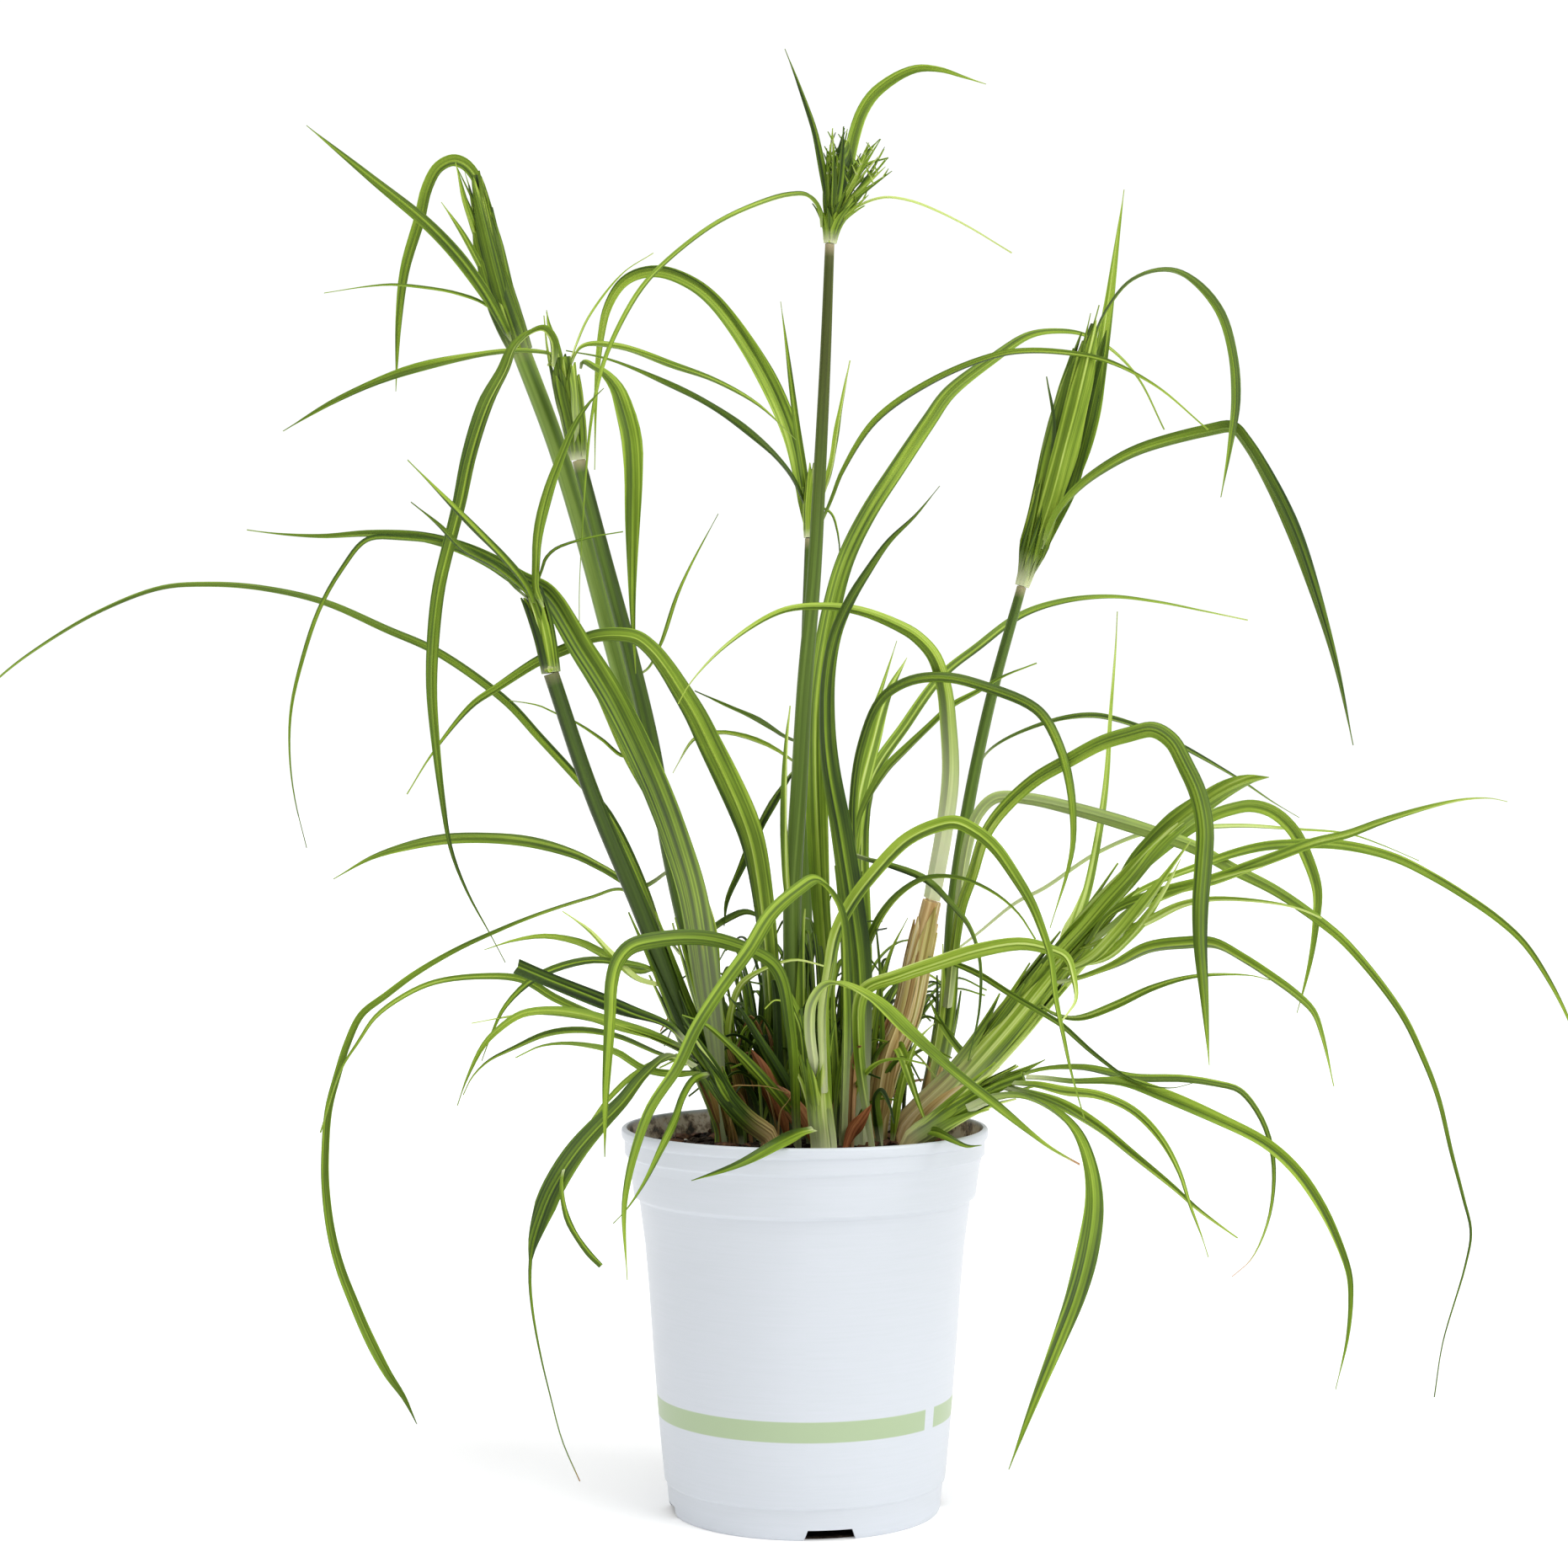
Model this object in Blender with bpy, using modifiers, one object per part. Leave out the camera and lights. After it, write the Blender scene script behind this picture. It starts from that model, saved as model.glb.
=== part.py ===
"""Potted papyrus plant in a one-quart nursery pot, for Blender 4.5. Metres, +Z up.

The origin is on the ground at the pot's axis, and the plant is seen from the front along +Y.
The pot and its soil are turned shapes. Culms and shoots are swept along their routes. Each leaf
is a channelled blade lofted along its route, from the stem that carries it to its tip.
"""

import math
from collections import namedtuple

import bmesh
import bpy
from mathutils import Matrix, Quaternion, Vector

MM = 0.001

# The pot's driving sizes.
RIM_DIAMETER = 0.1185
POT_HEIGHT = 0.123
WALL = 0.0011
FLOOR = 0.0016
FOOT_DEPTH = 0.0045
TURN_STEPS = 36
SOIL_STEPS = 18
NOTCH_COUNT = 4
NOTCH_ANGLE = math.radians(-80)
NOTCH_HEIGHT = 0.0033
NOTCH_TOP_WIDTH = 0.0140
NOTCH_FOOT_WIDTH = 0.0178
DRAIN_RADIUS = 0.0045
DRAIN_CIRCLE = 0.030

# The soil stands a little below the rim, in a low mound with lumps.
CLEARANCE = 0.0003
SOIL_EDGE = 0.1145
SOIL_CROWN = 0.0035
SOIL_LUMP = 0.0006

# Routes are sighted: each point is where it is seen from the eye, across and down in a square
# view of SIGHT_PX pixels a side, at a depth in millimetres behind the pot's axis.
SIGHT_PX = 1862
RIM_SIGHT_PX = 435
EYE_DISTANCE = 0.93
EYE_HEIGHT = 0.2335
EYE_ACROSS = -0.0067
FOCAL_PX = EYE_DISTANCE * RIM_SIGHT_PX / RIM_DIAMETER

# Blades: thickness, ring spacing, extra rings a radian of bend, the width in millimetres from
# which the section has four corners, channel depth over half width, the offset on a stem's end,
# and the width of a leaf that has dried to a thread.
BLADE_THICKNESS = 0.0009
BLADE_STEP = 0.021
BEND_LENGTH = 0.025
BROAD_BLADE = 5.0
CHANNEL = 0.34
END_OFFSET = 0.3
THREAD_WIDTH = 0.0028

# The depth in millimetres of each leaf that stands on the soil.
SOIL_DEPTHS = {
    "leaf_arch_behind": 18,
    "leaf_center_broad": -14,
    "leaf_left_broad": -14,
    "leaf_left_arch": 18,
    "leaf_back_reach": 22,
    "leaf_front_bend": -16,
    "leaf_front_left": -20,
    "leaf_right_curl": -22,
}

COLOURS = {
    "pot_white": ((0.83, 0.86, 0.90), 0.35),
    "soil_brown": ((0.045, 0.032, 0.022), 0.95),
    "culm_green": ((0.085, 0.130, 0.030), 0.45),
    "culm_olive": ((0.110, 0.110, 0.030), 0.45),
    "shoot_pale": ((0.300, 0.400, 0.130), 0.50),
    "sheath_tan": ((0.560, 0.370, 0.200), 0.70),
    "leaf_green": ((0.130, 0.270, 0.035), 0.45),
    "leaf_light": ((0.240, 0.400, 0.070), 0.45),
    "leaf_dark": ((0.050, 0.130, 0.022), 0.45),
}

Stem = namedtuple("Stem", "name colour radii depth route")
Blade = namedtuple(
    "Blade",
    "name on width depth route twist colour widest root_share slim cut tail",
    defaults=((0, 50, 45), "leaf_green", 0.25, 0.6, 1.7, False, 1.0),
)

# Culms and shoots: radii in millimetres from foot to top, depth at foot, middle and top.
STEMS = (
    Stem("culm_center", "culm_olive", (3.6, 2.7, 1.6), (6, 0, -4),
         ((946, 1358), (942, 1180), (940, 1080), (946, 980), (951, 880), (959, 760), (965, 700),
          (971, 600), (976, 500), (981, 400), (985, 320), (985, 290))),
    Stem("culm_left_tall", "culm_green", (3.4, 3.2, 3.3), (14, 11, 11),
         ((878, 1358), (848, 1200), (830, 1110), (812, 1040), (785, 950), (762, 890), (748, 840),
          (737, 800), (725, 757), (710, 700), (694, 640), (681, 595), (664, 540), (650, 500),
          (634, 455), (619, 419))),
    Stem("culm_left_mid", "culm_green", (3.0, 2.9, 2.3), (6, 3, 2),
         ((895, 1358), (858, 1250), (822, 1130), (803, 1060), (788, 970), (776, 900), (765, 845),
          (755, 800), (743, 760), (728, 700), (711, 640), (698, 585), (687, 547))),
    Stem("culm_left_low", "culm_green", (4.4, 3.1, 2.6), (-6, -20, -28),
         ((868, 1358), (830, 1250), (805, 1189), (780, 1119), (748, 1055), (719, 990), (690, 905),
          (668, 840), (654, 800))),
    Stem("culm_back", "culm_green", (2.3, 2.2, 2.0), (36, 50, 58),
         ((958, 1358), (957, 1100), (956, 900), (958, 730), (962, 640))),
    Stem("culm_right", "culm_green", (2.7, 2.3, 1.7), (20, 28, 34),
         ((1098, 1358), (1120, 1240), (1128, 1120), (1141, 1000), (1160, 908), (1179, 819),
          (1195, 755), (1213, 697))),
    Stem("shoot_left", "leaf_dark", (3.2, 2.7, 2.2), (-27, -33, -38),
         ((914, 1358), (893, 1336), (862, 1303), (838, 1265), (818, 1240))),
    Stem("shoot_front", "shoot_pale", (4.2, 4.0, 3.4), (-30, -31, -32),
         ((977, 1358), (973, 1320), (970, 1285))),
    Stem("shoot_middle", "leaf_green", (3.2, 2.8, 1.8), (4, 2, 0),
         ((1006, 1358), (1011, 1230), (1013, 1100), (1010, 1000))),
    Stem("shoot_right", "shoot_pale", (5.8, 6.2, 3.4), (-2, -8, -14),
         ((1078, 1352), (1130, 1292), (1180, 1238), (1235, 1170), (1280, 1115), (1310, 1080))),
    Stem("shoot_right_low", "shoot_pale", (3.8, 3.4, 2.6), (-30, -36, -42),
         ((1082, 1358), (1125, 1325), (1175, 1295), (1215, 1278))),
    Stem("sheath_dry", "sheath_tan", (4.2, 4.4, 3.4), (4, 1, -3),
         ((1038, 1358), (1050, 1270), (1076, 1205), (1090, 1140), (1106, 1070))),
)

# Bracts grow from the tops of the culms.
BRACTS = (
    Blade("bract_center_left", "umbel_center", 3.2, (-40, -70),
          ((982, 272), (973, 248), (960, 232), (939, 231), (901, 242), (850, 266), (790, 312),
           (760, 345), (730, 398), (714, 440), (702, 500), (696, 560), (692, 620), (688, 700),
           (688, 740)),
          widest=0.06, slim=0.8),
    Blade("bract_center_tip", "umbel_center", 3.6, (20, 22),
          ((992, 270), (1002, 240), (1008, 190), (1014, 160), (1022, 135), (1034, 115),
           (1049, 101), (1072, 87), (1092, 81), (1118, 83), (1143, 91), (1171, 100)),
          widest=0.4),
    Blade("bract_tall_straight", "umbel_left_tall", 4.4, (-25, -60),
          ((612, 405), (592, 376), (574, 345), (545, 305), (505, 263), (440, 210), (400, 178),
           (364, 149)),
          widest=0.35, slim=1.8),
    Blade("bract_tall_fold", "umbel_left_tall", 4.6, (34, 45),
          ((612, 375), (602, 335), (592, 290), (579, 245), (566, 211), (552, 195), (538, 191),
           (521, 200), (508, 225), (500, 260), (482, 320), (474, 380), (470, 465)),
          widest=0.6, slim=1.4, twist=(0, 32, 4)),
    Blade("bract_mid_droop", "umbel_left_mid", 7.4, (-45, -70),
          ((662, 436), (656, 405), (645, 391), (629, 395), (612, 412), (601, 440), (580, 480),
           (560, 540), (547, 600), (534, 650), (522, 700), (515, 760), (513, 818), (517, 875),
           (526, 952), (536, 1009), (555, 1059), (582, 1109), (600, 1143)),
          twist=(0, 60, 50), widest=0.2, slim=0.9),
    Blade("bract_mid_left", "umbel_left_mid", 3.6, (4, 20),
          ((664, 432), (655, 422), (630, 417), (600, 418), (560, 424), (480, 442), (400, 475),
           (336, 512)),
          widest=0.35, twist=(0, 62, 78)),
    Blade("bract_mid_hanging", "umbel_left_mid", 7.0, (-6, -6),
          ((680, 440), (692, 430), (703, 436), (717, 445), (731, 462), (740, 485), (749, 520),
           (752, 560), (752, 620), (751, 700), (752, 745), (755, 800)),
          twist=(0, 65, 60), widest=0.35, slim=1.0),
    Blade("bract_back_arch", "umbel_back", 7.0, (98, 114),
          ((960, 622), (950, 575), (938, 515), (905, 440), (850, 360), (820, 336), (785, 323),
           (757, 326), (738, 338), (722, 365), (714, 400), (709, 450), (706, 558)),
          twist=(0, 55, 60), widest=0.3, slim=1.1),
    Blade("bract_back_right", "umbel_back", 3.0, (36, 0),
          ((970, 622), (988, 592), (1001, 560), (1040, 500), (1107, 453), (1180, 423),
           (1222, 417), (1280, 421), (1318, 430), (1375, 460), (1435, 510)),
          widest=0.3),
    Blade("bract_low_upright", "umbel_left_low", 3.4, (-42, -54),
          ((639, 725), (637, 700), (637, 670), (638, 645), (642, 618), (652, 580), (665, 545),
           (682, 505), (700, 478), (717, 461)),
          widest=0.4),
    Blade("bract_right_spathe", "umbel_right", 6.6, (47, 54),
          ((1226, 670), (1248, 628), (1274, 566), (1290, 510), (1302, 450), (1314, 372),
           (1325, 296), (1335, 225)),
          twist=(0, 60, 60), widest=0.45, slim=1.1),
    Blade("bract_right_arch", "umbel_right", 4.0, (20, -20),
          ((1284, 428), (1302, 394), (1320, 358), (1341, 334), (1368, 322), (1394, 322),
           (1421, 338), (1448, 372), (1463, 422), (1467, 476), (1461, 525), (1450, 590)),
          widest=0.5),
    Blade("bract_right_long", "umbel_right", 5.0, (-4, -34),
          ((1232, 650), (1254, 612), (1280, 580), (1318, 552), (1356, 533), (1433, 512),
           (1463, 508), (1479, 525), (1509, 575), (1536, 632), (1559, 697), (1586, 789),
           (1607, 885)),
          twist=(0, 50, 55), widest=0.6, slim=1.3),
)

# Leaves grow from the shoots, or stand on the soil beside them.
LEAVES = (
    Blade("leaf_arch_behind", "soil", 7.4, (46, 140),
          ((990, 1358), (986, 1200), (975, 1050), (969, 883), (972, 819), (988, 723), (1004, 666),
           (1030, 612), (1065, 557), (1103, 500), (1126, 468), (1180, 426), (1222, 399),
           (1257, 394), (1287, 398), (1318, 414), (1352, 449), (1383, 510)),
          twist=(0, 50, 40)),
    Blade("leaf_center_broad", "soil", 8.4, (-22, -48),
          ((1024, 1358), (1023, 1230), (1020, 1143), (1013, 1085), (998, 989), (984, 911),
           (980, 860), (982, 800), (992, 750), (1010, 710), (1030, 678), (1055, 643),
           (1087, 612), (1116, 577)),
          twist=(0, 60, 50), widest=0.3, slim=1.5),
    Blade("leaf_left_broad", "soil", 12.4, (-20, -16),
          ((860, 1358), (836, 1180), (818, 1062), (800, 1000), (779, 942), (752, 880), (727, 830),
           (708, 798), (690, 770), (672, 739), (658, 716), (645, 702), (620, 690), (585, 668),
           (545, 650), (500, 638), (440, 634), (383, 637), (330, 634), (293, 629)),
          twist=(0, 75, 60), widest=0.22, slim=1.2),
    Blade("leaf_left_arch", "soil", 9.0, (-8, -20),
          ((922, 1358), (912, 1150), (902, 1055), (892, 1000), (880, 965), (860, 920), (843, 885),
           (826, 850), (808, 820), (790, 792), (774, 772), (756, 758), (732, 754), (703, 757),
           (675, 770), (640, 785), (592, 816), (560, 838), (510, 900), (483, 943)),
          twist=(0, 65, 50), widest=0.4, slim=1.0),
    Blade("leaf_far_left", "culm_left_low", 3.6, (6, -16),
          ((800, 1165), (768, 1060), (724, 970), (687, 927), (640, 876), (600, 833), (520, 776),
           (459, 749), (383, 716), (306, 699), (245, 695), (191, 699), (115, 728), (38, 774),
           (0, 803), (-38, 840)),
          twist=(0, 55, 60), widest=0.5),
    Blade("leaf_back_reach", "soil", 5.2, (110, 212),
          ((1030, 1340), (1030, 1180), (1030, 940), (1077, 860), (1119, 803), (1160, 770),
           (1211, 732), (1260, 715), (1318, 709), (1375, 715), (1433, 726), (1482, 736)),
          twist=(0, 40, 40)),
    Blade("leaf_middle_arch", "shoot_middle", 3.6, (-26, -62),
          ((1014, 1060), (1013, 946), (1023, 883), (1046, 830), (1080, 808), (1125, 804),
           (1173, 816), (1221, 835), (1240, 851), (1259, 888), (1269, 923), (1274, 962),
           (1274, 1003), (1266, 1041), (1256, 1073), (1247, 1102)),
          widest=0.5),
    Blade("leaf_left_low_sweep", "culm_left_mid", 3.4, (8, -42),
          ((822, 1135), (741, 1057), (701, 1066), (637, 1087), (586, 1108), (541, 1129),
           (493, 1157), (458, 1183), (430, 1205), (414, 1237), (401, 1278), (391, 1317),
           (387, 1365), (387, 1406), (393, 1459), (404, 1504), (420, 1546), (439, 1590),
           (461, 1632), (480, 1660), (495, 1691)),
          twist=(0, 55, 60), widest=0.55),
    Blade("leaf_cut_end", "shoot_left", 4.6, (-58, -84),
          ((814, 1226), (794, 1219), (749, 1202), (701, 1183), (653, 1164), (615, 1148)),
          twist=(0, 60, 60), widest=0.5, cut=True, colour="leaf_dark"),
    Blade("leaf_front_bend", "soil", 4.8, (-74, -104),
          ((946, 1358), (938, 1220), (920, 1148), (869, 1122), (827, 1114), (780, 1117),
           (750, 1125), (735, 1142), (728, 1167), (726, 1205), (723, 1253), (720, 1301),
           (718, 1374)),
          twist=(0, 60, 100), widest=0.6, colour="leaf_light", slim=2.6),
    Blade("leaf_front_left", "soil", 5.2, (-84, -140),
          ((1000, 1358), (1004, 1180), (996, 1075), (971, 1046), (949, 1058), (917, 1087),
           (891, 1129), (859, 1173), (828, 1221), (805, 1269), (773, 1317), (755, 1365),
           (745, 1406), (741, 1441), (745, 1520)),
          twist=(0, 40, 50), widest=0.5, colour="leaf_light"),
    Blade("leaf_left_hang", "shoot_left", 8.0, (-78, -102),
          ((830, 1258), (796, 1254), (765, 1278), (739, 1310), (710, 1339), (682, 1371),
           (656, 1412), (643, 1443), (632, 1479), (629, 1517), (632, 1555), (641, 1606),
           (654, 1660), (668, 1711), (689, 1759)),
          twist=(0, 60, 80), widest=0.35, slim=2.0, colour="leaf_dark", tail=0.53),
    Blade("leaf_over_rim", "shoot_front", 3.2, (-74, -80),
          ((966, 1338), (948, 1346), (930, 1354), (905, 1367), (870, 1385), (821, 1402)),
          twist=(0, 50, 50), widest=0.45),
    Blade("leaf_front_reach", "shoot_front", 4.8, (-112, -212),
          ((969, 1280), (962, 1221), (966, 1189), (987, 1167), (1035, 1186), (1083, 1230),
           (1130, 1272), (1178, 1310), (1241, 1359), (1282, 1382)),
          twist=(0, 30, 30), widest=0.4, colour="leaf_light"),
    Blade("leaf_right_drop", "shoot_front", 4.4, (-70, -112),
          ((978, 1295), (977, 1205), (984, 1157), (993, 1109), (1012, 1071), (1044, 1030),
           (1076, 998), (1108, 982), (1134, 977), (1157, 987), (1180, 1006), (1205, 1041),
           (1224, 1073), (1237, 1105), (1247, 1137), (1253, 1185), (1263, 1233), (1272, 1274),
           (1288, 1328)),
          twist=(0, 50, 50), widest=0.4),
    Blade("leaf_right_curl", "soil", 4.8, (-46, -84),
          ((1037, 1358), (1020, 1240), (1026, 1178), (1067, 1160), (1114, 1144), (1162, 1129),
           (1212, 1121), (1244, 1127), (1266, 1137), (1275, 1163), (1277, 1188), (1262, 1212)),
          twist=(0, 62, 92), widest=0.6, colour="leaf_light"),
    Blade("leaf_right_arch", "culm_right", 5.4, (-50, -94),
          ((1121, 1200), (1140, 1080), (1153, 1041), (1168, 993), (1189, 962), (1228, 926),
           (1266, 904), (1307, 882), (1339, 872), (1368, 866), (1390, 879), (1406, 907),
           (1422, 942), (1430, 984), (1428, 1029), (1425, 1073), (1425, 1121), (1430, 1185),
           (1436, 1265)),
          twist=(0, 50, 60), widest=0.7, slim=2.0),
    Blade("leaf_right_sweep", "culm_right", 4.8, (-6, -14),
          ((1128, 1130), (1148, 1010), (1161, 968), (1182, 948), (1221, 949), (1272, 960),
           (1323, 974), (1374, 990), (1419, 1006), (1460, 1029), (1515, 1057), (1566, 1092),
           (1600, 1121), (1663, 1200), (1690, 1254), (1709, 1304), (1724, 1368), (1738, 1422),
           (1747, 1463), (1740, 1504), (1713, 1595), (1703, 1659)),
          twist=(0, 55, 60), widest=0.3, slim=1.2),
    Blade("leaf_far_right", "shoot_right", 3.8, (6, 22),
          ((1290, 1105), (1335, 1070), (1381, 1045), (1420, 1030), (1460, 1015), (1500, 1005),
           (1540, 1002), (1580, 1002), (1620, 1008), (1660, 1020), (1700, 1040), (1740, 1064),
           (1780, 1092), (1810, 1120), (1840, 1165), (1866, 1218), (1892, 1292)),
          twist=(0, 55, 60), widest=0.4),
    Blade("leaf_right_level", "shoot_right", 3.8, (-42, -72),
          ((1283, 1112), (1320, 1084), (1380, 1060), (1440, 1045), (1480, 1030), (1520, 1015),
           (1560, 1000), (1600, 990), (1640, 975), (1700, 957), (1740, 949), (1770, 948),
           (1790, 952)),
          twist=(0, 55, 60), widest=0.3),
    Blade("leaf_right_hook", "shoot_right", 4.8, (34, 66),
          ((1300, 1090), (1325, 1060), (1352, 1030), (1400, 990), (1435, 969), (1460, 960),
           (1485, 956), (1510, 963), (1535, 985), (1553, 1020), (1564, 1057), (1562, 1099),
           (1556, 1140), (1546, 1182), (1540, 1203)),
          twist=(0, 55, 60), widest=0.3, root_share=0.9, slim=2.4),
    Blade("leaf_right_blunt", "shoot_right", 7.6, (-34, -70),
          ((1313, 1076), (1335, 1050), (1358, 1018), (1387, 987), (1419, 962), (1451, 940),
           (1483, 926), (1507, 923)),
          twist=(0, 10, -8), widest=0.3, root_share=0.9, slim=3.0),
    Blade("leaf_right_tip", "shoot_right", 4.2, (-74, -116),
          ((1248, 1155), (1284, 1161), (1323, 1147), (1362, 1127), (1403, 1121), (1441, 1121),
           (1473, 1137), (1508, 1159), (1540, 1182), (1559, 1201), (1570, 1230), (1584, 1290)),
          twist=(0, 55, 105), widest=0.4),
    Blade("leaf_low_broad", "shoot_right_low", 6.2, (-110, -148),
          ((1150, 1310), (1177, 1306), (1214, 1302), (1250, 1318), (1277, 1345), (1293, 1386),
           (1298, 1431), (1291, 1486), (1277, 1540), (1254, 1600), (1227, 1668), (1198, 1745)),
          twist=(0, 50, 60), widest=0.6, slim=1.3),
    Blade("leaf_low_long", "shoot_right_low", 4.4, (-60, -84),
          ((1218, 1277), (1240, 1281), (1272, 1285), (1332, 1286), (1377, 1300), (1445, 1329),
           (1504, 1359), (1540, 1391), (1568, 1431), (1588, 1472), (1602, 1513), (1604, 1545),
           (1600, 1590), (1586, 1650)),
          twist=(0, 50, 60)),
    Blade("leaf_pale_arch", "sheath_dry", 6.2, (-22, -44),
          ((1107, 1064), (1120, 985), (1128, 920), (1126, 860), (1122, 819), (1110, 780),
           (1090, 757), (1071, 745), (1023, 726), (975, 720), (927, 726), (864, 765), (819, 812),
           (805, 836)),
          twist=(0, 50, 40), widest=0.2, slim=1.0, colour="leaf_light", root_share=1.0),
)

# Thin leaves that are fused to the stem or blade that they grow from.
SLIM_LEAVES = (
    Blade("leaf_left_level", "culm_left_mid", 3.9, (30, 40),
          ((796, 1035), (760, 1052), (717, 1031), (685, 1015), (637, 1001), (589, 995),
           (529, 996), (478, 1006), (439, 1019), (396, 1044)), widest=0.6),
    Blade("leaf_low_middle", "shoot_right_low", 3.8, (-72, -120),
          ((1190, 1290), (1254, 1309), (1300, 1336), (1345, 1372), (1391, 1409), (1422, 1436),
           (1470, 1470))),
    Blade("leaf_low_inner", "shoot_right_low", 2.8, (-80, -110),
          ((1195, 1287), (1230, 1288), (1263, 1295), (1304, 1300), (1345, 1318), (1377, 1350),
           (1400, 1391), (1413, 1431), (1427, 1468), (1435, 1493))),
    Blade("leaf_low_hook", "shoot_right_low", 2.6, (-30, -40),
          ((1185, 1291), (1227, 1272), (1286, 1268), (1347, 1280), (1404, 1281), (1445, 1287),
           (1472, 1295), (1495, 1323), (1509, 1359), (1513, 1400), (1506, 1450), (1486, 1495),
           (1463, 1516))),
    Blade("leaf_right_upright", "shoot_right", 3.0, (20, 40),
          ((1262, 1138), (1279, 1092), (1291, 1057), (1307, 971), (1314, 914), (1318, 850),
           (1325, 766), (1327, 726)), widest=0.2),
    Blade("leaf_right_yellow", "shoot_right", 3.0, (-50, -84),
          ((1266, 1133), (1300, 1122), (1335, 1108), (1368, 1092), (1403, 1075), (1444, 1068), (1515, 1073),
           (1546, 1080), (1570, 1090))),
    Blade("leaf_right_under", "shoot_right", 2.6, (-50, -80),
          ((1225, 1184), (1250, 1203), (1280, 1208), (1323, 1194), (1371, 1172), (1419, 1159),
           (1483, 1158), (1508, 1164))),
    Blade("leaf_over_rim_right", "shoot_right_low", 3.0, (-50, -62),
          ((1098, 1343), (1112, 1344), (1130, 1352), (1150, 1361), (1165, 1360))),
    Blade("leaf_right_hair_low", "culm_right", 2.4, (56, 84),
          ((1128, 1135), (1161, 1108), (1205, 1073), (1240, 1055), (1300, 1015), (1360, 990),
           (1400, 985), (1440, 982), (1480, 981), (1540, 985), (1600, 990), (1640, 1003),
           (1685, 1022))),
    Blade("leaf_right_hair_high", "culm_right", 2.4, (60, 90),
          ((1158, 915), (1175, 890), (1228, 863), (1298, 850), (1355, 864), (1390, 879),
           (1471, 925), (1511, 952), (1543, 971))),
    Blade("leaf_right_dark", "sheath_dry", 2.2, (-36, -54),
          ((1092, 1135), (1127, 1142), (1160, 1155), (1200, 1180), (1250, 1210), (1262, 1218), (1300, 1252),
           (1345, 1283), (1390, 1292), (1420, 1285))),
    Blade("leaf_middle_high", "shoot_middle", 3.8, (-4, -6),
          ((1012, 1026), (1023, 966), (1052, 915), (1071, 895), (1103, 864), (1131, 838),
           (1160, 822), (1192, 803), (1231, 787))),
    Blade("leaf_middle_upright", "shoot_middle", 4.6, (26, 56),
          ((1012, 1046), (1018, 960), (1036, 883), (1052, 828), (1077, 781))),
    Blade("leaf_middle_low_arch", "shoot_middle", 2.8, (-22, -42),
          ((1012, 1190), (1025, 1140), (1045, 1090), (1070, 1060), (1100, 1043), (1140, 1043),
           (1180, 1060), (1210, 1085), (1230, 1115))),
    Blade("leaf_middle_vertical", "shoot_middle", 2.4, (-32, -50),
          ((1010, 1015), (1030, 1020), (1060, 1028), (1100, 1045), (1130, 1075), (1150, 1100),
           (1163, 1140), (1163, 1200), (1150, 1260))),
    Blade("leaf_center_upright", "culm_center", 3.4, (-8, -8),
          ((941, 1095), (934, 1040), (932, 960), (934, 883), (938, 838)), widest=0.5),
    Blade("leaf_center_fold", "culm_center", 3.2, (8, 12),
          ((951, 903), (935, 925), (905, 975), (880, 1030), (863, 1070), (860, 1100)), slim=3.0),
    Blade("leaf_center_hair", "culm_center", 2.2, (10, 20),
          ((952, 888), (930, 874), (898, 854), (863, 838), (825, 820))),
    Blade("leaf_center_hook", "culm_center", 2.2, (14, 22),
          ((951, 905), (925, 892), (885, 875), (853, 870), (825, 877), (799, 918))),
    Blade("leaf_left_long_arc", "shoot_left", 2.8, (-26, -10),
          ((836, 1264), (785, 1237), (735, 1218), (694, 1202), (659, 1186), (621, 1164),
           (573, 1160), (516, 1167), (478, 1184), (446, 1208), (426, 1237), (404, 1272),
           (380, 1345))),
    Blade("leaf_left_dark_arc", "culm_left_low", 2.9, (-10, -14),
          ((788, 1140), (762, 1152), (740, 1145), (720, 1135), (690, 1120), (650, 1112),
           (610, 1117), (575, 1128))),
    Blade("leaf_left_yellow", "culm_left_low", 2.6, (-26, -34),
          ((798, 1172), (757, 1163), (725, 1132), (700, 1105), (668, 1082))),
    Blade("leaf_left_inner_arc", "culm_left_low", 3.0, (-32, -40),
          ((797, 1165), (770, 1150), (730, 1143), (700, 1141), (660, 1150), (630, 1165),
           (600, 1195), (585, 1225), (572, 1260))),
    Blade("leaf_left_short", "shoot_left", 3.4, (-36, -54),
          ((828, 1252), (800, 1240), (776, 1230), (733, 1217), (700, 1206), (660, 1200),
           (620, 1204), (590, 1224), (573, 1243), (554, 1282), (543, 1313))),
    Blade("leaf_left_flat_arc", "shoot_left", 3.0, (-24, -14),
          ((838, 1266), (785, 1252), (735, 1232), (690, 1224), (650, 1228), (610, 1245),
           (580, 1260), (560, 1280), (550, 1300))),
    Blade("leaf_left_low_hair", "shoot_left", 2.2, (-42, -46),
          ((826, 1250), (790, 1256), (755, 1274), (726, 1301), (701, 1333), (682, 1361))),
    Blade("leaf_left_low_bend", "shoot_left", 3.0, (-84, -104),
          ((846, 1275), (826, 1281), (812, 1302), (802, 1330), (785, 1365), (765, 1405),
           (745, 1435), (728, 1453))),
    Blade("leaf_left_split_end", "leaf_left_hang", 1.8, (-84, -90),
          ((672, 1388), (667, 1405), (669, 1428), (675, 1450), (686, 1470), (700, 1489),
           (714, 1503)), widest=0.6, cut=True),
)

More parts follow.
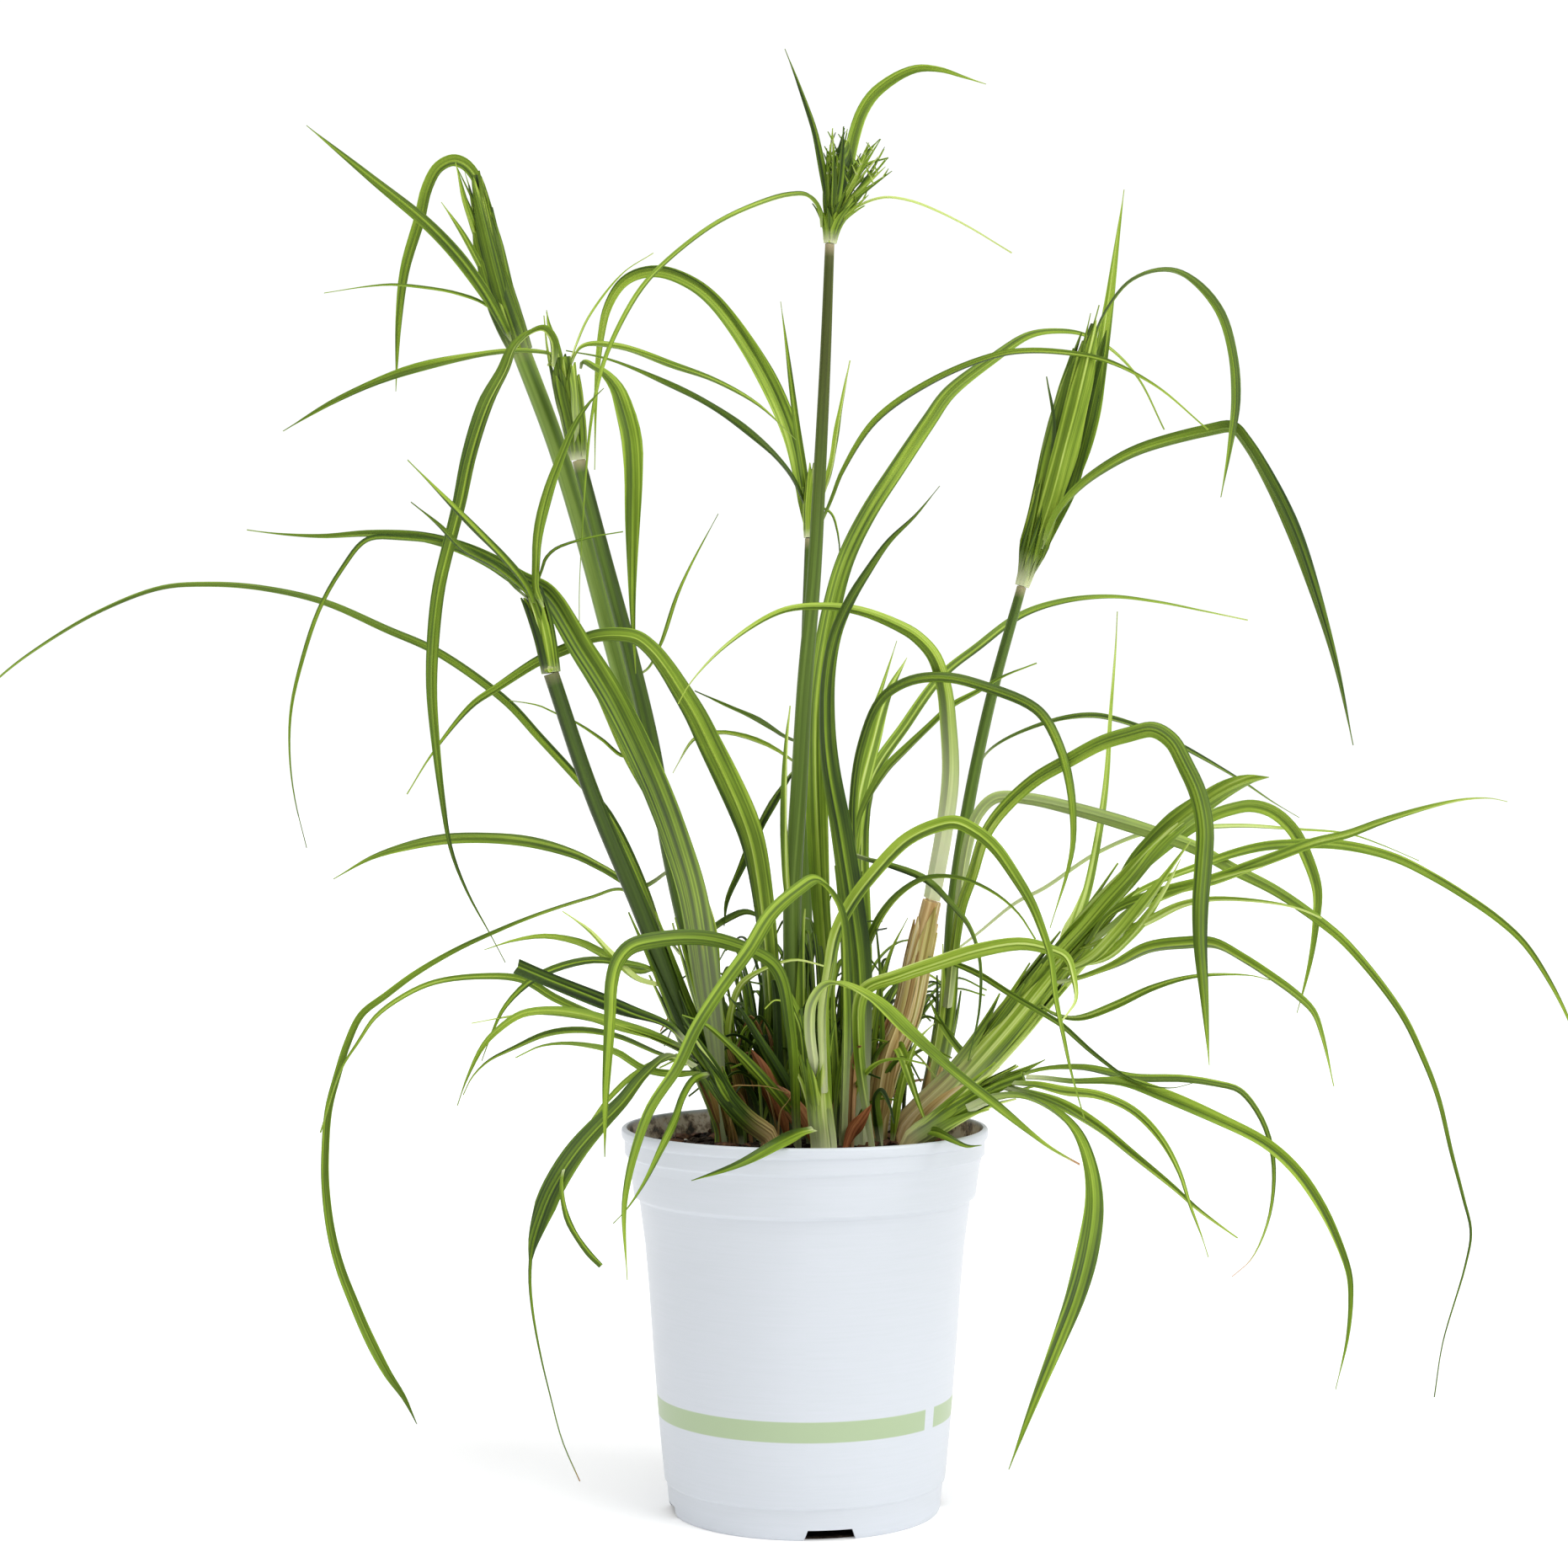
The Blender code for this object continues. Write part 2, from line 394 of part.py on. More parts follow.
# The heart of each culm's umbel, a funnel of sheaths and young rays that stands on the culm.
# Its radii are in millimetres, one at each point of its route. Thin rays are fused to it.
Umbel = namedtuple("Umbel", "name on radii depth route rays")
UMBELS = (
    Umbel("umbel_center", "culm_center", (1.7, 2.6, 6.0, 5.0, 2.0), (-4, -4, -2),
          ((985, 286), (988, 262), (997, 222), (1001, 195), (1003, 168)),
          (Blade("ray_up_left", "", 2.6, (-10, -26),
                 ((985, 275), (981, 225), (973, 180), (966, 150), (947, 96), (932, 58))),
           Blade("ray_thin_right", "", 2.4, (8, 26),
                 ((988, 272), (1003, 258), (1013, 249), (1034, 238), (1054, 234), (1080, 238),
                  (1105, 247), (1143, 265), (1202, 300))),
           Blade("ray_a", "", 3.0, (0, 4), ((990, 262), (1006, 226), (1030, 196), (1055, 187))),
           Blade("ray_b", "", 3.0, (6, 10), ((990, 262), (1006, 220), (1024, 188), (1045, 165))),
           Blade("ray_c", "", 3.0, (-10, -14), ((988, 262), (990, 215), (990, 175))),
           Blade("ray_d", "", 3.0, (-12, -18), ((988, 262), (998, 205), (1002, 150))))),
    Umbel("umbel_left_tall", "culm_left_tall", (3.4, 4.8, 4.6, 3.2, 1.2), (11, 10, 10),
          ((618, 416), (603, 380), (590, 342), (577, 280), (564, 208)),
          (Blade("ray_left", "", 2.6, (2, -6),
                 ((592, 352), (572, 318), (548, 275), (524, 240))),
           Blade("ray_up", "", 2.6, (4, 0), ((590, 340), (570, 290), (552, 240), (541, 193))),
           Blade("ray_right", "", 3.0, (16, 18),
                 ((596, 345), (594, 300), (586, 262), (576, 226))))),
    Umbel("umbel_left_mid", "culm_left_mid", (2.3, 3.4, 4.2, 3.8), (2, 0, -2),
          ((686, 544), (682, 510), (674, 465), (668, 424)),
          (Blade("ray_spike", "", 2.4, (2, 4), ((668, 440), (660, 408), (652, 386), (649, 368))),
           Blade("ray_thin_arc", "", 2.6, (20, 40),
                 ((674, 440), (685, 408), (700, 375), (740, 324), (776, 300))),
           Blade("ray_thin_right", "", 2.6, (30, 60),
                 ((674, 440), (690, 412), (735, 412), (800, 434), (850, 452), (900, 480),
                  (945, 522))))),
    Umbel("umbel_left_low", "culm_left_low", (2.6, 2.9, 3.1, 2.6), (-28, -28, -28),
          ((653, 797), (648, 765), (640, 732), (630, 703)),
          (Blade("ray_high", "", 3.0, (-60, -84),
                 ((636, 722), (625, 697), (600, 665), (568, 632), (484, 546))),
           Blade("ray_low", "", 2.8, (-52, -74),
                 ((634, 716), (620, 698), (587, 672), (549, 651), (522, 624), (488, 596))),
           Blade("ray_droop", "", 2.2, (-34, -14),
                 ((634, 716), (612, 698), (587, 672), (536, 648), (478, 639), (436, 641),
                  (406, 676), (380, 722), (360, 780), (346, 841), (344, 894), (350, 948),
                  (364, 1007))))),
    Umbel("umbel_right", "culm_right", (1.9, 3.6, 4.8, 4.0, 1.4), (34, 33, 34),
          ((1215, 688), (1236, 620), (1262, 510), (1281, 440), (1298, 385)),
          (Blade("ray_outer", "", 3.2, (28, 24),
                 ((1240, 620), (1246, 560), (1251, 502), (1243, 447))),
           Blade("ray_inner", "", 3.4, (26, 27),
                 ((1248, 600), (1268, 500), (1284, 425), (1295, 372))),
           Blade("ray_far", "", 3.0, (34, 34),
                 ((1248, 600), (1274, 500), (1290, 420), (1305, 362))))),
    Umbel("umbel_back", "culm_back", (2.0, 3.0, 2.4, 1.2), (58, 59, 60),
          ((962, 635), (964, 605), (966, 575), (968, 550)),
          (Blade("ray_spike", "", 2.8, (66, 72),
                 ((963, 620), (948, 520), (938, 440), (927, 358))),
           Blade("ray_right", "", 3.0, (56, 58),
                 ((966, 618), (986, 560), (996, 500), (1009, 428))),
           Blade("ray_long", "", 3.4, (60, 70),
                 ((962, 615), (938, 563), (890, 515), (840, 480), (780, 450), (720, 426),
                  (672, 416))))),
)


def clear_scene():
    for old in list(bpy.data.objects):
        bpy.data.objects.remove(old, do_unlink=True)


def sighted(across, down, depth):
    """The point seen at this place in the view, at a depth in millimetres behind the axis."""
    away = EYE_DISTANCE + depth * MM
    half = SIGHT_PX / 2
    return Vector((
        EYE_ACROSS + (across - half) * away / FOCAL_PX,
        depth * MM,
        EYE_HEIGHT - (down - half) * away / FOCAL_PX,
    ))


def through_three(share, first, middle, last):
    """The value at a share from 0 to 1 of the parabola through three values."""
    return (first * (2 * share - 1) * (share - 1)
            + middle * 4 * share * (1 - share)
            + last * share * (2 * share - 1))


def shares_along(points, bend_length=0.0):
    """Each point's share of the whole, from 0 to 1, by length and by bend at a length a radian."""
    lengths = [0.0]
    for number, (a, b) in enumerate(zip(points, points[1:])):
        before = a - points[max(number - 1, 0)]
        bend = before.angle(b - a, 0.0) if number else 0.0
        lengths.append(lengths[-1] + (b - a).length + bend_length * bend)
    return [length / lengths[-1] for length in lengths]


def smooth_route(points, count, bend_length=0.0):
    """Points on a centripetal Catmull-Rom curve through the route, closer together in its bends."""
    ends = [points[0] * 2 - points[1]] + list(points) + [points[-1] * 2 - points[-2]]
    fine = []
    for p0, p1, p2, p3 in zip(ends, ends[1:], ends[2:], ends[3:]):
        t1 = math.sqrt((p1 - p0).length)
        t2 = t1 + math.sqrt((p2 - p1).length)
        t3 = t2 + math.sqrt((p3 - p2).length)
        for step in range(8):
            t = t1 + (t2 - t1) * step / 8
            a1 = p0.lerp(p1, t / t1)
            a2 = p1.lerp(p2, (t - t1) / (t2 - t1))
            a3 = p2.lerp(p3, (t - t2) / (t3 - t2))
            b1 = a1.lerp(a2, t / t2)
            b2 = a2.lerp(a3, (t - t1) / (t3 - t1))
            fine.append(b1.lerp(b2, (t - t1) / (t2 - t1)))
    fine.append(points[-1])
    shares = shares_along(fine, bend_length)
    even, place = [], 0
    for number in range(count):
        want = number / (count - 1)
        while place < len(fine) - 2 and shares[place + 1] < want:
            place += 1
        gap = shares[place + 1] - shares[place]
        even.append(fine[place].lerp(fine[place + 1], (want - shares[place]) / gap))
    return even


def sighted_route(route, depths):
    """The route in space, its depth running through the values at its foot, middle and end."""
    flat = [Vector((across, down)) for across, down in route]
    shares = shares_along(flat)
    return [sighted(*spot, through_three(share, *depths)) for spot, share in zip(flat, shares)]


def soil_height(x, y):
    """The soil's surface, a low mound with lumps."""
    mound = 1 - min(1.0, math.hypot(x, y) / (RIM_DIAMETER / 2)) ** 2
    lumps = math.sin(x * 150 + 1.3) * math.cos(y * 130 - 0.4)
    return SOIL_EDGE + SOIL_CROWN * mound + SOIL_LUMP * lumps


def on_soil(point, radius):
    """The spot under a point where a foot of this radius stands just clear of the soil."""
    around = [(point.x + radius * math.cos(angle), point.y + radius * math.sin(angle))
              for angle in (0, 1.57, 3.14, 4.71)]
    height = max(soil_height(x, y) for x, y in around)
    return Vector((point.x, point.y, height + 2 * CLEARANCE))


def material(name):
    colour, roughness = COLOURS[name]
    made = bpy.data.materials.get(name) or bpy.data.materials.new(name)
    made.use_nodes = True
    made.diffuse_color = (*colour, 1)
    shader = made.node_tree.nodes["Principled BSDF"]
    shader.inputs["Base Color"].default_value = (*colour, 1)
    shader.inputs["Roughness"].default_value = roughness
    shader.inputs["Metallic"].default_value = 0.0
    return made


def collection(name):
    made = bpy.data.collections.new(name)
    bpy.context.scene.collection.children.link(made)
    return made


def add_object(name, data, place, colour):
    made = bpy.data.objects.new(name, data)
    data.materials.append(material(colour))
    place.objects.link(made)
    return made


def hide_helper(helper):
    helper.hide_render = True
    helper.display_type = "WIRE"


def mesh_of(name, points, faces):
    mesh = bpy.data.meshes.new(name)
    mesh.from_pydata(points, [], faces)
    mesh.shade_smooth()
    mesh.set_sharp_from_angle(angle=math.radians(40))
    return mesh


def turned(name, outline, steps, place, colour):
    """A solid of revolution. The outline starts and ends on the axis, its outer side running down."""
    mesh = bpy.data.meshes.new(name)
    edges = [(i, i + 1) for i in range(len(outline) - 1)]
    mesh.from_pydata([(radius, 0, height) for radius, height in outline], edges, [])
    made = add_object(name, mesh, place, colour)
    screw = made.modifiers.new("Turn", "SCREW")
    screw.steps = screw.render_steps = steps
    screw.use_merge_vertices = True
    screw.merge_threshold = 0.0001
    screw.use_smooth_shade = True
    return made


def pot_outline():
    """The pot's half section: inside up from the floor, over the lip, down the outside."""
    rim = RIM_DIAMETER / 2
    outside = [
        (rim - 0.0005, POT_HEIGHT), (rim, POT_HEIGHT - 0.0006), (rim - 0.0002, 0.1196),
        (rim - 0.0009, 0.1192), (rim - 0.0011, 0.1146), (rim - 0.0020, 0.1140),
        (0.0552, 0.1012), (0.0534, 0.1000), (0.0515, 0.0850), (0.0489, 0.0510),
        (0.0453, 0.0100), (0.0446, 0.0095), (0.0438, 0.0010), (0.0433, 0.0),
    ]
    foot = [(0.0415, 0.0), (0.0418, FOOT_DEPTH), (0.0, FOOT_DEPTH)]
    floor_top = FOOT_DEPTH + FLOOR
    inside = [
        (0.0, floor_top), (0.0452 - WALL, floor_top + 0.0002), (0.0489 - WALL, 0.0510),
        (0.0515 - WALL, 0.0850), (0.0533 - WALL, 0.1012), (0.0550 - WALL, 0.1024),
        (0.0572 - WALL, 0.1150), (rim - WALL - 0.0006, POT_HEIGHT),
    ]
    return inside, outside, foot


def inner_radius(height):
    """The pot's inside radius at a height."""
    inside, _, _ = pot_outline()
    for (r0, z0), (r1, z1) in zip(inside[1:], inside[2:]):
        if height <= z1:
            return r0 + (r1 - r0) * (height - z0) / (z1 - z0)
    return inside[-1][0]


def prism(name, outline, low, high, place):
    """A cutter: an outline in the X-Z plane, running left, down and right, drawn out along Y."""
    count = len(outline)
    points = [(x, y, z) for y in (low, high) for x, z in outline]
    sides = [(i, count + i, count + (i + 1) % count, (i + 1) % count) for i in range(count)]
    caps = [tuple(range(count)), tuple(reversed(range(count, 2 * count)))]
    made = add_object(name, mesh_of(name, points, sides + caps), place, "pot_white")
    hide_helper(made)
    return made


def cut(target, cutter, operation="DIFFERENCE"):
    step = target.modifiers.new(cutter.name, "BOOLEAN")
    step.operation = operation
    step.object = cutter
    step.solver = "EXACT"


def make_pot(parts, helpers):
    inside, outside, foot = pot_outline()
    pot = turned("pot", inside + outside + foot, TURN_STEPS, parts, "pot_white")
    top, base = NOTCH_TOP_WIDTH / 2, NOTCH_FOOT_WIDTH / 2
    sides = [(-top, NOTCH_HEIGHT), (-base, -0.002), (base, -0.002), (top, NOTCH_HEIGHT)]
    for number in range(NOTCH_COUNT):
        angle = NOTCH_ANGLE + number * 2 * math.pi / NOTCH_COUNT
        notch = prism(f"notch_{number}", sides, 0.036, 0.050, helpers)
        notch.rotation_euler.z = angle - math.pi / 2
        cut(pot, notch)
        hole = [(DRAIN_RADIUS * math.cos(step * math.pi / 8), DRAIN_RADIUS * math.sin(step * math.pi / 8))
                for step in range(16)]
        drain = prism(f"drain_{number}", hole, -0.005, 0.005, helpers)
        drain.rotation_euler.x = math.pi / 2
        drain.location = (DRAIN_CIRCLE * math.cos(angle), DRAIN_CIRCLE * math.sin(angle),
                          FOOT_DEPTH + FLOOR / 2)
        cut(pot, drain)


def make_soil(parts):
    """The root ball fills the pot to a little below the rim, clear of the wall all round."""
    floor_top = FOOT_DEPTH + FLOOR + 0.0002 + CLEARANCE
    edge = inner_radius(SOIL_EDGE) - CLEARANCE
    heights = (SOIL_EDGE, 0.1040, 0.1000, 0.0850, 0.0510, floor_top)
    outline = [(0.0, SOIL_EDGE)] + [(edge * share, SOIL_EDGE) for share in (0.2, 0.4, 0.6, 0.8)]
    outline += [(inner_radius(z) - 2 * CLEARANCE, z) for z in heights] + [(0.0, floor_top)]
    draft = turned("soil_draft", outline, SOIL_STEPS, parts, "soil_brown")
    graph = bpy.context.evaluated_depsgraph_get()
    mesh = bpy.data.meshes.new_from_object(draft.evaluated_get(graph))
    bpy.data.objects.remove(draft, do_unlink=True)
    for vertex in mesh.vertices:
        if vertex.co.z > SOIL_EDGE - 0.0001:
            vertex.co.z = soil_height(vertex.co.x, vertex.co.y)
    soil = bpy.data.objects.new("potting_soil", mesh)
    parts.objects.link(soil)


def culm_section(helpers):
    """A culm's section, a triangle with round corners and a radius of one metre, as a guide."""
    data = bpy.data.curves.new("culm_section", "CURVE")
    data.dimensions = "2D"
    spline = data.splines.new("POLY")
    spline.points.add(8)
    for number, point in enumerate(spline.points):
        angle = 2 * math.pi * number / 9
        radius = 0.94 + 0.06 * math.cos(3 * angle)
        point.co = (radius * math.cos(angle), radius * math.sin(angle), 0, 1)
    spline.use_cyclic_u = True
    guide = bpy.data.objects.new("culm_section", data)
    helpers.objects.link(guide)
    hide_helper(guide)
    return guide


def stem_path(stem):
    """The stem's points and radii, straight up out of the soil and then along its route."""
    route = sighted_route(stem.route, stem.depth)
    foot = on_soil(route[0], stem.radii[0] * MM)
    rise = Vector((0, 0, 0.004))
    lifted = [point for point in route[1:] if point.z > foot.z + rise.z]
    length = sum((b - a).length for a, b in zip(lifted, lifted[1:]))
    points = [foot] + smooth_route([foot + rise] + lifted, max(5, round(length / 0.026)))
    shares = shares_along(points)
    radii = [through_three(share, *stem.radii) * MM for share in shares]
    return points, radii


def make_stem(stem, section, parts):
    """The section swept along the stem's path, then its end caps joined to it."""
    data = bpy.data.curves.new(stem.name, "CURVE")
    data.dimensions = "3D"
    data.bevel_mode = "OBJECT"
    data.bevel_object = section
    data.use_fill_caps = True
    data.twist_mode = "MINIMUM"
    points, radii = stem_path(stem)
    spline = data.splines.new("POLY")
    spline.points.add(len(points) - 1)
    for spot, point, radius in zip(spline.points, points, radii):
        spot.co = (*point, 1)
        spot.radius = radius
    draft = add_object(stem.name + "_draft", data, parts, stem.colour)
    graph = bpy.context.evaluated_depsgraph_get()
    mesh = bpy.data.meshes.new_from_object(draft.evaluated_get(graph))
    bpy.data.objects.remove(draft, do_unlink=True)
    whole = bmesh.new()
    whole.from_mesh(mesh)
    bmesh.ops.remove_doubles(whole, verts=whole.verts, dist=0.00001)
    bmesh.ops.recalc_face_normals(whole, faces=whole.faces)
    whole.to_mesh(mesh)
    whole.free()
    parts.objects.link(bpy.data.objects.new(stem.name, mesh))


def umbel_path(umbel, stems):
    """The heart's points, from just above its culm, and its radii."""
    culm, _ = stem_path(stems[umbel.on])
    along = (culm[-1] - culm[-2]).normalized()
    route = [culm[-1] + along * CLEARANCE] + sighted_route(umbel.route, umbel.depth)[1:]
    points = smooth_route(route, 9)
    own, marks = shares_along(points), shares_along(route)
    radii = []
    for share in own:
        low = max(i for i in range(len(marks) - 1) if marks[i] <= share + 1e-9)
        blend = (share - marks[low]) / (marks[low + 1] - marks[low])
        radii.append((umbel.radii[low] + (umbel.radii[low + 1] - umbel.radii[low]) * blend) * MM)
    return points, radii


def carrier_path(name):
    """The points and radii of the stem, umbel heart or blade that carries a blade."""
    stems = {stem.name: stem for stem in STEMS}
    if name in stems:
        return stem_path(stems[name])
    for blade in LEAVES:
        if blade.name == name:
            points = sighted_route(blade.route, (depth_at_foot(blade), *blade.depth))
            return points, [0.0] * len(points)
    return umbel_path({umbel.name: umbel for umbel in UMBELS}[name], stems)


def blade_foot(blade, first, toward):
    """Where a blade starts: hugging its stem on the side that it leaves by, or on its end."""
    if blade.on == "soil":
        return on_soil(first, blade.width * MM * blade.root_share / 2), None
    points, radii = carrier_path(blade.on)
    fine, shares = smooth_route(points, 61), shares_along(points)
    nearest = min(range(1, 61), key=lambda i: (fine[i] - first).length)
    place = max(i for i in range(len(points) - 1) if shares[i] <= nearest / 60)
    blend = (nearest / 60 - shares[place]) / (shares[place + 1] - shares[place])
    radius = radii[place] + (radii[place + 1] - radii[place]) * blend
    along = (fine[nearest] - fine[nearest - 1]).normalized()
    away = toward - fine[nearest]
    away = (away - along * away.dot(along)).normalized()
    if nearest == 60:
        return fine[60] + along * 2 * CLEARANCE + away * radius * END_OFFSET, -away
    return fine[nearest] + away * (radius + CLEARANCE + BLADE_THICKNESS), -away


def blade_width(blade, share):
    """The blade's width at a share of its length, in metres. Past its tail it is a dried thread."""
    if share > blade.tail:
        return THREAD_WIDTH * (1 - share) / (1 - blade.tail)
    if share < blade.widest:
        rise = share / blade.widest
        rise = rise * rise * (3 - 2 * rise)
        return blade.width * MM * (blade.root_share + (1 - blade.root_share) * rise)
    if blade.cut:
        return blade.width * MM
    return blade.width * MM * max(0.0, 1 - ((share - blade.widest) / (1 - blade.widest)) ** blade.slim)


def blade_frames(points, upper):
    """The direction along the blade and the way its upper face looks, carried along the route."""
    frames, along = [], (points[1] - points[0]).normalized()
    if upper is None:
        outward = Vector((points[-1].x - points[0].x, points[-1].y - points[0].y, 0))
        upper = -outward
    upper = (upper - along * upper.dot(along)).normalized()
    for number in range(len(points)):
        ahead = points[min(number + 1, len(points) - 1)]
        behind = points[max(number - 1, 0)]
        turned_to = (ahead - behind).normalized()
        upper = along.rotation_difference(turned_to) @ upper
        along = turned_to
        frames.append((along.copy(), upper.copy()))
    return frames


def blade_mesh(name, blade, foot, upper):
    """A channelled blade, slim ones with a three-cornered section, running to a point or cut off."""
    route = sighted_route(blade.route, (foot.y / MM, *blade.depth))
    route[0] = foot
    length = sum((b - a).length for a, b in zip(route, route[1:]))
    bend = sum((b - a).angle(c - b) for a, b, c in zip(route, route[1:], route[2:]))
    count = min(24, max(6, round((length + bend * BEND_LENGTH) / BLADE_STEP)))
    points = smooth_route(route, count, BEND_LENGTH)
    shares = shares_along(points)
    frames = blade_frames(points, upper)
    along, face = frames[len(frames) // 2]
    sign = 1 if along.cross(face).y * face.y >= 0 else -1
    corners, faces = [], []
    rings = count if blade.cut else count - 1
    sides = 4 if blade.width >= BROAD_BLADE else 3
    for number in range(rings):
        half = blade_width(blade, shares[number]) / 2
        twist = through_three(shares[number], *blade.twist)
        turn = Quaternion(frames[number][0], sign * math.radians(twist))
        face = turn @ frames[number][1]
        side = frames[number][0].cross(face)
        thick = BLADE_THICKNESS / 2 * min(1.0, 0.35 + half / (blade.width * MM / 2))
        centre = points[number]
        edge = face * max(half * CHANNEL, thick if sides == 3 else 0.0)
        corners += [centre - side * half + edge, centre - face * thick,
                    centre + side * half + edge]
        if sides == 4:
            corners.append(centre + face * thick)
    for ring in range(rings - 1):
        low, high = sides * ring, sides * ring + sides
        for i in range(sides):
            j = (i + 1) % sides
            # Both skins of a wing are split from its edge, so that they never cross where it twists.
            if i % 2 == 0:
                faces += [(low + j, low + i, high + j), (low + i, high + i, high + j)]
            else:
                faces += [(low + j, low + i, high + i), (low + j, high + i, high + j)]
    last = sides * (rings - 1)
    if blade.cut:
        faces.append(tuple(last + i for i in reversed(range(sides))))
    else:
        corners.append(points[-1])
        faces += [(last + (i + 1) % sides, last + i, last + sides) for i in range(sides)]
    faces.append(tuple(range(sides)))
    return mesh_of(name, corners, faces)


def make_blade(blade, parts):
    first, toward = sighted_route(blade.route, (depth_at_foot(blade), *blade.depth))[:2]
    foot, upper = blade_foot(blade, first, toward)
    add_object(blade.name, blade_mesh(blade.name, blade, foot, upper), parts, blade.colour)


def depth_at_foot(blade):
    """The depth in millimetres where the blade starts: its carrier's own, or SOIL_DEPTHS' value."""
    if blade.on == "soil":
        return SOIL_DEPTHS[blade.name]
    points, _ = carrier_path(blade.on)
    heights = [abs(sighted_height(point) - blade.route[0][1]) for point in smooth_route(points, 40)]
    return smooth_route(points, 40)[heights.index(min(heights))].y / MM


def sighted_height(point):
    """How far down in the view a point is seen, in pixels."""
    return SIGHT_PX / 2 + (EYE_HEIGHT - point.z) * FOCAL_PX / (EYE_DISTANCE + point.y)


def heart_mesh(umbel, stems):
    """The umbel's heart: a six-sided spindle along its path."""
    points, radii = umbel_path(umbel, stems)
    culm, _ = stem_path(stems[umbel.on])
    corners, faces = [], []
    for number, (point, radius) in enumerate(zip(points, radii)):
        ahead = points[min(number + 1, len(points) - 1)] - points[max(number - 1, 0)]
        if number == 0:
            ahead = culm[-1] - culm[-2]
        level = ahead.to_track_quat("Z", "Y").to_matrix() @ Matrix.Rotation(0.3, 3, "Z")
        for step in range(6):
            angle = step * math.pi / 3
            corners.append(point + level @ Vector((math.cos(angle), math.sin(angle), 0)) * radius)
    count = len(points)
    for ring in range(count - 1):
        for i in range(6):
            j = (i + 1) % 6
            faces.append((6 * ring + i, 6 * ring + j, 6 * ring + 6 + j, 6 * ring + 6 + i))
    faces += [tuple(reversed(range(6))), tuple(range(6 * count - 6, 6 * count))]
    return mesh_of(umbel.name, corners, faces)


def fuse_blade(name, blade, start, target, helpers):
    """A blade from a start inside the target, joined to it in one solid."""
    made = add_object(name, blade_mesh(name, blade, start, None), helpers, blade.colour)
    hide_helper(made)
    cut(target, made, "UNION")


def make_umbel(umbel, stems, parts, helpers):
    heart = add_object(umbel.name, heart_mesh(umbel, stems), parts, "leaf_green")
    for ray in umbel.rays:
        start = sighted(*ray.route[0], umbel.depth[1])
        fuse_blade(f"{umbel.name}_{ray.name}", ray, start, heart, helpers)


def fuse_slim_leaf(blade, helpers):
    """A slim leaf starts on the middle line of what carries it."""
    points, _ = carrier_path(blade.on)
    start = sighted(*blade.route[0], depth_at_foot(blade))
    middle = min(smooth_route(points, 80), key=lambda point: (point - start).length)
    fuse_blade(blade.name, blade, middle, bpy.data.objects[blade.on], helpers)


def main():
    clear_scene()
    parts = collection("potted_papyrus")
    helpers = collection("cutters_and_guides")
    make_pot(parts, helpers)
    make_soil(parts)
    section = culm_section(helpers)
    stems = {stem.name: stem for stem in STEMS}
    for stem in STEMS:
        make_stem(stem, section, parts)
    for blade in BRACTS + LEAVES:
        make_blade(blade, parts)
    for umbel in UMBELS:
        make_umbel(umbel, stems, parts, helpers)
    for blade in SLIM_LEAVES:
        fuse_slim_leaf(blade, helpers)


main()
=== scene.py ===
"""The looks of the potted papyrus plant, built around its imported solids. Metres, +Z up.

Routes are sighted: across and down in a square view, at a depth behind the pot's axis. They are
the ones that the solids follow, so that each leaf and culm lies where its solid does.
"""

import math
import random
from collections import namedtuple

import bmesh
import bpy
import numpy as np
from mathutils import Matrix, Quaternion, Vector, noise


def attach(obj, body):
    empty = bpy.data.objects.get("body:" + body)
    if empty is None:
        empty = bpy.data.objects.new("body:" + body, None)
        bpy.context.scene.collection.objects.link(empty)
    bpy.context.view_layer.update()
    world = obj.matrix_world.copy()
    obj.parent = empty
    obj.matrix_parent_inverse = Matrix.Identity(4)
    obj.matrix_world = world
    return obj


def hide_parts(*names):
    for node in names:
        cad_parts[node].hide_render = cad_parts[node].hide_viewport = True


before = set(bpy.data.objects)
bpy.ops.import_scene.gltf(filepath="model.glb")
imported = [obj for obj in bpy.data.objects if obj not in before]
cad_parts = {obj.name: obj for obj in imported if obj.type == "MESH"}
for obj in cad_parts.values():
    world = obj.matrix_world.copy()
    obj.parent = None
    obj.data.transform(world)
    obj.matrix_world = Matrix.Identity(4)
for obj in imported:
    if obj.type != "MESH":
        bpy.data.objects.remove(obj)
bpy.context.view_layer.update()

MM = 0.001

# The eye that the routes are sighted from, and the view that they are measured in.
SIGHT_PX = 1862
RIM_SIGHT_PX = 435
RIM_DIAMETER = 0.1185
EYE_DISTANCE = 0.93
EYE_HEIGHT = 0.2335
EYE_ACROSS = -0.0067
FOCAL_PX = EYE_DISTANCE * RIM_SIGHT_PX / RIM_DIAMETER
SENSOR_MM = 36.0

# The pot and its soil.
POT_HEIGHT = 0.123
WALL = 0.0011
FOOT_DEPTH = 0.0045
FLOOR_TOP = FOOT_DEPTH + 0.0016
SOIL_EDGE = 0.1145
SOIL_CROWN = 0.0035
SOIL_LUMP = 0.0006
CLEARANCE = 0.0003

# Blades: the solid's thickness, extra rings a radian of bend, channel depth over half width, the
# offset on a stem's end, and how wide a dried thread is: its solid's width, and its share of it.
BLADE_THICKNESS = 0.0009
BEND_LENGTH = 0.025
CHANNEL = 0.34
END_OFFSET = 0.3
THREAD_WIDTH = 0.0028
THREAD_SHARE = 0.45
SECTION = (-1.0, -0.8, -0.48, -0.16, 0.0, 0.16, 0.48, 0.8, 1.0)
THINNEST_HALF = 0.00012

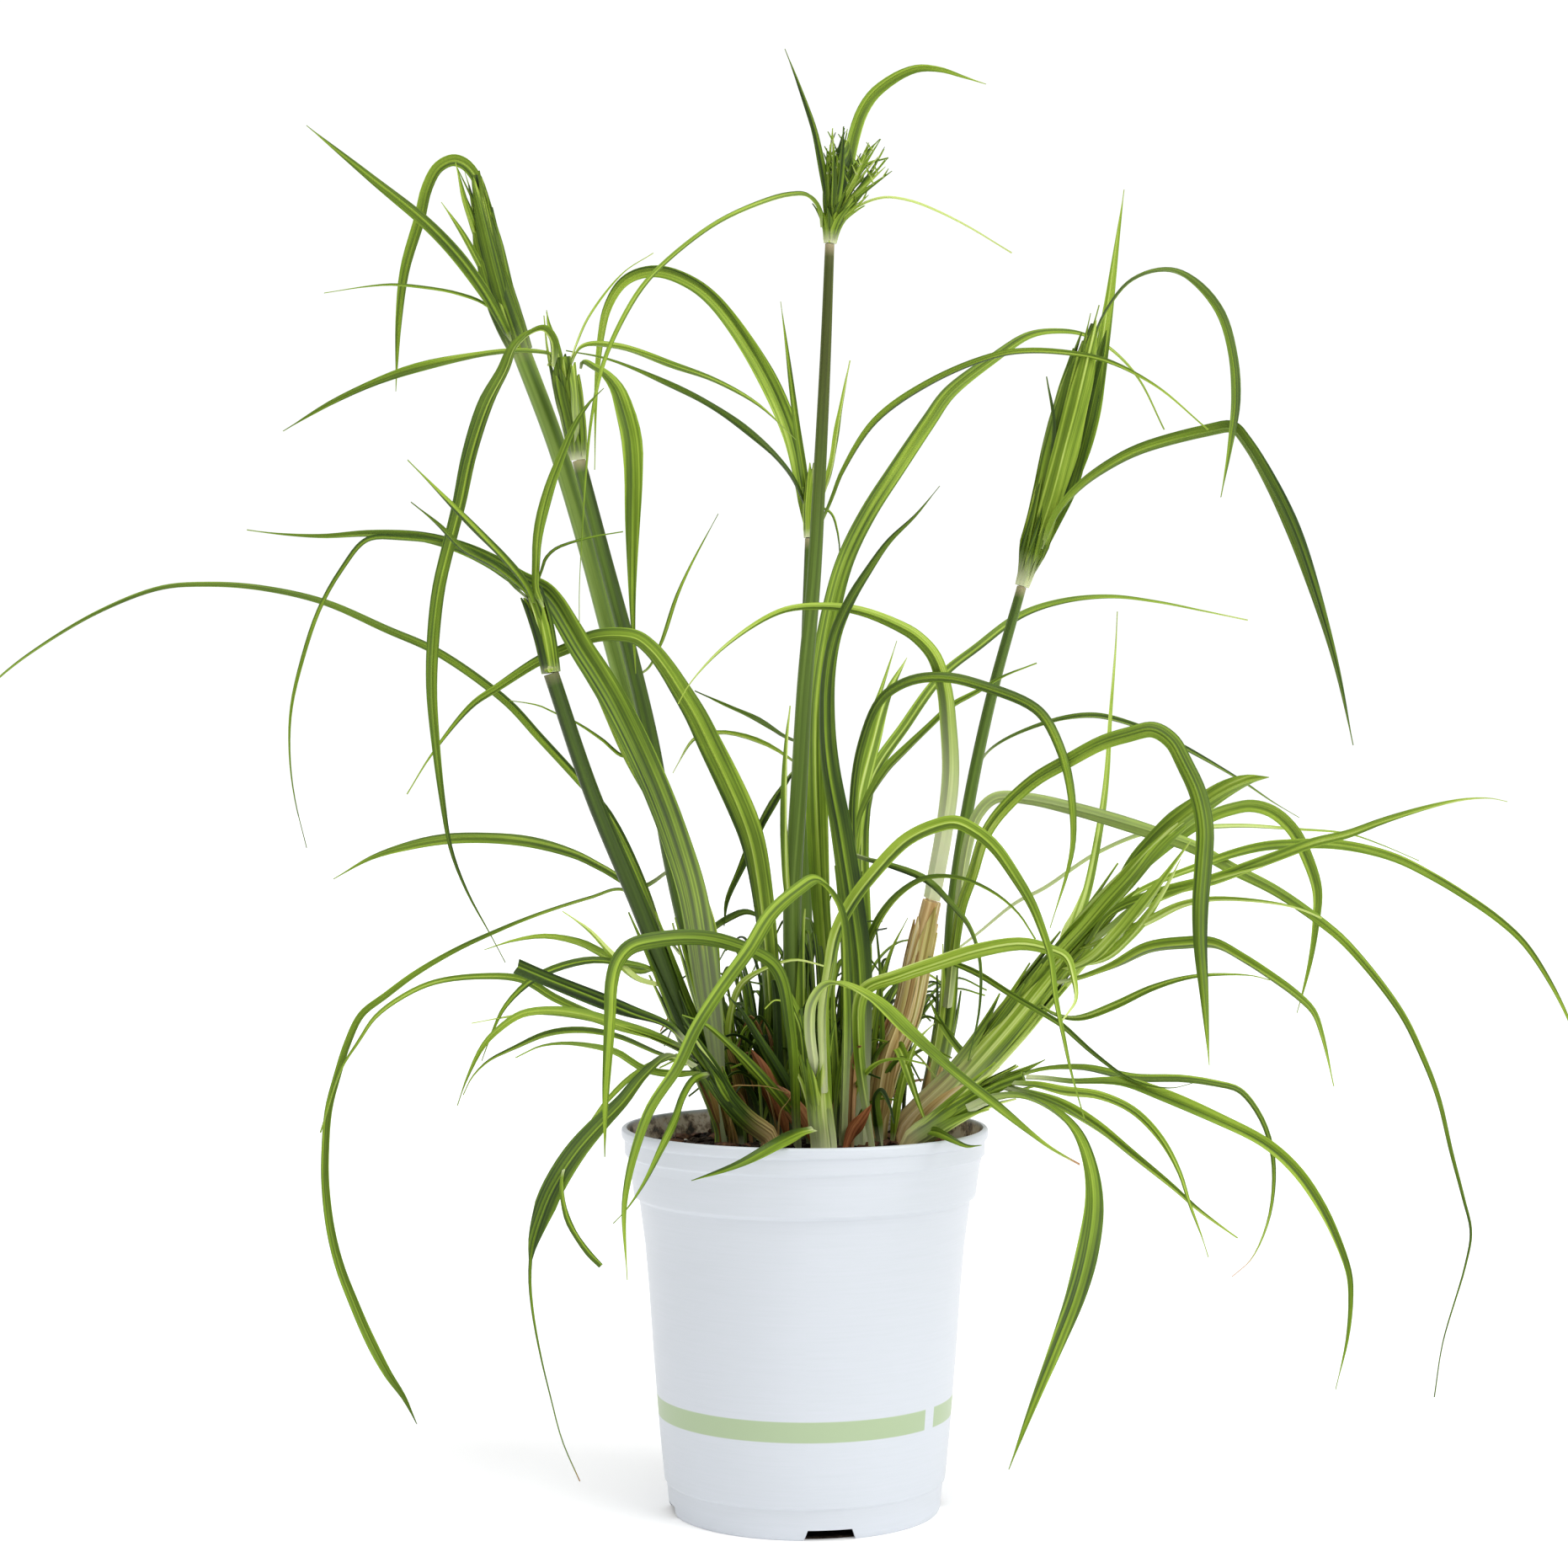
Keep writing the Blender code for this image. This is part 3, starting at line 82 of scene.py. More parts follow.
# The gaps between rings along a blade, a wrapped blade, a culm's skin and a stem's path.
RING_GAP = 0.0032
WRAPPED_RING_GAP = 0.0028
CULM_RING_GAP = 0.004
STEM_RING_GAP = 0.026
# How far a stem stands straight up out of the soil.
STEM_RISE = 0.004

# Radii and widths are in millimetres. A culm's looks are its tone and sheaths, and a shoot's are
# its core, as a share of its width, and the look of its blades.
Stem = namedtuple("Stem", "name colour radii depth route tone sheaths core look",
                  defaults=(0.5, (), 0.66, None))
# Leaf bases that sheathe a culm's foot, up to a share of its height: their number and width.
Sheath = namedtuple("Sheath", "high count width tone stops lean pale pale_root dry rust",
                    defaults=(0.0, 0.2, 0.0, 0.0))
# A blade's depths are those at its middle and end, after the one at its foot if it stands on the
# soil. Its looks, from its tone on, are the usual ones unless it has its own.
Blade = namedtuple(
    "Blade",
    "name on width depth route twist colour widest root_share slim cut tail hair "
    "tone fade pale_root paleness dry_tip dry rust",
    defaults=((0, 50, 45), "leaf_green", 0.25, 0.6, 1.7, False, 1.0, 1.0) + (None,) * 7,
)
# An umbel's ring is how pale its joint with the culm is. Its tips are those of its spiky rays,
# each with so many teeth.
Umbel = namedtuple("Umbel", "name on radii depth route look rays tips teeth ring",
                   defaults=((), 0, 1.0))

# Culms and shoots: radii in millimetres from foot to top, depth at foot, middle and top.
STEMS = (
    Stem("culm_center", "culm_olive", (3.6, 2.7, 1.6), (6, 0, -4), ((946, 1358), (942, 1180),
        (940, 1080), (946, 980), (951, 880), (959, 760), (965, 700), (971, 600), (976, 500),
        (981, 400), (985, 320), (985, 290)), tone=0.5,
        sheaths=(Sheath(0.28, 6, 6.2, 0.36, (0.4, 1.0), 0.002, pale=0.3, pale_root=0.5),
        Sheath(0.06, 4, 5.6, 0.3, (0.5, 1.0), 0.001, dry=0.9, rust=0.85))),
    Stem("culm_left_tall", "culm_green", (3.4, 3.2, 3.3), (14, 11, 11), ((878, 1358), (848, 1200),
        (830, 1110), (812, 1040), (785, 950), (762, 890), (748, 840), (737, 800), (725, 757),
        (710, 700), (694, 640), (681, 595), (664, 540), (650, 500), (634, 455), (619, 419)),
        tone=0.82, sheaths=(Sheath(0.42, 6, 6.4, 0.35, (0.5, 1.0), 0.0012, pale=0.2, pale_root=0.5),
        Sheath(0.16, 4, 6.0, 0.3, (0.5, 1.0), 0.0008, dry=0.8, rust=0.8))),
    Stem("culm_left_mid", "culm_green", (3.0, 2.9, 2.3), (6, 3, 2), ((895, 1358), (858, 1250),
        (822, 1130), (803, 1060), (788, 970), (776, 900), (765, 845), (755, 800), (743, 760),
        (728, 700), (711, 640), (698, 585), (687, 547)), tone=0.38,
        sheaths=(Sheath(0.36, 6, 5.6, 0.36, (0.5, 1.0), 0.0012, pale=0.2, pale_root=0.5),
        Sheath(0.14, 4, 5.4, 0.3, (0.5, 1.0), 0.0008, dry=0.8, rust=0.9))),
    Stem("culm_left_low", "culm_green", (4.4, 3.1, 2.6), (-6, -20, -28), ((868, 1358), (830, 1250),
        (805, 1189), (780, 1119), (748, 1055), (719, 990), (690, 905), (668, 840), (654, 800)),
        tone=0.2,
        sheaths=(Sheath(0.55, 7, 6.8, 0.26, (0.45, 1.0), 0.0014, pale=0.05, pale_root=0.4),
        Sheath(0.2, 4, 6.0, 0.3, (0.4, 1.0), 0.0006, dry=0.7, rust=0.8))),
    Stem("culm_back", "culm_green", (2.3, 2.2, 2.0), (36, 50, 58), ((958, 1358), (957, 1100),
        (956, 900), (958, 730), (962, 640)),
        sheaths=(Sheath(0.3, 5, 4.6, 0.46, (0.5, 1.0), 0.0015, pale=0.4, pale_root=0.5),)),
    Stem("culm_right", "culm_green", (2.7, 2.3, 1.7), (20, 28, 34), ((1098, 1358), (1120, 1240),
        (1128, 1120), (1141, 1000), (1160, 908), (1179, 819), (1195, 755), (1213, 697)), tone=0.4,
        sheaths=(Sheath(0.4, 6, 5.4, 0.54, (0.5, 1.0), 0.0015, pale=0.6, pale_root=0.6),
        Sheath(0.18, 4, 6.4, 0.4, (0.6, 1.0), 0.0012, dry=0.7, rust=0.3))),
    Stem("shoot_left", "leaf_dark", (3.2, 2.7, 2.2), (-27, -33, -38), ((914, 1358), (893, 1336),
        (862, 1303), (838, 1265), (818, 1240)), look=dict(count=12, width=5.4, tone=0.32,
        stops=(0.7, 1.25), lean=0.003, pale=0.4, pale_root=0.3, brown_root=0.35)),
    Stem("shoot_front", "shoot_pale", (4.2, 4.0, 3.4), (-30, -31, -32), ((977, 1358), (973, 1320),
        (970, 1285)), look=dict(count=12, width=6.4, tone=0.56, stops=(0.9, 1.9), lean=0.005,
        pale=0.85, pale_root=0.9)),
    Stem("shoot_middle", "leaf_green", (3.2, 2.8, 1.8), (4, 2, 0), ((1006, 1358), (1011, 1230),
        (1013, 1100), (1010, 1000)), look=dict(count=14, width=5.6, tone=0.48, stops=(0.45, 1.05),
        lean=0.003, pale=0.8, pale_root=0.45, brown_root=0.22)),
    Stem("shoot_right", "shoot_pale", (5.8, 6.2, 3.4), (-2, -8, -14), ((1078, 1352), (1130, 1292),
        (1180, 1238), (1235, 1170), (1280, 1115), (1310, 1080)), look=dict(count=26, width=8.2,
        tone=0.52, stops=(0.5, 1.2), lean=0.0044, pale=0.85, pale_root=0.5, fullness=2.4,
        brown_root=0.34)),
    Stem("shoot_right_low", "shoot_pale", (3.8, 3.4, 2.6), (-30, -36, -42), ((1082, 1358),
        (1125, 1325), (1175, 1295), (1215, 1278)), look=dict(count=14, width=6.4, tone=0.54,
        stops=(0.7, 1.2), lean=0.004, pale=0.8, pale_root=0.45, brown_root=0.3)),
    Stem("sheath_dry", "sheath_tan", (4.2, 4.4, 3.4), (4, 1, -3), ((1038, 1358), (1050, 1270),
        (1076, 1205), (1090, 1140), (1106, 1070)), core=0.95, look=dict(count=14, width=8.0,
        tone=0.6, stops=(0.86, 1.03), lean=0.0006, dry=0.95, rust=0.0, fullness=5.0,
        hug=(1.0, 0.85))),
)

# Bracts grow from the tops of the culms.
BRACTS = (
    Blade("bract_center_left", "umbel_center", 3.2, (-40, -70), ((982, 272), (973, 248), (960, 232),
        (939, 231), (901, 242), (850, 266), (790, 312), (760, 345), (730, 398), (714, 440),
        (702, 500), (696, 560), (692, 620), (688, 700), (688, 740)), widest=0.06, slim=0.8,
        tone=0.5),
    Blade("bract_center_tip", "umbel_center", 4.4, (20, 22), ((992, 270), (1002, 240), (1008, 190),
        (1014, 160), (1022, 135), (1034, 115), (1049, 101), (1072, 87), (1092, 81), (1118, 83),
        (1143, 91), (1171, 100)), widest=0.4, tone=0.5),
    Blade("bract_tall_straight", "umbel_left_tall", 4.4, (-25, -60), ((612, 405), (592, 376),
        (574, 345), (545, 305), (505, 263), (440, 210), (400, 178), (364, 149)), widest=0.35,
        slim=1.8, tone=0.44, fade=-0.1),
    Blade("bract_tall_fold", "umbel_left_tall", 4.6, (34, 45), ((612, 375), (602, 335), (592, 290),
        (579, 245), (566, 211), (552, 195), (538, 191), (521, 200), (508, 225), (500, 260),
        (482, 320), (474, 380), (470, 465)), twist=(0, 32, 4), widest=0.6, slim=1.4, tone=0.56),
    Blade("bract_mid_droop", "umbel_left_mid", 7.4, (-45, -70), ((662, 436), (656, 405), (645, 391),
        (629, 395), (612, 412), (601, 440), (580, 480), (560, 540), (547, 600), (534, 650),
        (522, 700), (515, 760), (513, 818), (517, 875), (526, 952), (536, 1009), (555, 1059),
        (582, 1109), (600, 1143)), twist=(0, 60, 50), widest=0.2, slim=0.9, tone=0.38, fade=-0.22),
    Blade("bract_mid_left", "umbel_left_mid", 3.6, (4, 20), ((664, 432), (655, 422), (630, 417),
        (600, 418), (560, 424), (480, 442), (400, 475), (336, 512)), twist=(0, 62, 78), widest=0.35,
        tone=0.52),
    Blade("bract_mid_hanging", "umbel_left_mid", 7.0, (-6, -6), ((680, 440), (692, 430), (703, 436),
        (717, 445), (731, 462), (740, 485), (749, 520), (752, 560), (752, 620), (751, 700),
        (752, 745), (755, 800)), twist=(0, 65, 60), widest=0.35, slim=1.0, tone=0.5),
    Blade("bract_back_arch", "umbel_back", 7.0, (98, 114), ((960, 622), (950, 575), (938, 515),
        (905, 440), (850, 360), (820, 336), (785, 323), (757, 326), (738, 338), (722, 365),
        (714, 400), (709, 450), (706, 558)), twist=(0, 55, 60), widest=0.3, slim=1.1, tone=0.54),
    Blade("bract_back_right", "umbel_back", 3.0, (36, 0), ((970, 622), (988, 592), (1001, 560),
        (1040, 500), (1107, 453), (1180, 423), (1222, 417), (1280, 421), (1318, 430), (1375, 460),
        (1435, 510)), widest=0.3, tone=0.44),
    Blade("bract_low_upright", "umbel_left_low", 3.4, (-42, -54), ((639, 725), (637, 700),
        (637, 670), (638, 645), (642, 618), (652, 580), (665, 545), (682, 505), (700, 478),
        (717, 461)), widest=0.4, tone=0.52),
    Blade("bract_right_spathe", "umbel_right", 6.6, (47, 54), ((1226, 670), (1248, 628),
        (1274, 566), (1290, 510), (1302, 450), (1314, 372), (1325, 296), (1335, 225)),
        twist=(0, 60, 60), widest=0.45, slim=1.1, tone=0.67),
    Blade("bract_right_arch", "umbel_right", 4.0, (20, -20), ((1284, 428), (1302, 394), (1320, 358),
        (1341, 334), (1368, 322), (1394, 322), (1421, 338), (1448, 372), (1463, 422), (1467, 476),
        (1461, 525), (1450, 590)), widest=0.5, tone=0.46),
    Blade("bract_right_long", "umbel_right", 5.0, (-4, -34), ((1232, 650), (1254, 612), (1280, 580),
        (1318, 552), (1356, 533), (1433, 512), (1463, 508), (1479, 525), (1509, 575), (1536, 632),
        (1559, 697), (1586, 789), (1607, 885)), twist=(0, 50, 55), widest=0.6, slim=1.3, tone=0.38,
        fade=-0.08),
)

# Leaves grow from the culms and shoots, or stand on the soil beside them.
LEAVES = (
    Blade("leaf_arch_behind", "soil", 7.4, (18, 46, 140), ((990, 1358), (986, 1200), (975, 1050),
        (969, 883), (972, 819), (988, 723), (1004, 666), (1030, 612), (1065, 557), (1103, 500),
        (1126, 468), (1180, 426), (1222, 399), (1257, 394), (1287, 398), (1318, 414), (1352, 449),
        (1383, 510)), twist=(0, 50, 40), slim=1.9, tone=0.56),
    Blade("leaf_center_broad", "soil", 8.4, (-14, -22, -48), ((1024, 1358), (1023, 1230),
        (1020, 1143), (1013, 1085), (998, 989), (984, 911), (980, 860), (982, 800), (992, 750),
        (1010, 710), (1030, 678), (1055, 643), (1087, 612), (1116, 577)), twist=(0, 60, 50),
        widest=0.3, slim=1.5, tone=0.24, pale_root=0.24),
    Blade("leaf_left_broad", "soil", 12.4, (-14, -20, -16), ((860, 1358), (836, 1180), (818, 1062),
        (800, 1000), (779, 942), (752, 880), (727, 830), (708, 798), (690, 770), (672, 739),
        (658, 716), (645, 702), (620, 690), (585, 668), (545, 650), (500, 638), (440, 634),
        (383, 637), (330, 634), (293, 629)), twist=(0, 75, 60), widest=0.22, slim=1.2, tone=0.34,
        pale_root=0.5, paleness=0.32),
    Blade("leaf_left_arch", "soil", 9.0, (18, -8, -20), ((922, 1358), (912, 1150), (902, 1055),
        (892, 1000), (880, 965), (860, 920), (843, 885), (826, 850), (808, 820), (790, 792),
        (774, 772), (756, 758), (732, 754), (703, 757), (675, 770), (640, 785), (592, 816),
        (560, 838), (510, 900), (483, 943)), twist=(0, 65, 50), widest=0.4, slim=1.0, tone=0.38),
    Blade("leaf_far_left", "culm_left_low", 3.6, (6, -16), ((800, 1165), (768, 1060), (724, 970),
        (687, 927), (640, 876), (600, 833), (520, 776), (459, 749), (383, 716), (306, 699),
        (245, 695), (191, 699), (115, 728), (38, 774), (0, 803), (-38, 840)), twist=(0, 55, 60),
        widest=0.5, tone=0.4),
    Blade("leaf_back_reach", "soil", 5.2, (22, 110, 212), ((1030, 1340), (1030, 1180), (1030, 940),
        (1077, 860), (1119, 803), (1160, 770), (1211, 732), (1260, 715), (1318, 709), (1375, 715),
        (1433, 726), (1482, 736)), twist=(0, 40, 40), tone=0.6),
    Blade("leaf_middle_arch", "shoot_middle", 3.6, (-26, -62), ((1014, 1060), (1013, 946),
        (1023, 883), (1046, 830), (1080, 808), (1125, 804), (1173, 816), (1221, 835), (1240, 851),
        (1259, 888), (1269, 923), (1274, 962), (1274, 1003), (1266, 1041), (1256, 1073),
        (1247, 1102)), widest=0.5),
    Blade("leaf_left_low_sweep", "culm_left_mid", 3.2, (8, -42), ((822, 1135), (741, 1057),
        (701, 1066), (637, 1087), (586, 1108), (541, 1129), (493, 1157), (458, 1183), (430, 1205),
        (414, 1237), (401, 1278), (391, 1317), (387, 1365), (387, 1406), (393, 1459), (404, 1504),
        (420, 1546), (439, 1590), (461, 1632), (480, 1660), (495, 1691)), twist=(0, 55, 60),
        widest=0.88, root_share=0.5, tone=0.36),
    Blade("leaf_cut_end", "shoot_left", 4.6, (-58, -84), ((814, 1226), (794, 1219), (749, 1202),
        (701, 1183), (653, 1164), (615, 1148)), twist=(0, 60, 60), colour="leaf_dark", widest=0.5,
        cut=True, tone=0.14),
    Blade("leaf_front_bend", "soil", 4.8, (-16, -74, -104), ((946, 1358), (938, 1220), (920, 1148),
        (869, 1122), (827, 1114), (780, 1117), (750, 1125), (735, 1142), (728, 1167), (726, 1205),
        (723, 1253), (720, 1301), (718, 1374)), twist=(0, 60, 100), colour="leaf_light", widest=0.6,
        slim=2.6, tone=0.52),
    Blade("leaf_front_left", "soil", 5.2, (-20, -84, -140), ((1000, 1358), (1004, 1180),
        (996, 1075), (971, 1046), (949, 1058), (917, 1087), (891, 1129), (859, 1173), (828, 1221),
        (805, 1269), (773, 1317), (755, 1365), (745, 1406), (741, 1441), (745, 1520)),
        twist=(0, 40, 50), colour="leaf_light", widest=0.5, tone=0.54, pale_root=0.22),
    Blade("leaf_left_hang", "shoot_left", 6.6, (-78, -102), ((830, 1258), (796, 1254), (765, 1278),
        (739, 1310), (710, 1339), (682, 1371), (656, 1412), (643, 1443), (632, 1479), (629, 1517),
        (632, 1555), (641, 1606), (654, 1660), (668, 1711), (689, 1759)), twist=(0, 60, 80),
        colour="leaf_dark", widest=0.35, slim=2.0, tail=0.53, tone=0.34, dry_tip=0.03),
    Blade("leaf_over_rim", "shoot_front", 4.0, (-74, -80), ((966, 1338), (948, 1346), (930, 1354),
        (905, 1367), (870, 1385), (821, 1402)), twist=(0, 50, 50), widest=0.45, tone=0.54),
    Blade("leaf_front_reach", "shoot_front", 4.8, (-112, -212), ((969, 1280), (962, 1221),
        (966, 1189), (987, 1167), (1035, 1186), (1083, 1230), (1130, 1272), (1178, 1310),
        (1241, 1359), (1282, 1382)), twist=(0, 30, 30), colour="leaf_light", widest=0.4, tone=0.54,
        pale_root=0.3, paleness=0.9, dry_tip=0.04),
    Blade("leaf_right_drop", "shoot_front", 4.4, (-70, -112), ((978, 1295), (977, 1205),
        (984, 1157), (993, 1109), (1012, 1071), (1044, 1030), (1076, 998), (1108, 982), (1134, 977),
        (1157, 987), (1180, 1006), (1205, 1041), (1224, 1073), (1237, 1105), (1247, 1137),
        (1253, 1185), (1263, 1233), (1272, 1274), (1288, 1328)), twist=(0, 50, 50), widest=0.4,
        pale_root=0.26),
    Blade("leaf_right_curl", "soil", 4.8, (-22, -46, -84), ((1037, 1358), (1020, 1240),
        (1026, 1178), (1067, 1160), (1114, 1144), (1162, 1129), (1212, 1121), (1244, 1127),
        (1266, 1137), (1275, 1163), (1277, 1188), (1262, 1212)), twist=(0, 62, 92),
        colour="leaf_light", widest=0.6, fade=0.1, pale_root=0.2),
    Blade("leaf_right_arch", "culm_right", 5.4, (-50, -94), ((1121, 1200), (1140, 1080),
        (1153, 1041), (1168, 993), (1189, 962), (1228, 926), (1266, 904), (1307, 882), (1339, 872),
        (1368, 866), (1390, 879), (1406, 907), (1422, 942), (1430, 984), (1428, 1029), (1425, 1073),
        (1425, 1121), (1430, 1185), (1436, 1265)), twist=(0, 50, 60), widest=0.7, slim=2.0,
        tone=0.6, fade=-0.24),
    Blade("leaf_right_sweep", "culm_right", 4.8, (-6, -14), ((1128, 1130), (1148, 1010),
        (1161, 968), (1182, 948), (1221, 949), (1272, 960), (1323, 974), (1374, 990), (1419, 1006),
        (1460, 1029), (1515, 1057), (1566, 1092), (1600, 1121), (1663, 1200), (1690, 1254),
        (1709, 1304), (1724, 1368), (1738, 1422), (1747, 1463), (1740, 1504), (1713, 1595),
        (1703, 1659)), twist=(0, 55, 60), widest=0.3, slim=0.9, tone=0.64, fade=-0.36,
        pale_root=0.5, paleness=0.6),
    Blade("leaf_far_right", "shoot_right", 3.2, (6, 22), ((1290, 1105), (1335, 1070), (1381, 1045),
        (1420, 1030), (1460, 1015), (1500, 1005), (1540, 1002), (1580, 1002), (1620, 1008),
        (1660, 1020), (1700, 1040), (1740, 1064), (1780, 1092), (1810, 1120), (1840, 1165),
        (1866, 1218), (1892, 1292)), twist=(0, 55, 60), widest=0.4, tone=0.62, paleness=0.1),
    Blade("leaf_right_level", "shoot_right", 3.8, (-42, -72), ((1283, 1112), (1320, 1084),
        (1380, 1060), (1440, 1045), (1480, 1030), (1520, 1015), (1560, 1000), (1600, 990),
        (1640, 975), (1700, 957), (1740, 949), (1770, 948), (1790, 952)), twist=(0, 55, 60),
        widest=0.3, tone=0.6, paleness=0.1),
    Blade("leaf_right_hook", "shoot_right", 4.8, (34, 66), ((1300, 1090), (1325, 1060),
        (1352, 1030), (1400, 990), (1435, 969), (1460, 960), (1485, 956), (1510, 963), (1535, 985),
        (1553, 1020), (1564, 1057), (1562, 1099), (1556, 1140), (1546, 1182), (1540, 1203)),
        twist=(0, 55, 60), widest=0.3, root_share=0.9, slim=2.4, tone=0.58, paleness=0.0),
    Blade("leaf_right_blunt", "shoot_right", 7.6, (-34, -70), ((1313, 1076), (1335, 1050),
        (1358, 1018), (1387, 987), (1419, 962), (1451, 940), (1483, 926), (1507, 923)),
        twist=(0, 10, -8), widest=0.3, slim=3.0, tone=0.6, paleness=0.0),
    Blade("leaf_right_tip", "shoot_right", 4.2, (-74, -116), ((1248, 1155), (1284, 1161),
        (1323, 1147), (1362, 1127), (1403, 1121), (1441, 1121), (1473, 1137), (1508, 1159),
        (1540, 1182), (1559, 1201), (1570, 1230), (1584, 1290)), twist=(0, 55, 105), widest=0.4,
        tone=0.56),
    Blade("leaf_low_broad", "shoot_right_low", 6.2, (-110, -148), ((1150, 1310), (1177, 1306),
        (1214, 1302), (1250, 1318), (1277, 1345), (1293, 1386), (1298, 1431), (1291, 1486),
        (1277, 1540), (1254, 1600), (1227, 1668), (1198, 1745)), twist=(0, 50, 60), widest=0.6,
        slim=1.3, tone=0.42, pale_root=0.16),
    Blade("leaf_low_long", "shoot_right_low", 4.4, (-60, -84), ((1218, 1277), (1240, 1281),
        (1272, 1285), (1332, 1286), (1377, 1300), (1445, 1329), (1504, 1359), (1540, 1391),
        (1568, 1431), (1588, 1472), (1602, 1513), (1604, 1545), (1600, 1590), (1586, 1650)),
        twist=(0, 50, 60), tone=0.54),
    Blade("leaf_pale_arch", "sheath_dry", 6.2, (-22, -44), ((1107, 1064), (1120, 985), (1128, 920),
        (1126, 860), (1122, 819), (1110, 780), (1090, 757), (1071, 745), (1023, 726), (975, 720),
        (927, 726), (864, 765), (819, 812), (805, 836)), twist=(0, 50, 40), colour="leaf_light",
        widest=0.2, root_share=1.0, slim=1.0, tone=0.66, pale_root=0.42, paleness=1.4),
)

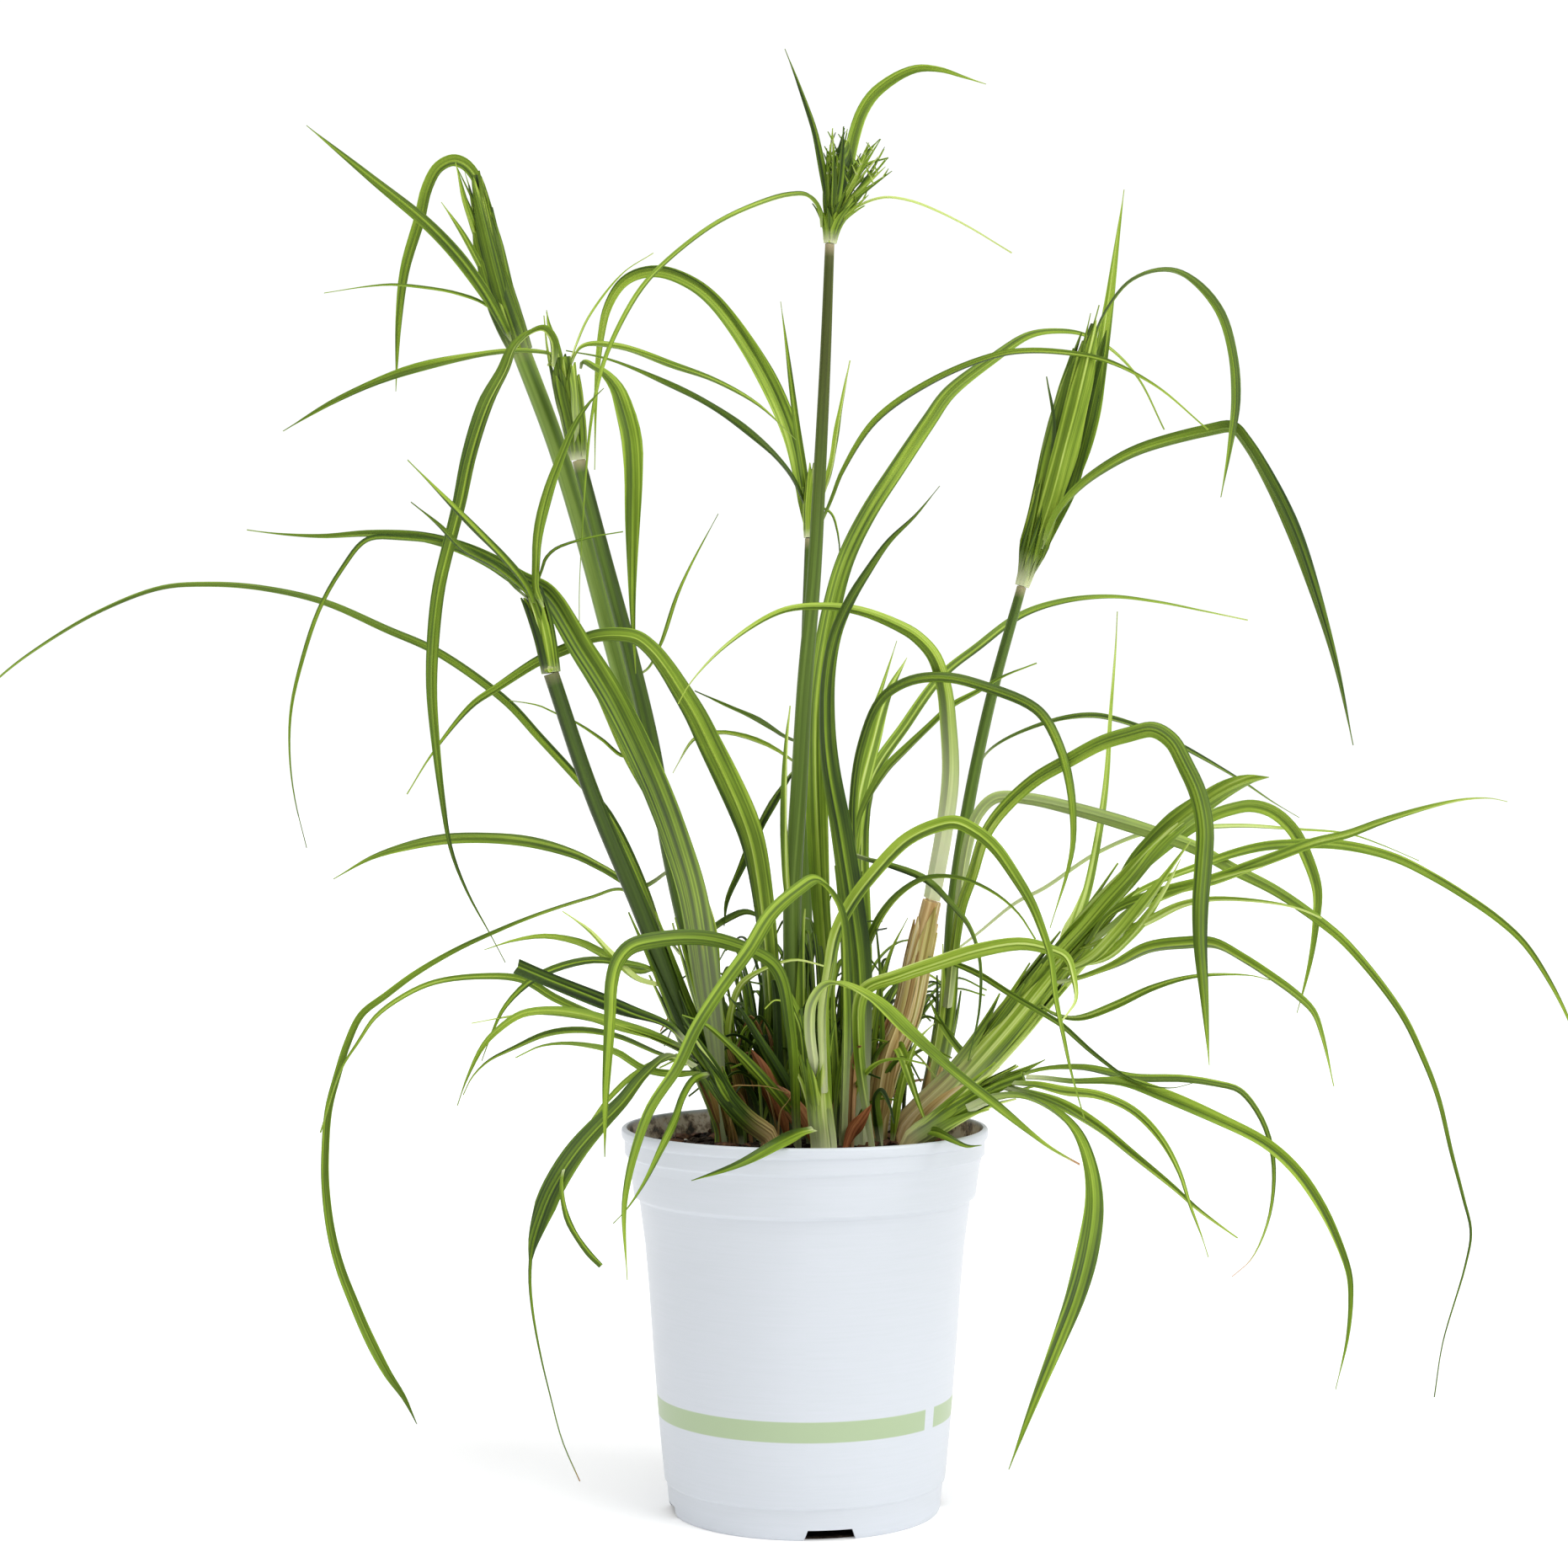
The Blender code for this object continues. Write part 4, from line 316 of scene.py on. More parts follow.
# The heart of each culm's umbel, a funnel of sheaths and young rays that stands on the culm.
# Its radii are in millimetres, one at each point of its route. Thin rays are fused to it.
UMBELS = (
    Umbel("umbel_center", "culm_center", (1.7, 2.6, 6.0, 5.0, 2.0), (-4, -4, -2), ((985, 286),
        (988, 262), (997, 222), (1001, 195), (1003, 168)), teeth=2, look=dict(count=12, width=4.2,
        tone=0.34, stops=(0.25, 0.6), lean=0.004, fullness=2.0), tips=((982, 176), (989, 152),
        (990, 175), (996, 186), (1003, 152), (1007, 168), (1012, 190), (1022, 182), (1032, 169),
        (1031, 208), (1046, 165), (1043, 186), (1055, 187)),
        rays=(
            Blade("ray_up_left", "", 2.6, (-10, -26), ((985, 275), (981, 225), (973, 180),
                (966, 150), (947, 96), (932, 58))),
            Blade("ray_thin_right", "", 2.4, (8, 26), ((988, 272), (1003, 258), (1013, 249),
                (1034, 238), (1054, 234), (1080, 238), (1105, 247), (1143, 265), (1202, 300)),
                tone=0.8, hair=0.45),
            Blade("ray_a", "", 3.0, (0, 4), ((990, 262), (1006, 226), (1030, 196), (1055, 187))),
            Blade("ray_b", "", 3.0, (6, 10), ((990, 262), (1006, 220), (1024, 188), (1045, 165))),
            Blade("ray_c", "", 3.0, (-10, -14), ((988, 262), (990, 215), (990, 175))),
            Blade("ray_d", "", 3.0, (-12, -18), ((988, 262), (998, 205), (1002, 150))))),
    Umbel("umbel_left_tall", "culm_left_tall", (3.4, 4.8, 4.6, 3.2, 1.2), (11, 10, 10), ((618, 416),
        (603, 380), (590, 342), (577, 280), (564, 208)), ring=0.25, look=dict(count=22, width=6.4,
        tone=0.42, stops=(0.62, 1.03), lean=0.0014, fullness=3.2), tips=((541, 193), (552, 205),
        (576, 226)),
        rays=(
            Blade("ray_left", "", 2.6, (2, -6), ((592, 352), (572, 318), (548, 275), (524, 240))),
            Blade("ray_up", "", 2.6, (4, 0), ((590, 340), (570, 290), (552, 240), (541, 193))),
            Blade("ray_right", "", 3.0, (16, 18), ((596, 345), (594, 300), (586, 262), (576, 226))))),
    Umbel("umbel_left_mid", "culm_left_mid", (2.3, 3.4, 4.2, 3.8), (2, 0, -2), ((686, 544),
        (682, 510), (674, 465), (668, 424)), look=dict(count=14, width=6.0, tone=0.48,
        stops=(0.8, 1.04), lean=0.0008, fullness=4.0), tips=((649, 370),),
        rays=(
            Blade("ray_spike", "", 2.4, (2, 4), ((668, 440), (660, 408), (652, 386), (649, 368))),
            Blade("ray_thin_arc", "", 2.6, (20, 40), ((674, 440), (685, 408), (700, 375),
                (740, 324), (776, 300)), tone=0.86, hair=0.35),
            Blade("ray_thin_right", "", 2.6, (30, 60), ((674, 440), (690, 412), (735, 412),
                (800, 434), (850, 452), (900, 480), (945, 522))))),
    Umbel("umbel_left_low", "culm_left_low", (2.6, 2.9, 3.1, 2.6), (-28, -28, -28), ((653, 797),
        (648, 765), (640, 732), (630, 703)), ring=0.35, look=dict(count=14, width=4.6, tone=0.32,
        stops=(0.7, 1.06), lean=0.001, fullness=3.2),
        rays=(
            Blade("ray_high", "", 3.0, (-60, -84), ((636, 722), (625, 697), (600, 665), (568, 632),
                (484, 546))),
            Blade("ray_low", "", 2.8, (-52, -74), ((634, 716), (620, 698), (587, 672), (549, 651),
                (522, 624), (488, 596))),
            Blade("ray_droop", "", 2.2, (-34, -14), ((634, 716), (612, 698), (587, 672), (536, 648),
                (478, 639), (436, 641), (406, 676), (380, 722), (360, 780), (346, 841), (344, 894),
                (350, 948), (364, 1007)), hair=0.8))),
    Umbel("umbel_right", "culm_right", (1.9, 3.6, 4.8, 4.0, 1.4), (34, 33, 34), ((1215, 688),
        (1236, 620), (1262, 510), (1281, 440), (1298, 385)), look=dict(count=22, width=9.0,
        tone=0.44, stops=(0.66, 0.98), lean=0.0012, fullness=3.4), tips=((1268, 468), (1300, 380)),
        rays=(
            Blade("ray_outer", "", 3.2, (28, 24), ((1240, 620), (1246, 560), (1251, 502),
                (1243, 447))),
            Blade("ray_inner", "", 3.4, (26, 27), ((1248, 600), (1268, 500), (1284, 425),
                (1295, 372))),
            Blade("ray_far", "", 3.0, (34, 34), ((1248, 600), (1274, 500), (1290, 420),
                (1305, 362))))),
    Umbel("umbel_back", "culm_back", (2.0, 3.0, 2.4, 1.2), (58, 59, 60), ((962, 635), (964, 605),
        (966, 575), (968, 550)), look=dict(count=12, width=3.8, tone=0.44, stops=(0.6, 1.1),
        lean=0.0014, fullness=2.8),
        rays=(
            Blade("ray_spike", "", 2.8, (66, 72), ((963, 620), (948, 520), (938, 440), (927, 358))),
            Blade("ray_right", "", 3.0, (56, 58), ((966, 618), (986, 560), (996, 500),
                (1009, 428))),
            Blade("ray_long", "", 3.4, (60, 70), ((962, 615), (938, 563), (890, 515), (840, 480),
                (780, 450), (720, 426), (672, 416))))),
)

# Thin leaves that are fused to the solid of the stem or blade that they grow from.
SLIM_LEAVES = (
    Blade("leaf_left_level", "culm_left_mid", 3.9, (30, 40), ((796, 1035), (760, 1052), (717, 1031),
        (685, 1015), (637, 1001), (589, 995), (529, 996), (478, 1006), (439, 1019), (396, 1044)),
        widest=0.6),
    Blade("leaf_low_middle", "shoot_right_low", 3.8, (-72, -120), ((1190, 1290), (1254, 1309),
        (1300, 1336), (1345, 1372), (1391, 1409), (1422, 1436), (1470, 1470)), tone=0.56),
    Blade("leaf_low_inner", "shoot_right_low", 2.8, (-80, -110), ((1195, 1287), (1230, 1288),
        (1263, 1295), (1304, 1300), (1345, 1318), (1377, 1350), (1400, 1391), (1413, 1431),
        (1427, 1468), (1435, 1493)), tone=0.68),
    Blade("leaf_low_hook", "shoot_right_low", 2.6, (-30, -40), ((1185, 1291), (1227, 1272),
        (1286, 1268), (1347, 1280), (1404, 1281), (1445, 1287), (1472, 1295), (1495, 1323),
        (1509, 1359), (1513, 1400), (1506, 1450), (1486, 1495), (1463, 1516)), tone=0.48,
        dry_tip=0.08),
    Blade("leaf_right_upright", "shoot_right", 3.0, (20, 40), ((1262, 1138), (1279, 1092),
        (1291, 1057), (1307, 971), (1314, 914), (1318, 850), (1325, 766), (1327, 726)), widest=0.2,
        tone=0.76, paleness=0.0),
    Blade("leaf_right_yellow", "shoot_right", 3.0, (-50, -84), ((1266, 1133), (1300, 1122),
        (1335, 1108), (1368, 1092), (1403, 1075), (1444, 1068), (1515, 1073), (1546, 1080),
        (1570, 1090)), tone=0.78, paleness=0.0),
    Blade("leaf_right_under", "shoot_right", 2.6, (-50, -80), ((1225, 1184), (1250, 1203),
        (1280, 1208), (1323, 1194), (1371, 1172), (1419, 1159), (1483, 1158), (1508, 1164)),
        tone=0.6),
    Blade("leaf_over_rim_right", "shoot_right_low", 3.0, (-50, -62), ((1098, 1343), (1112, 1344),
        (1130, 1352), (1150, 1361), (1165, 1360))),
    Blade("leaf_right_hair_low", "culm_right", 2.4, (56, 84), ((1128, 1135), (1161, 1108),
        (1205, 1073), (1240, 1055), (1300, 1015), (1360, 990), (1400, 985), (1440, 982),
        (1480, 981), (1540, 985), (1600, 990), (1640, 1003), (1685, 1022)), tone=0.62,
        pale_root=0.9, paleness=0.7),
    Blade("leaf_right_hair_high", "culm_right", 2.4, (60, 90), ((1158, 915), (1175, 890),
        (1228, 863), (1298, 850), (1355, 864), (1390, 879), (1471, 925), (1511, 952), (1543, 971))),
    Blade("leaf_right_dark", "sheath_dry", 2.2, (-36, -54), ((1092, 1135), (1127, 1142),
        (1160, 1155), (1200, 1180), (1250, 1210), (1262, 1218), (1300, 1252), (1345, 1283),
        (1390, 1292), (1420, 1285))),
    Blade("leaf_middle_high", "shoot_middle", 3.8, (-4, -6), ((1012, 1026), (1023, 966),
        (1052, 915), (1071, 895), (1103, 864), (1131, 838), (1160, 822), (1192, 803), (1231, 787))),
    Blade("leaf_middle_upright", "shoot_middle", 5.4, (26, 56), ((1012, 1046), (1018, 960),
        (1036, 883), (1052, 828), (1077, 781)), slim=2.8, tone=0.54),
    Blade("leaf_middle_low_arch", "shoot_middle", 2.8, (-22, -42), ((1012, 1190), (1025, 1140),
        (1045, 1090), (1070, 1060), (1100, 1043), (1140, 1043), (1180, 1060), (1210, 1085),
        (1230, 1115))),
    Blade("leaf_middle_vertical", "shoot_middle", 2.4, (-32, -50), ((1010, 1015), (1030, 1020),
        (1060, 1028), (1100, 1045), (1130, 1075), (1150, 1100), (1163, 1140), (1163, 1200),
        (1150, 1260))),
    Blade("leaf_center_upright", "culm_center", 3.4, (-8, -8), ((941, 1095), (934, 1040),
        (932, 960), (934, 883), (938, 838)), widest=0.5, tone=0.58),
    Blade("leaf_center_fold", "culm_center", 3.2, (8, 12), ((951, 903), (935, 925), (905, 975),
        (880, 1030), (863, 1070), (860, 1100)), slim=3.0),
    Blade("leaf_center_hair", "culm_center", 2.2, (10, 20), ((952, 888), (930, 874), (898, 854),
        (863, 838), (825, 820))),
    Blade("leaf_center_hook", "culm_center", 2.2, (14, 22), ((951, 905), (925, 892), (885, 875),
        (853, 870), (825, 877), (799, 918))),
    Blade("leaf_left_long_arc", "shoot_left", 2.8, (-26, -10), ((836, 1264), (785, 1237),
        (735, 1218), (694, 1202), (659, 1186), (621, 1164), (573, 1160), (516, 1167), (478, 1184),
        (446, 1208), (426, 1237), (404, 1272), (380, 1345))),
    Blade("leaf_left_dark_arc", "culm_left_low", 2.9, (-10, -14), ((788, 1140), (762, 1152),
        (740, 1145), (720, 1135), (690, 1120), (650, 1112), (610, 1117), (575, 1128))),
    Blade("leaf_left_yellow", "culm_left_low", 2.6, (-26, -34), ((798, 1172), (757, 1163),
        (725, 1132), (700, 1105), (668, 1082)), tone=0.78),
    Blade("leaf_left_inner_arc", "culm_left_low", 3.0, (-32, -40), ((797, 1165), (770, 1150),
        (730, 1143), (700, 1141), (660, 1150), (630, 1165), (600, 1195), (585, 1225), (572, 1260))),
    Blade("leaf_left_short", "shoot_left", 3.4, (-36, -54), ((828, 1252), (800, 1240), (776, 1230),
        (733, 1217), (700, 1206), (660, 1200), (620, 1204), (590, 1224), (573, 1243), (554, 1282),
        (543, 1313))),
    Blade("leaf_left_flat_arc", "shoot_left", 3.0, (-24, -14), ((838, 1266), (785, 1252),
        (735, 1232), (690, 1224), (650, 1228), (610, 1245), (580, 1260), (560, 1280), (550, 1300))),
    Blade("leaf_left_low_hair", "shoot_left", 2.2, (-42, -46), ((826, 1250), (790, 1256),
        (755, 1274), (726, 1301), (701, 1333), (682, 1361))),
    Blade("leaf_left_low_bend", "shoot_left", 3.0, (-84, -104), ((846, 1275), (826, 1281),
        (812, 1302), (802, 1330), (785, 1365), (765, 1405), (745, 1435), (728, 1453))),
    Blade("leaf_left_split_end", "leaf_left_hang", 1.8, (-84, -90), ((672, 1388), (667, 1405),
        (669, 1428), (675, 1450), (686, 1470), (700, 1489), (714, 1503)), widest=0.6, cut=True),
)

# Thin leaves, hairs and sheaths that are in the looks alone, on the stem or umbel named.
EXTRA_LEAVES = (
    Blade("leaf_left_thin", "shoot_left", 2.0, (-34, -40), ((824, 1248), (770, 1228), (700, 1210),
        (640, 1203), (600, 1208), (560, 1215))),
    Blade("leaf_left_under", "shoot_left", 2.4, (-50, -66), ((842, 1272), (800, 1275), (765, 1269),
        (733, 1250), (701, 1242), (669, 1239), (640, 1243), (612, 1256))),
    Blade("leaf_middle_spear", "shoot_middle", 3.0, (14, 30), ((1012, 1030), (1014, 946),
        (1023, 883), (1046, 819), (1065, 761))),
    Blade("leaf_left_folded", "culm_left_mid", 3.4, (14, 16), ((822, 1130), (840, 1110),
        (862, 1093), (885, 1083), (900, 1088), (915, 1105)), colour="leaf_dark"),
    Blade("leaf_inner_arc", "culm_left_mid", 2.6, (-4, -14), ((862, 1262), (866, 1215), (880, 1170),
        (910, 1150), (945, 1140), (980, 1147)), tone=0.74),
    Blade("leaf_low_grey_arc", "shoot_middle", 2.6, (-30, -44), ((1007, 1335), (1012, 1305),
        (1024, 1280), (1044, 1262), (1070, 1257), (1100, 1263)), tone=0.66),
    Blade("hair_across", "culm_left_tall", 1.2, (-10, -14), ((765, 905), (738, 897), (715, 878),
        (685, 858), (660, 847), (640, 838), (605, 832))),
    Blade("hair_low_umbel", "umbel_left_low", 1.4, (-40, -40), ((638, 704), (642, 680), (648, 664),
        (660, 652), (683, 643), (712, 636), (740, 631))),
    Blade("hair_tall_umbel", "umbel_left_tall", 1.4, (-14, -30), ((612, 400), (596, 380),
        (575, 361), (540, 348), (500, 341), (465, 338), (430, 341), (385, 348))),
    Blade("hair_upright", "culm_left_mid", 1.4, (10, 14), ((757, 805), (770, 793), (785, 765),
        (803, 710), (820, 672), (853, 610))),
    Blade("hair_back_umbel", "umbel_back", 1.2, (60, 62), ((966, 614), (975, 604), (987, 610),
        (995, 635), (998, 665))),
    Blade("leaf_right_inner_yellow", "shoot_right", 3.0, (8, 12), ((1150, 1262), (1130, 1235),
        (1112, 1205), (1102, 1183)), colour="leaf_light"),
    Blade("spathe_left", "umbel_right", 8.4, (28, 26), ((1218, 684), (1238, 600), (1254, 530),
        (1268, 470), (1282, 415)), twist=(80, 84, 84), widest=0.5, slim=2.6, tone=0.5),
    Blade("spathe_middle", "umbel_right", 8.6, (24, 24), ((1220, 684), (1246, 600), (1268, 520),
        (1286, 450), (1302, 380)), twist=(80, 84, 84), widest=0.5, slim=2.4, tone=0.62),
    Blade("spathe_back", "umbel_right", 7.6, (40, 42), ((1222, 680), (1258, 600), (1282, 520),
        (1298, 450), (1314, 392)), twist=(80, 84, 84), widest=0.5, slim=2.4, tone=0.44),
    Blade("spathe_outer", "umbel_right", 6.0, (36, 36), ((1216, 688), (1230, 620), (1242, 560),
        (1252, 510), (1262, 470)), twist=(80, 84, 84), widest=0.5, slim=2.2, tone=0.4),
    Blade("funnel_left", "umbel_left_mid", 6.0, (-2, -3), ((685, 546), (678, 505), (669, 465),
        (662, 428)), twist=(80, 86, 86), widest=0.6, slim=4.0, tone=0.5, pale_root=1.0,
        paleness=0.45),
    Blade("funnel_right", "umbel_left_mid", 6.0, (-3, -4), ((687, 546), (687, 505), (684, 465),
        (682, 430)), twist=(80, 86, 86), widest=0.6, slim=4.0, tone=0.62, pale_root=1.0,
        paleness=0.5),
    Blade("funnel_middle", "umbel_left_mid", 6.4, (5, 6), ((686, 546), (682, 505), (676, 465),
        (671, 420)), twist=(80, 86, 86), widest=0.6, slim=4.0, tone=0.4, pale_root=0.5),
    Blade("tall_sheath_left", "umbel_left_tall", 7.0, (5, 5), ((616, 416), (598, 376), (584, 336),
        (572, 292), (562, 250)), twist=(80, 84, 84), widest=0.4, slim=2.4, tone=0.36),
    Blade("tall_sheath_right", "umbel_left_tall", 7.0, (8, 8), ((618, 416), (606, 376), (596, 336),
        (586, 286), (574, 230)), twist=(80, 84, 84), widest=0.4, slim=2.4, tone=0.5),
    Blade("tall_sheath_middle", "umbel_left_tall", 6.0, (4, 4), ((617, 416), (602, 376), (589, 330),
        (574, 270), (560, 212)), twist=(80, 84, 84), widest=0.4, slim=2.0, tone=0.28),
    Blade("leaf_bright_strip", "culm_left_mid", 4.4, (-2, -6), ((858, 1240), (850, 1160),
        (842, 1100), (820, 1040), (790, 978), (745, 900), (705, 815), (665, 735)),
        twist=(0, 60, 60), widest=0.3, slim=1.3, tone=0.86),
    Blade("sheath_strip_beige", "culm_left_mid", 3.4, (-14, -16), ((856, 1240), (846, 1190),
        (838, 1150), (831, 1110), (826, 1078)), twist=(0, 70, 60), widest=0.4, slim=2.5, dry=0.9,
        rust=0.0),
    Blade("fan_wide", "shoot_right", 10.0, (-30, -42), ((1238, 1168), (1275, 1122), (1312, 1082),
        (1345, 1045), (1378, 1005), (1408, 980)), twist=(0, 14, 4), widest=0.35, slim=2.4,
        tone=0.68),
    Blade("fan_left", "shoot_right", 6.6, (-22, -40), ((1230, 1165), (1260, 1124), (1296, 1086),
        (1330, 1050), (1362, 1014), (1394, 984), (1430, 957)), twist=(0, 16, 6), widest=0.4,
        tone=0.74),
    Blade("fan_yellow", "shoot_right", 6.8, (-36, -48), ((1258, 1168), (1298, 1140), (1330, 1108),
        (1357, 1076), (1380, 1046), (1413, 999)), twist=(0, 14, 10), widest=0.4, slim=1.4,
        tone=0.78),
    Blade("fan_yellow_thin", "shoot_right", 3.6, (-34, -50), ((1266, 1164), (1310, 1138),
        (1342, 1112), (1368, 1080), (1388, 1048), (1402, 1020)), twist=(0, 14, 10), widest=0.4,
        slim=1.4, tone=0.7),
    Blade("fan_pale", "shoot_right", 4.2, (-24, -40), ((1250, 1160), (1290, 1126), (1322, 1100),
        (1350, 1080), (1400, 1059), (1450, 1042), (1500, 1029)), twist=(0, 30, 50), widest=0.4,
        tone=0.7, pale_root=0.5),
    Blade("fan_lime", "shoot_right", 4.6, (10, 22), ((1254, 1146), (1266, 1116), (1277, 1090),
        (1286, 1064), (1292, 1040)), twist=(0, 20, 20), widest=0.45, slim=1.2, tone=0.96),
    Blade("leaf_right_dropped", "sheath_dry", 4.0, (-20, -30), ((1052, 1262), (1066, 1243),
        (1080, 1275), (1092, 1312), (1104, 1345))),
)

# Small leaves, dead bits and fibres from the soil.
SOIL_LEAVES = (
    Blade("young_leaf_bright", "soil", 4.4, (-10, -16, -24), ((972, 1358), (962, 1270), (950, 1215),
        (935, 1178), (915, 1152), (904, 1134)), colour="leaf_light"),
    Blade("young_leaf_hook", "soil", 3.0, (-12, -20, -28), ((960, 1358), (954, 1260), (948, 1215),
        (935, 1192), (920, 1188), (908, 1198)), colour="leaf_light"),
    Blade("young_leaf_dark", "soil", 7.4, (24, 26, 30), ((930, 1340), (944, 1220), (958, 1140),
        (974, 1095), (990, 1056)), twist=(0, 80, 70), tone=0.1),
    Blade("young_leaf_pale_a", "soil", 3.6, (-26, -40, -52), ((982, 1358), (981, 1280), (980, 1220),
        (982, 1175), (990, 1130), (1000, 1098)), twist=(0, 60, 50), colour="leaf_light"),
    Blade("young_leaf_pale_b", "soil", 4.0, (-4, -8, -12), ((1000, 1356), (996, 1290), (992, 1230),
        (990, 1180), (994, 1130)), twist=(0, 60, 50), colour="leaf_light"),
    Blade("young_leaf_mid_a", "soil", 4.2, (2, 6, 8), ((900, 1356), (912, 1300), (925, 1240),
        (932, 1180), (934, 1120), (930, 1070)), twist=(0, 60, 50)),
    Blade("young_leaf_mid_b", "soil", 3.8, (8, 8, 4), ((905, 1352), (908, 1270), (915, 1200),
        (912, 1150), (905, 1105), (895, 1075)), twist=(0, 60, 50), colour="leaf_dark"),
    Blade("young_leaf_mid_c", "soil", 4.6, (-8, -20, -26), ((968, 1356), (940, 1300), (905, 1240),
        (880, 1200), (862, 1180)), twist=(0, 60, 60), colour="leaf_dark"),
    Blade("young_leaf_mid_d", "soil", 4.4, (-12, -26, -34), ((966, 1356), (930, 1310), (890, 1265),
        (860, 1235), (835, 1215), (810, 1205)), twist=(0, 60, 60)),
    Blade("young_leaf_right_a", "soil", 3.4, (4, 0, -6), ((1022, 1356), (1030, 1290), (1036, 1230),
        (1044, 1180), (1058, 1130), (1078, 1090)), twist=(0, 60, 60)),
    Blade("young_leaf_right_b", "soil", 3.0, (0, -6, -12), ((1030, 1356), (1040, 1300),
        (1046, 1250), (1046, 1190), (1044, 1140), (1040, 1090)), twist=(0, 60, 60)),
    Blade("young_leaf_right_c", "soil", 3.2, (-18, -24, -28), ((1046, 1358), (1042, 1330),
        (1040, 1305), (1046, 1296), (1056, 1312), (1062, 1334)), twist=(0, 40, 40),
        colour="leaf_dark"),
    Blade("young_leaf_right_d", "soil", 3.0, (-6, -14, -18), ((1060, 1356), (1066, 1310),
        (1076, 1270), (1090, 1235), (1110, 1215)), twist=(0, 60, 60), colour="leaf_light"),
    Blade("young_leaf_left_a", "soil", 4.0, (-14, -26, -34), ((880, 1356), (870, 1310), (850, 1270),
        (832, 1240), (812, 1218)), twist=(0, 60, 60), colour="leaf_dark"),
    Blade("sheath_bit_orange", "soil", 7.0, (-16, -19, -20), ((968, 1358), (950, 1330), (932, 1304),
        (914, 1286)), twist=(0, 70, 70), widest=0.4, slim=2.5, dry=0.95, rust=0.75),
    Blade("sheath_bit_brown", "soil", 6.4, (-8, -10, -10), ((936, 1352), (918, 1305), (906, 1272),
        (892, 1246)), twist=(0, 70, 70), widest=0.4, slim=2.5, dry=0.9, rust=0.9),
    Blade("sheath_bit_red", "soil", 4.4, (-24, -26, -28), ((1004, 1358), (1014, 1342), (1024, 1328),
        (1035, 1312)), twist=(0, 70, 70), widest=0.4, slim=2.0, dry=1.0, rust=0.85),
    Blade("sheath_bit_olive", "soil", 6.4, (-2, -2, -2), ((886, 1352), (884, 1300), (874, 1262),
        (862, 1230)), twist=(0, 70, 70), widest=0.4, slim=2.5, dry=0.55, rust=0.8),
    Blade("sheath_bit_pink", "soil", 5.4, (-2, -4, -5), ((996, 1356), (995, 1320), (998, 1290),
        (1004, 1262)), twist=(0, 70, 70), widest=0.4, slim=2.5, dry=0.75, rust=0.35),
    Blade("sheath_bit_tan", "soil", 9.0, (-4, -8, -8), ((1038, 1356), (1042, 1310), (1050, 1262),
        (1066, 1214)), twist=(0, 75, 75), widest=0.4, slim=2.5, dry=0.75, rust=0.25),
    Blade("sheath_bit_left", "soil", 5.6, (-12, -18, -22), ((872, 1354), (856, 1310), (846, 1280),
        (838, 1256)), twist=(0, 70, 70), widest=0.4, slim=2.5, dry=0.7, rust=0.7),
    Blade("sheath_bit_right", "soil", 6.0, (-14, -22, -28), ((1076, 1356), (1100, 1330),
        (1125, 1306), (1150, 1286)), twist=(0, 75, 75), widest=0.4, slim=2.5, dry=0.85, rust=0.15),
    Blade("fibre_across", "soil", 0.6, (-14, -24, -24), ((866, 1340), (868, 1292), (890, 1289),
        (915, 1291), (936, 1298)), dry=0.9, rust=0.1),
    Blade("fibre_down", "soil", 0.6, (-12, -20, -22), ((925, 1350), (912, 1298), (898, 1276),
        (884, 1250)), dry=0.9, rust=0.1),
    Blade("fibre_short", "soil", 0.7, (-20, -24, -26), ((924, 1352), (927, 1320), (935, 1309),
        (941, 1299)), dry=0.9, rust=0.1),
    Blade("fibre_left", "soil", 0.6, (-14, -22, -24), ((872, 1350), (864, 1306), (861, 1288),
        (857, 1266)), dry=0.9, rust=0.1),
)

# Each tuft of young leaves: across and behind the axis, their number, reach and height.
TUFTS = (
    (-20, 8, 9, 10, 54), (-14, 22, 12, 14, 62), (2, 14, 14, 14, 64), (12, 30, 12, 14, 66),
    (24, 14, 8, 10, 56), (-26, 24, 6, 14, 48), (28, 30, 7, 14, 54), (0, 38, 10, 16, 58),
    (-6, -4, 9, 12, 50), (20, -2, 7, 9, 44), (14, -14, 7, 10, 32), (-16, -8, 5, 6, 28),
    (-12, 40, 8, 20, 56), (18, 42, 8, 20, 52), (-8, 10, 12, 12, 60), (8, 4, 10, 12, 58),
    (-4, 2, 14, 12, 42), (-12, 2, 12, 8, 38), (14, 2, 12, 12, 40), (4, 22, 14, 12, 46),
    (-20, 16, 10, 9, 40), (22, 20, 8, 9, 36),
)

# Colours are sRGB, in stops from dark to light.
LEAF_GREENS = ((0.0, "#1E2E0B"), (0.2, "#374D13"), (0.42, "#58701A"), (0.62, "#799427"),
               (0.82, "#9DB53E"), (1.0, "#C6D67E"))
CULM_GREENS = ((0.0, "#26360E"), (0.35, "#43591B"), (0.65, "#5E7929"), (1.0, "#8AA44C"))
CULM_OLIVES = ((0.0, "#272D0F"), (0.35, "#434B1B"), (0.65, "#566127"), (1.0, "#849150"))
ROOT_PALE = "#DADFB4"
JUNCTION_BEIGE = "#CDBB98"
DRY_TANS = ((0.15, "#8A6338"), (0.4, "#BF9A62"), (0.65, "#DABD8A"), (0.9, "#EEDFBE"))
RUST_BROWNS = ((0.15, "#401A0B"), (0.4, "#7A3417"), (0.65, "#A4562E"), (0.9, "#C98D5F"))
POT_WHITES = ((0.25, "#CED3DA"), (0.5, "#D0D5DC"), (0.75, "#D2D6DE"))
BAND_GREEN = "#ACBF99"
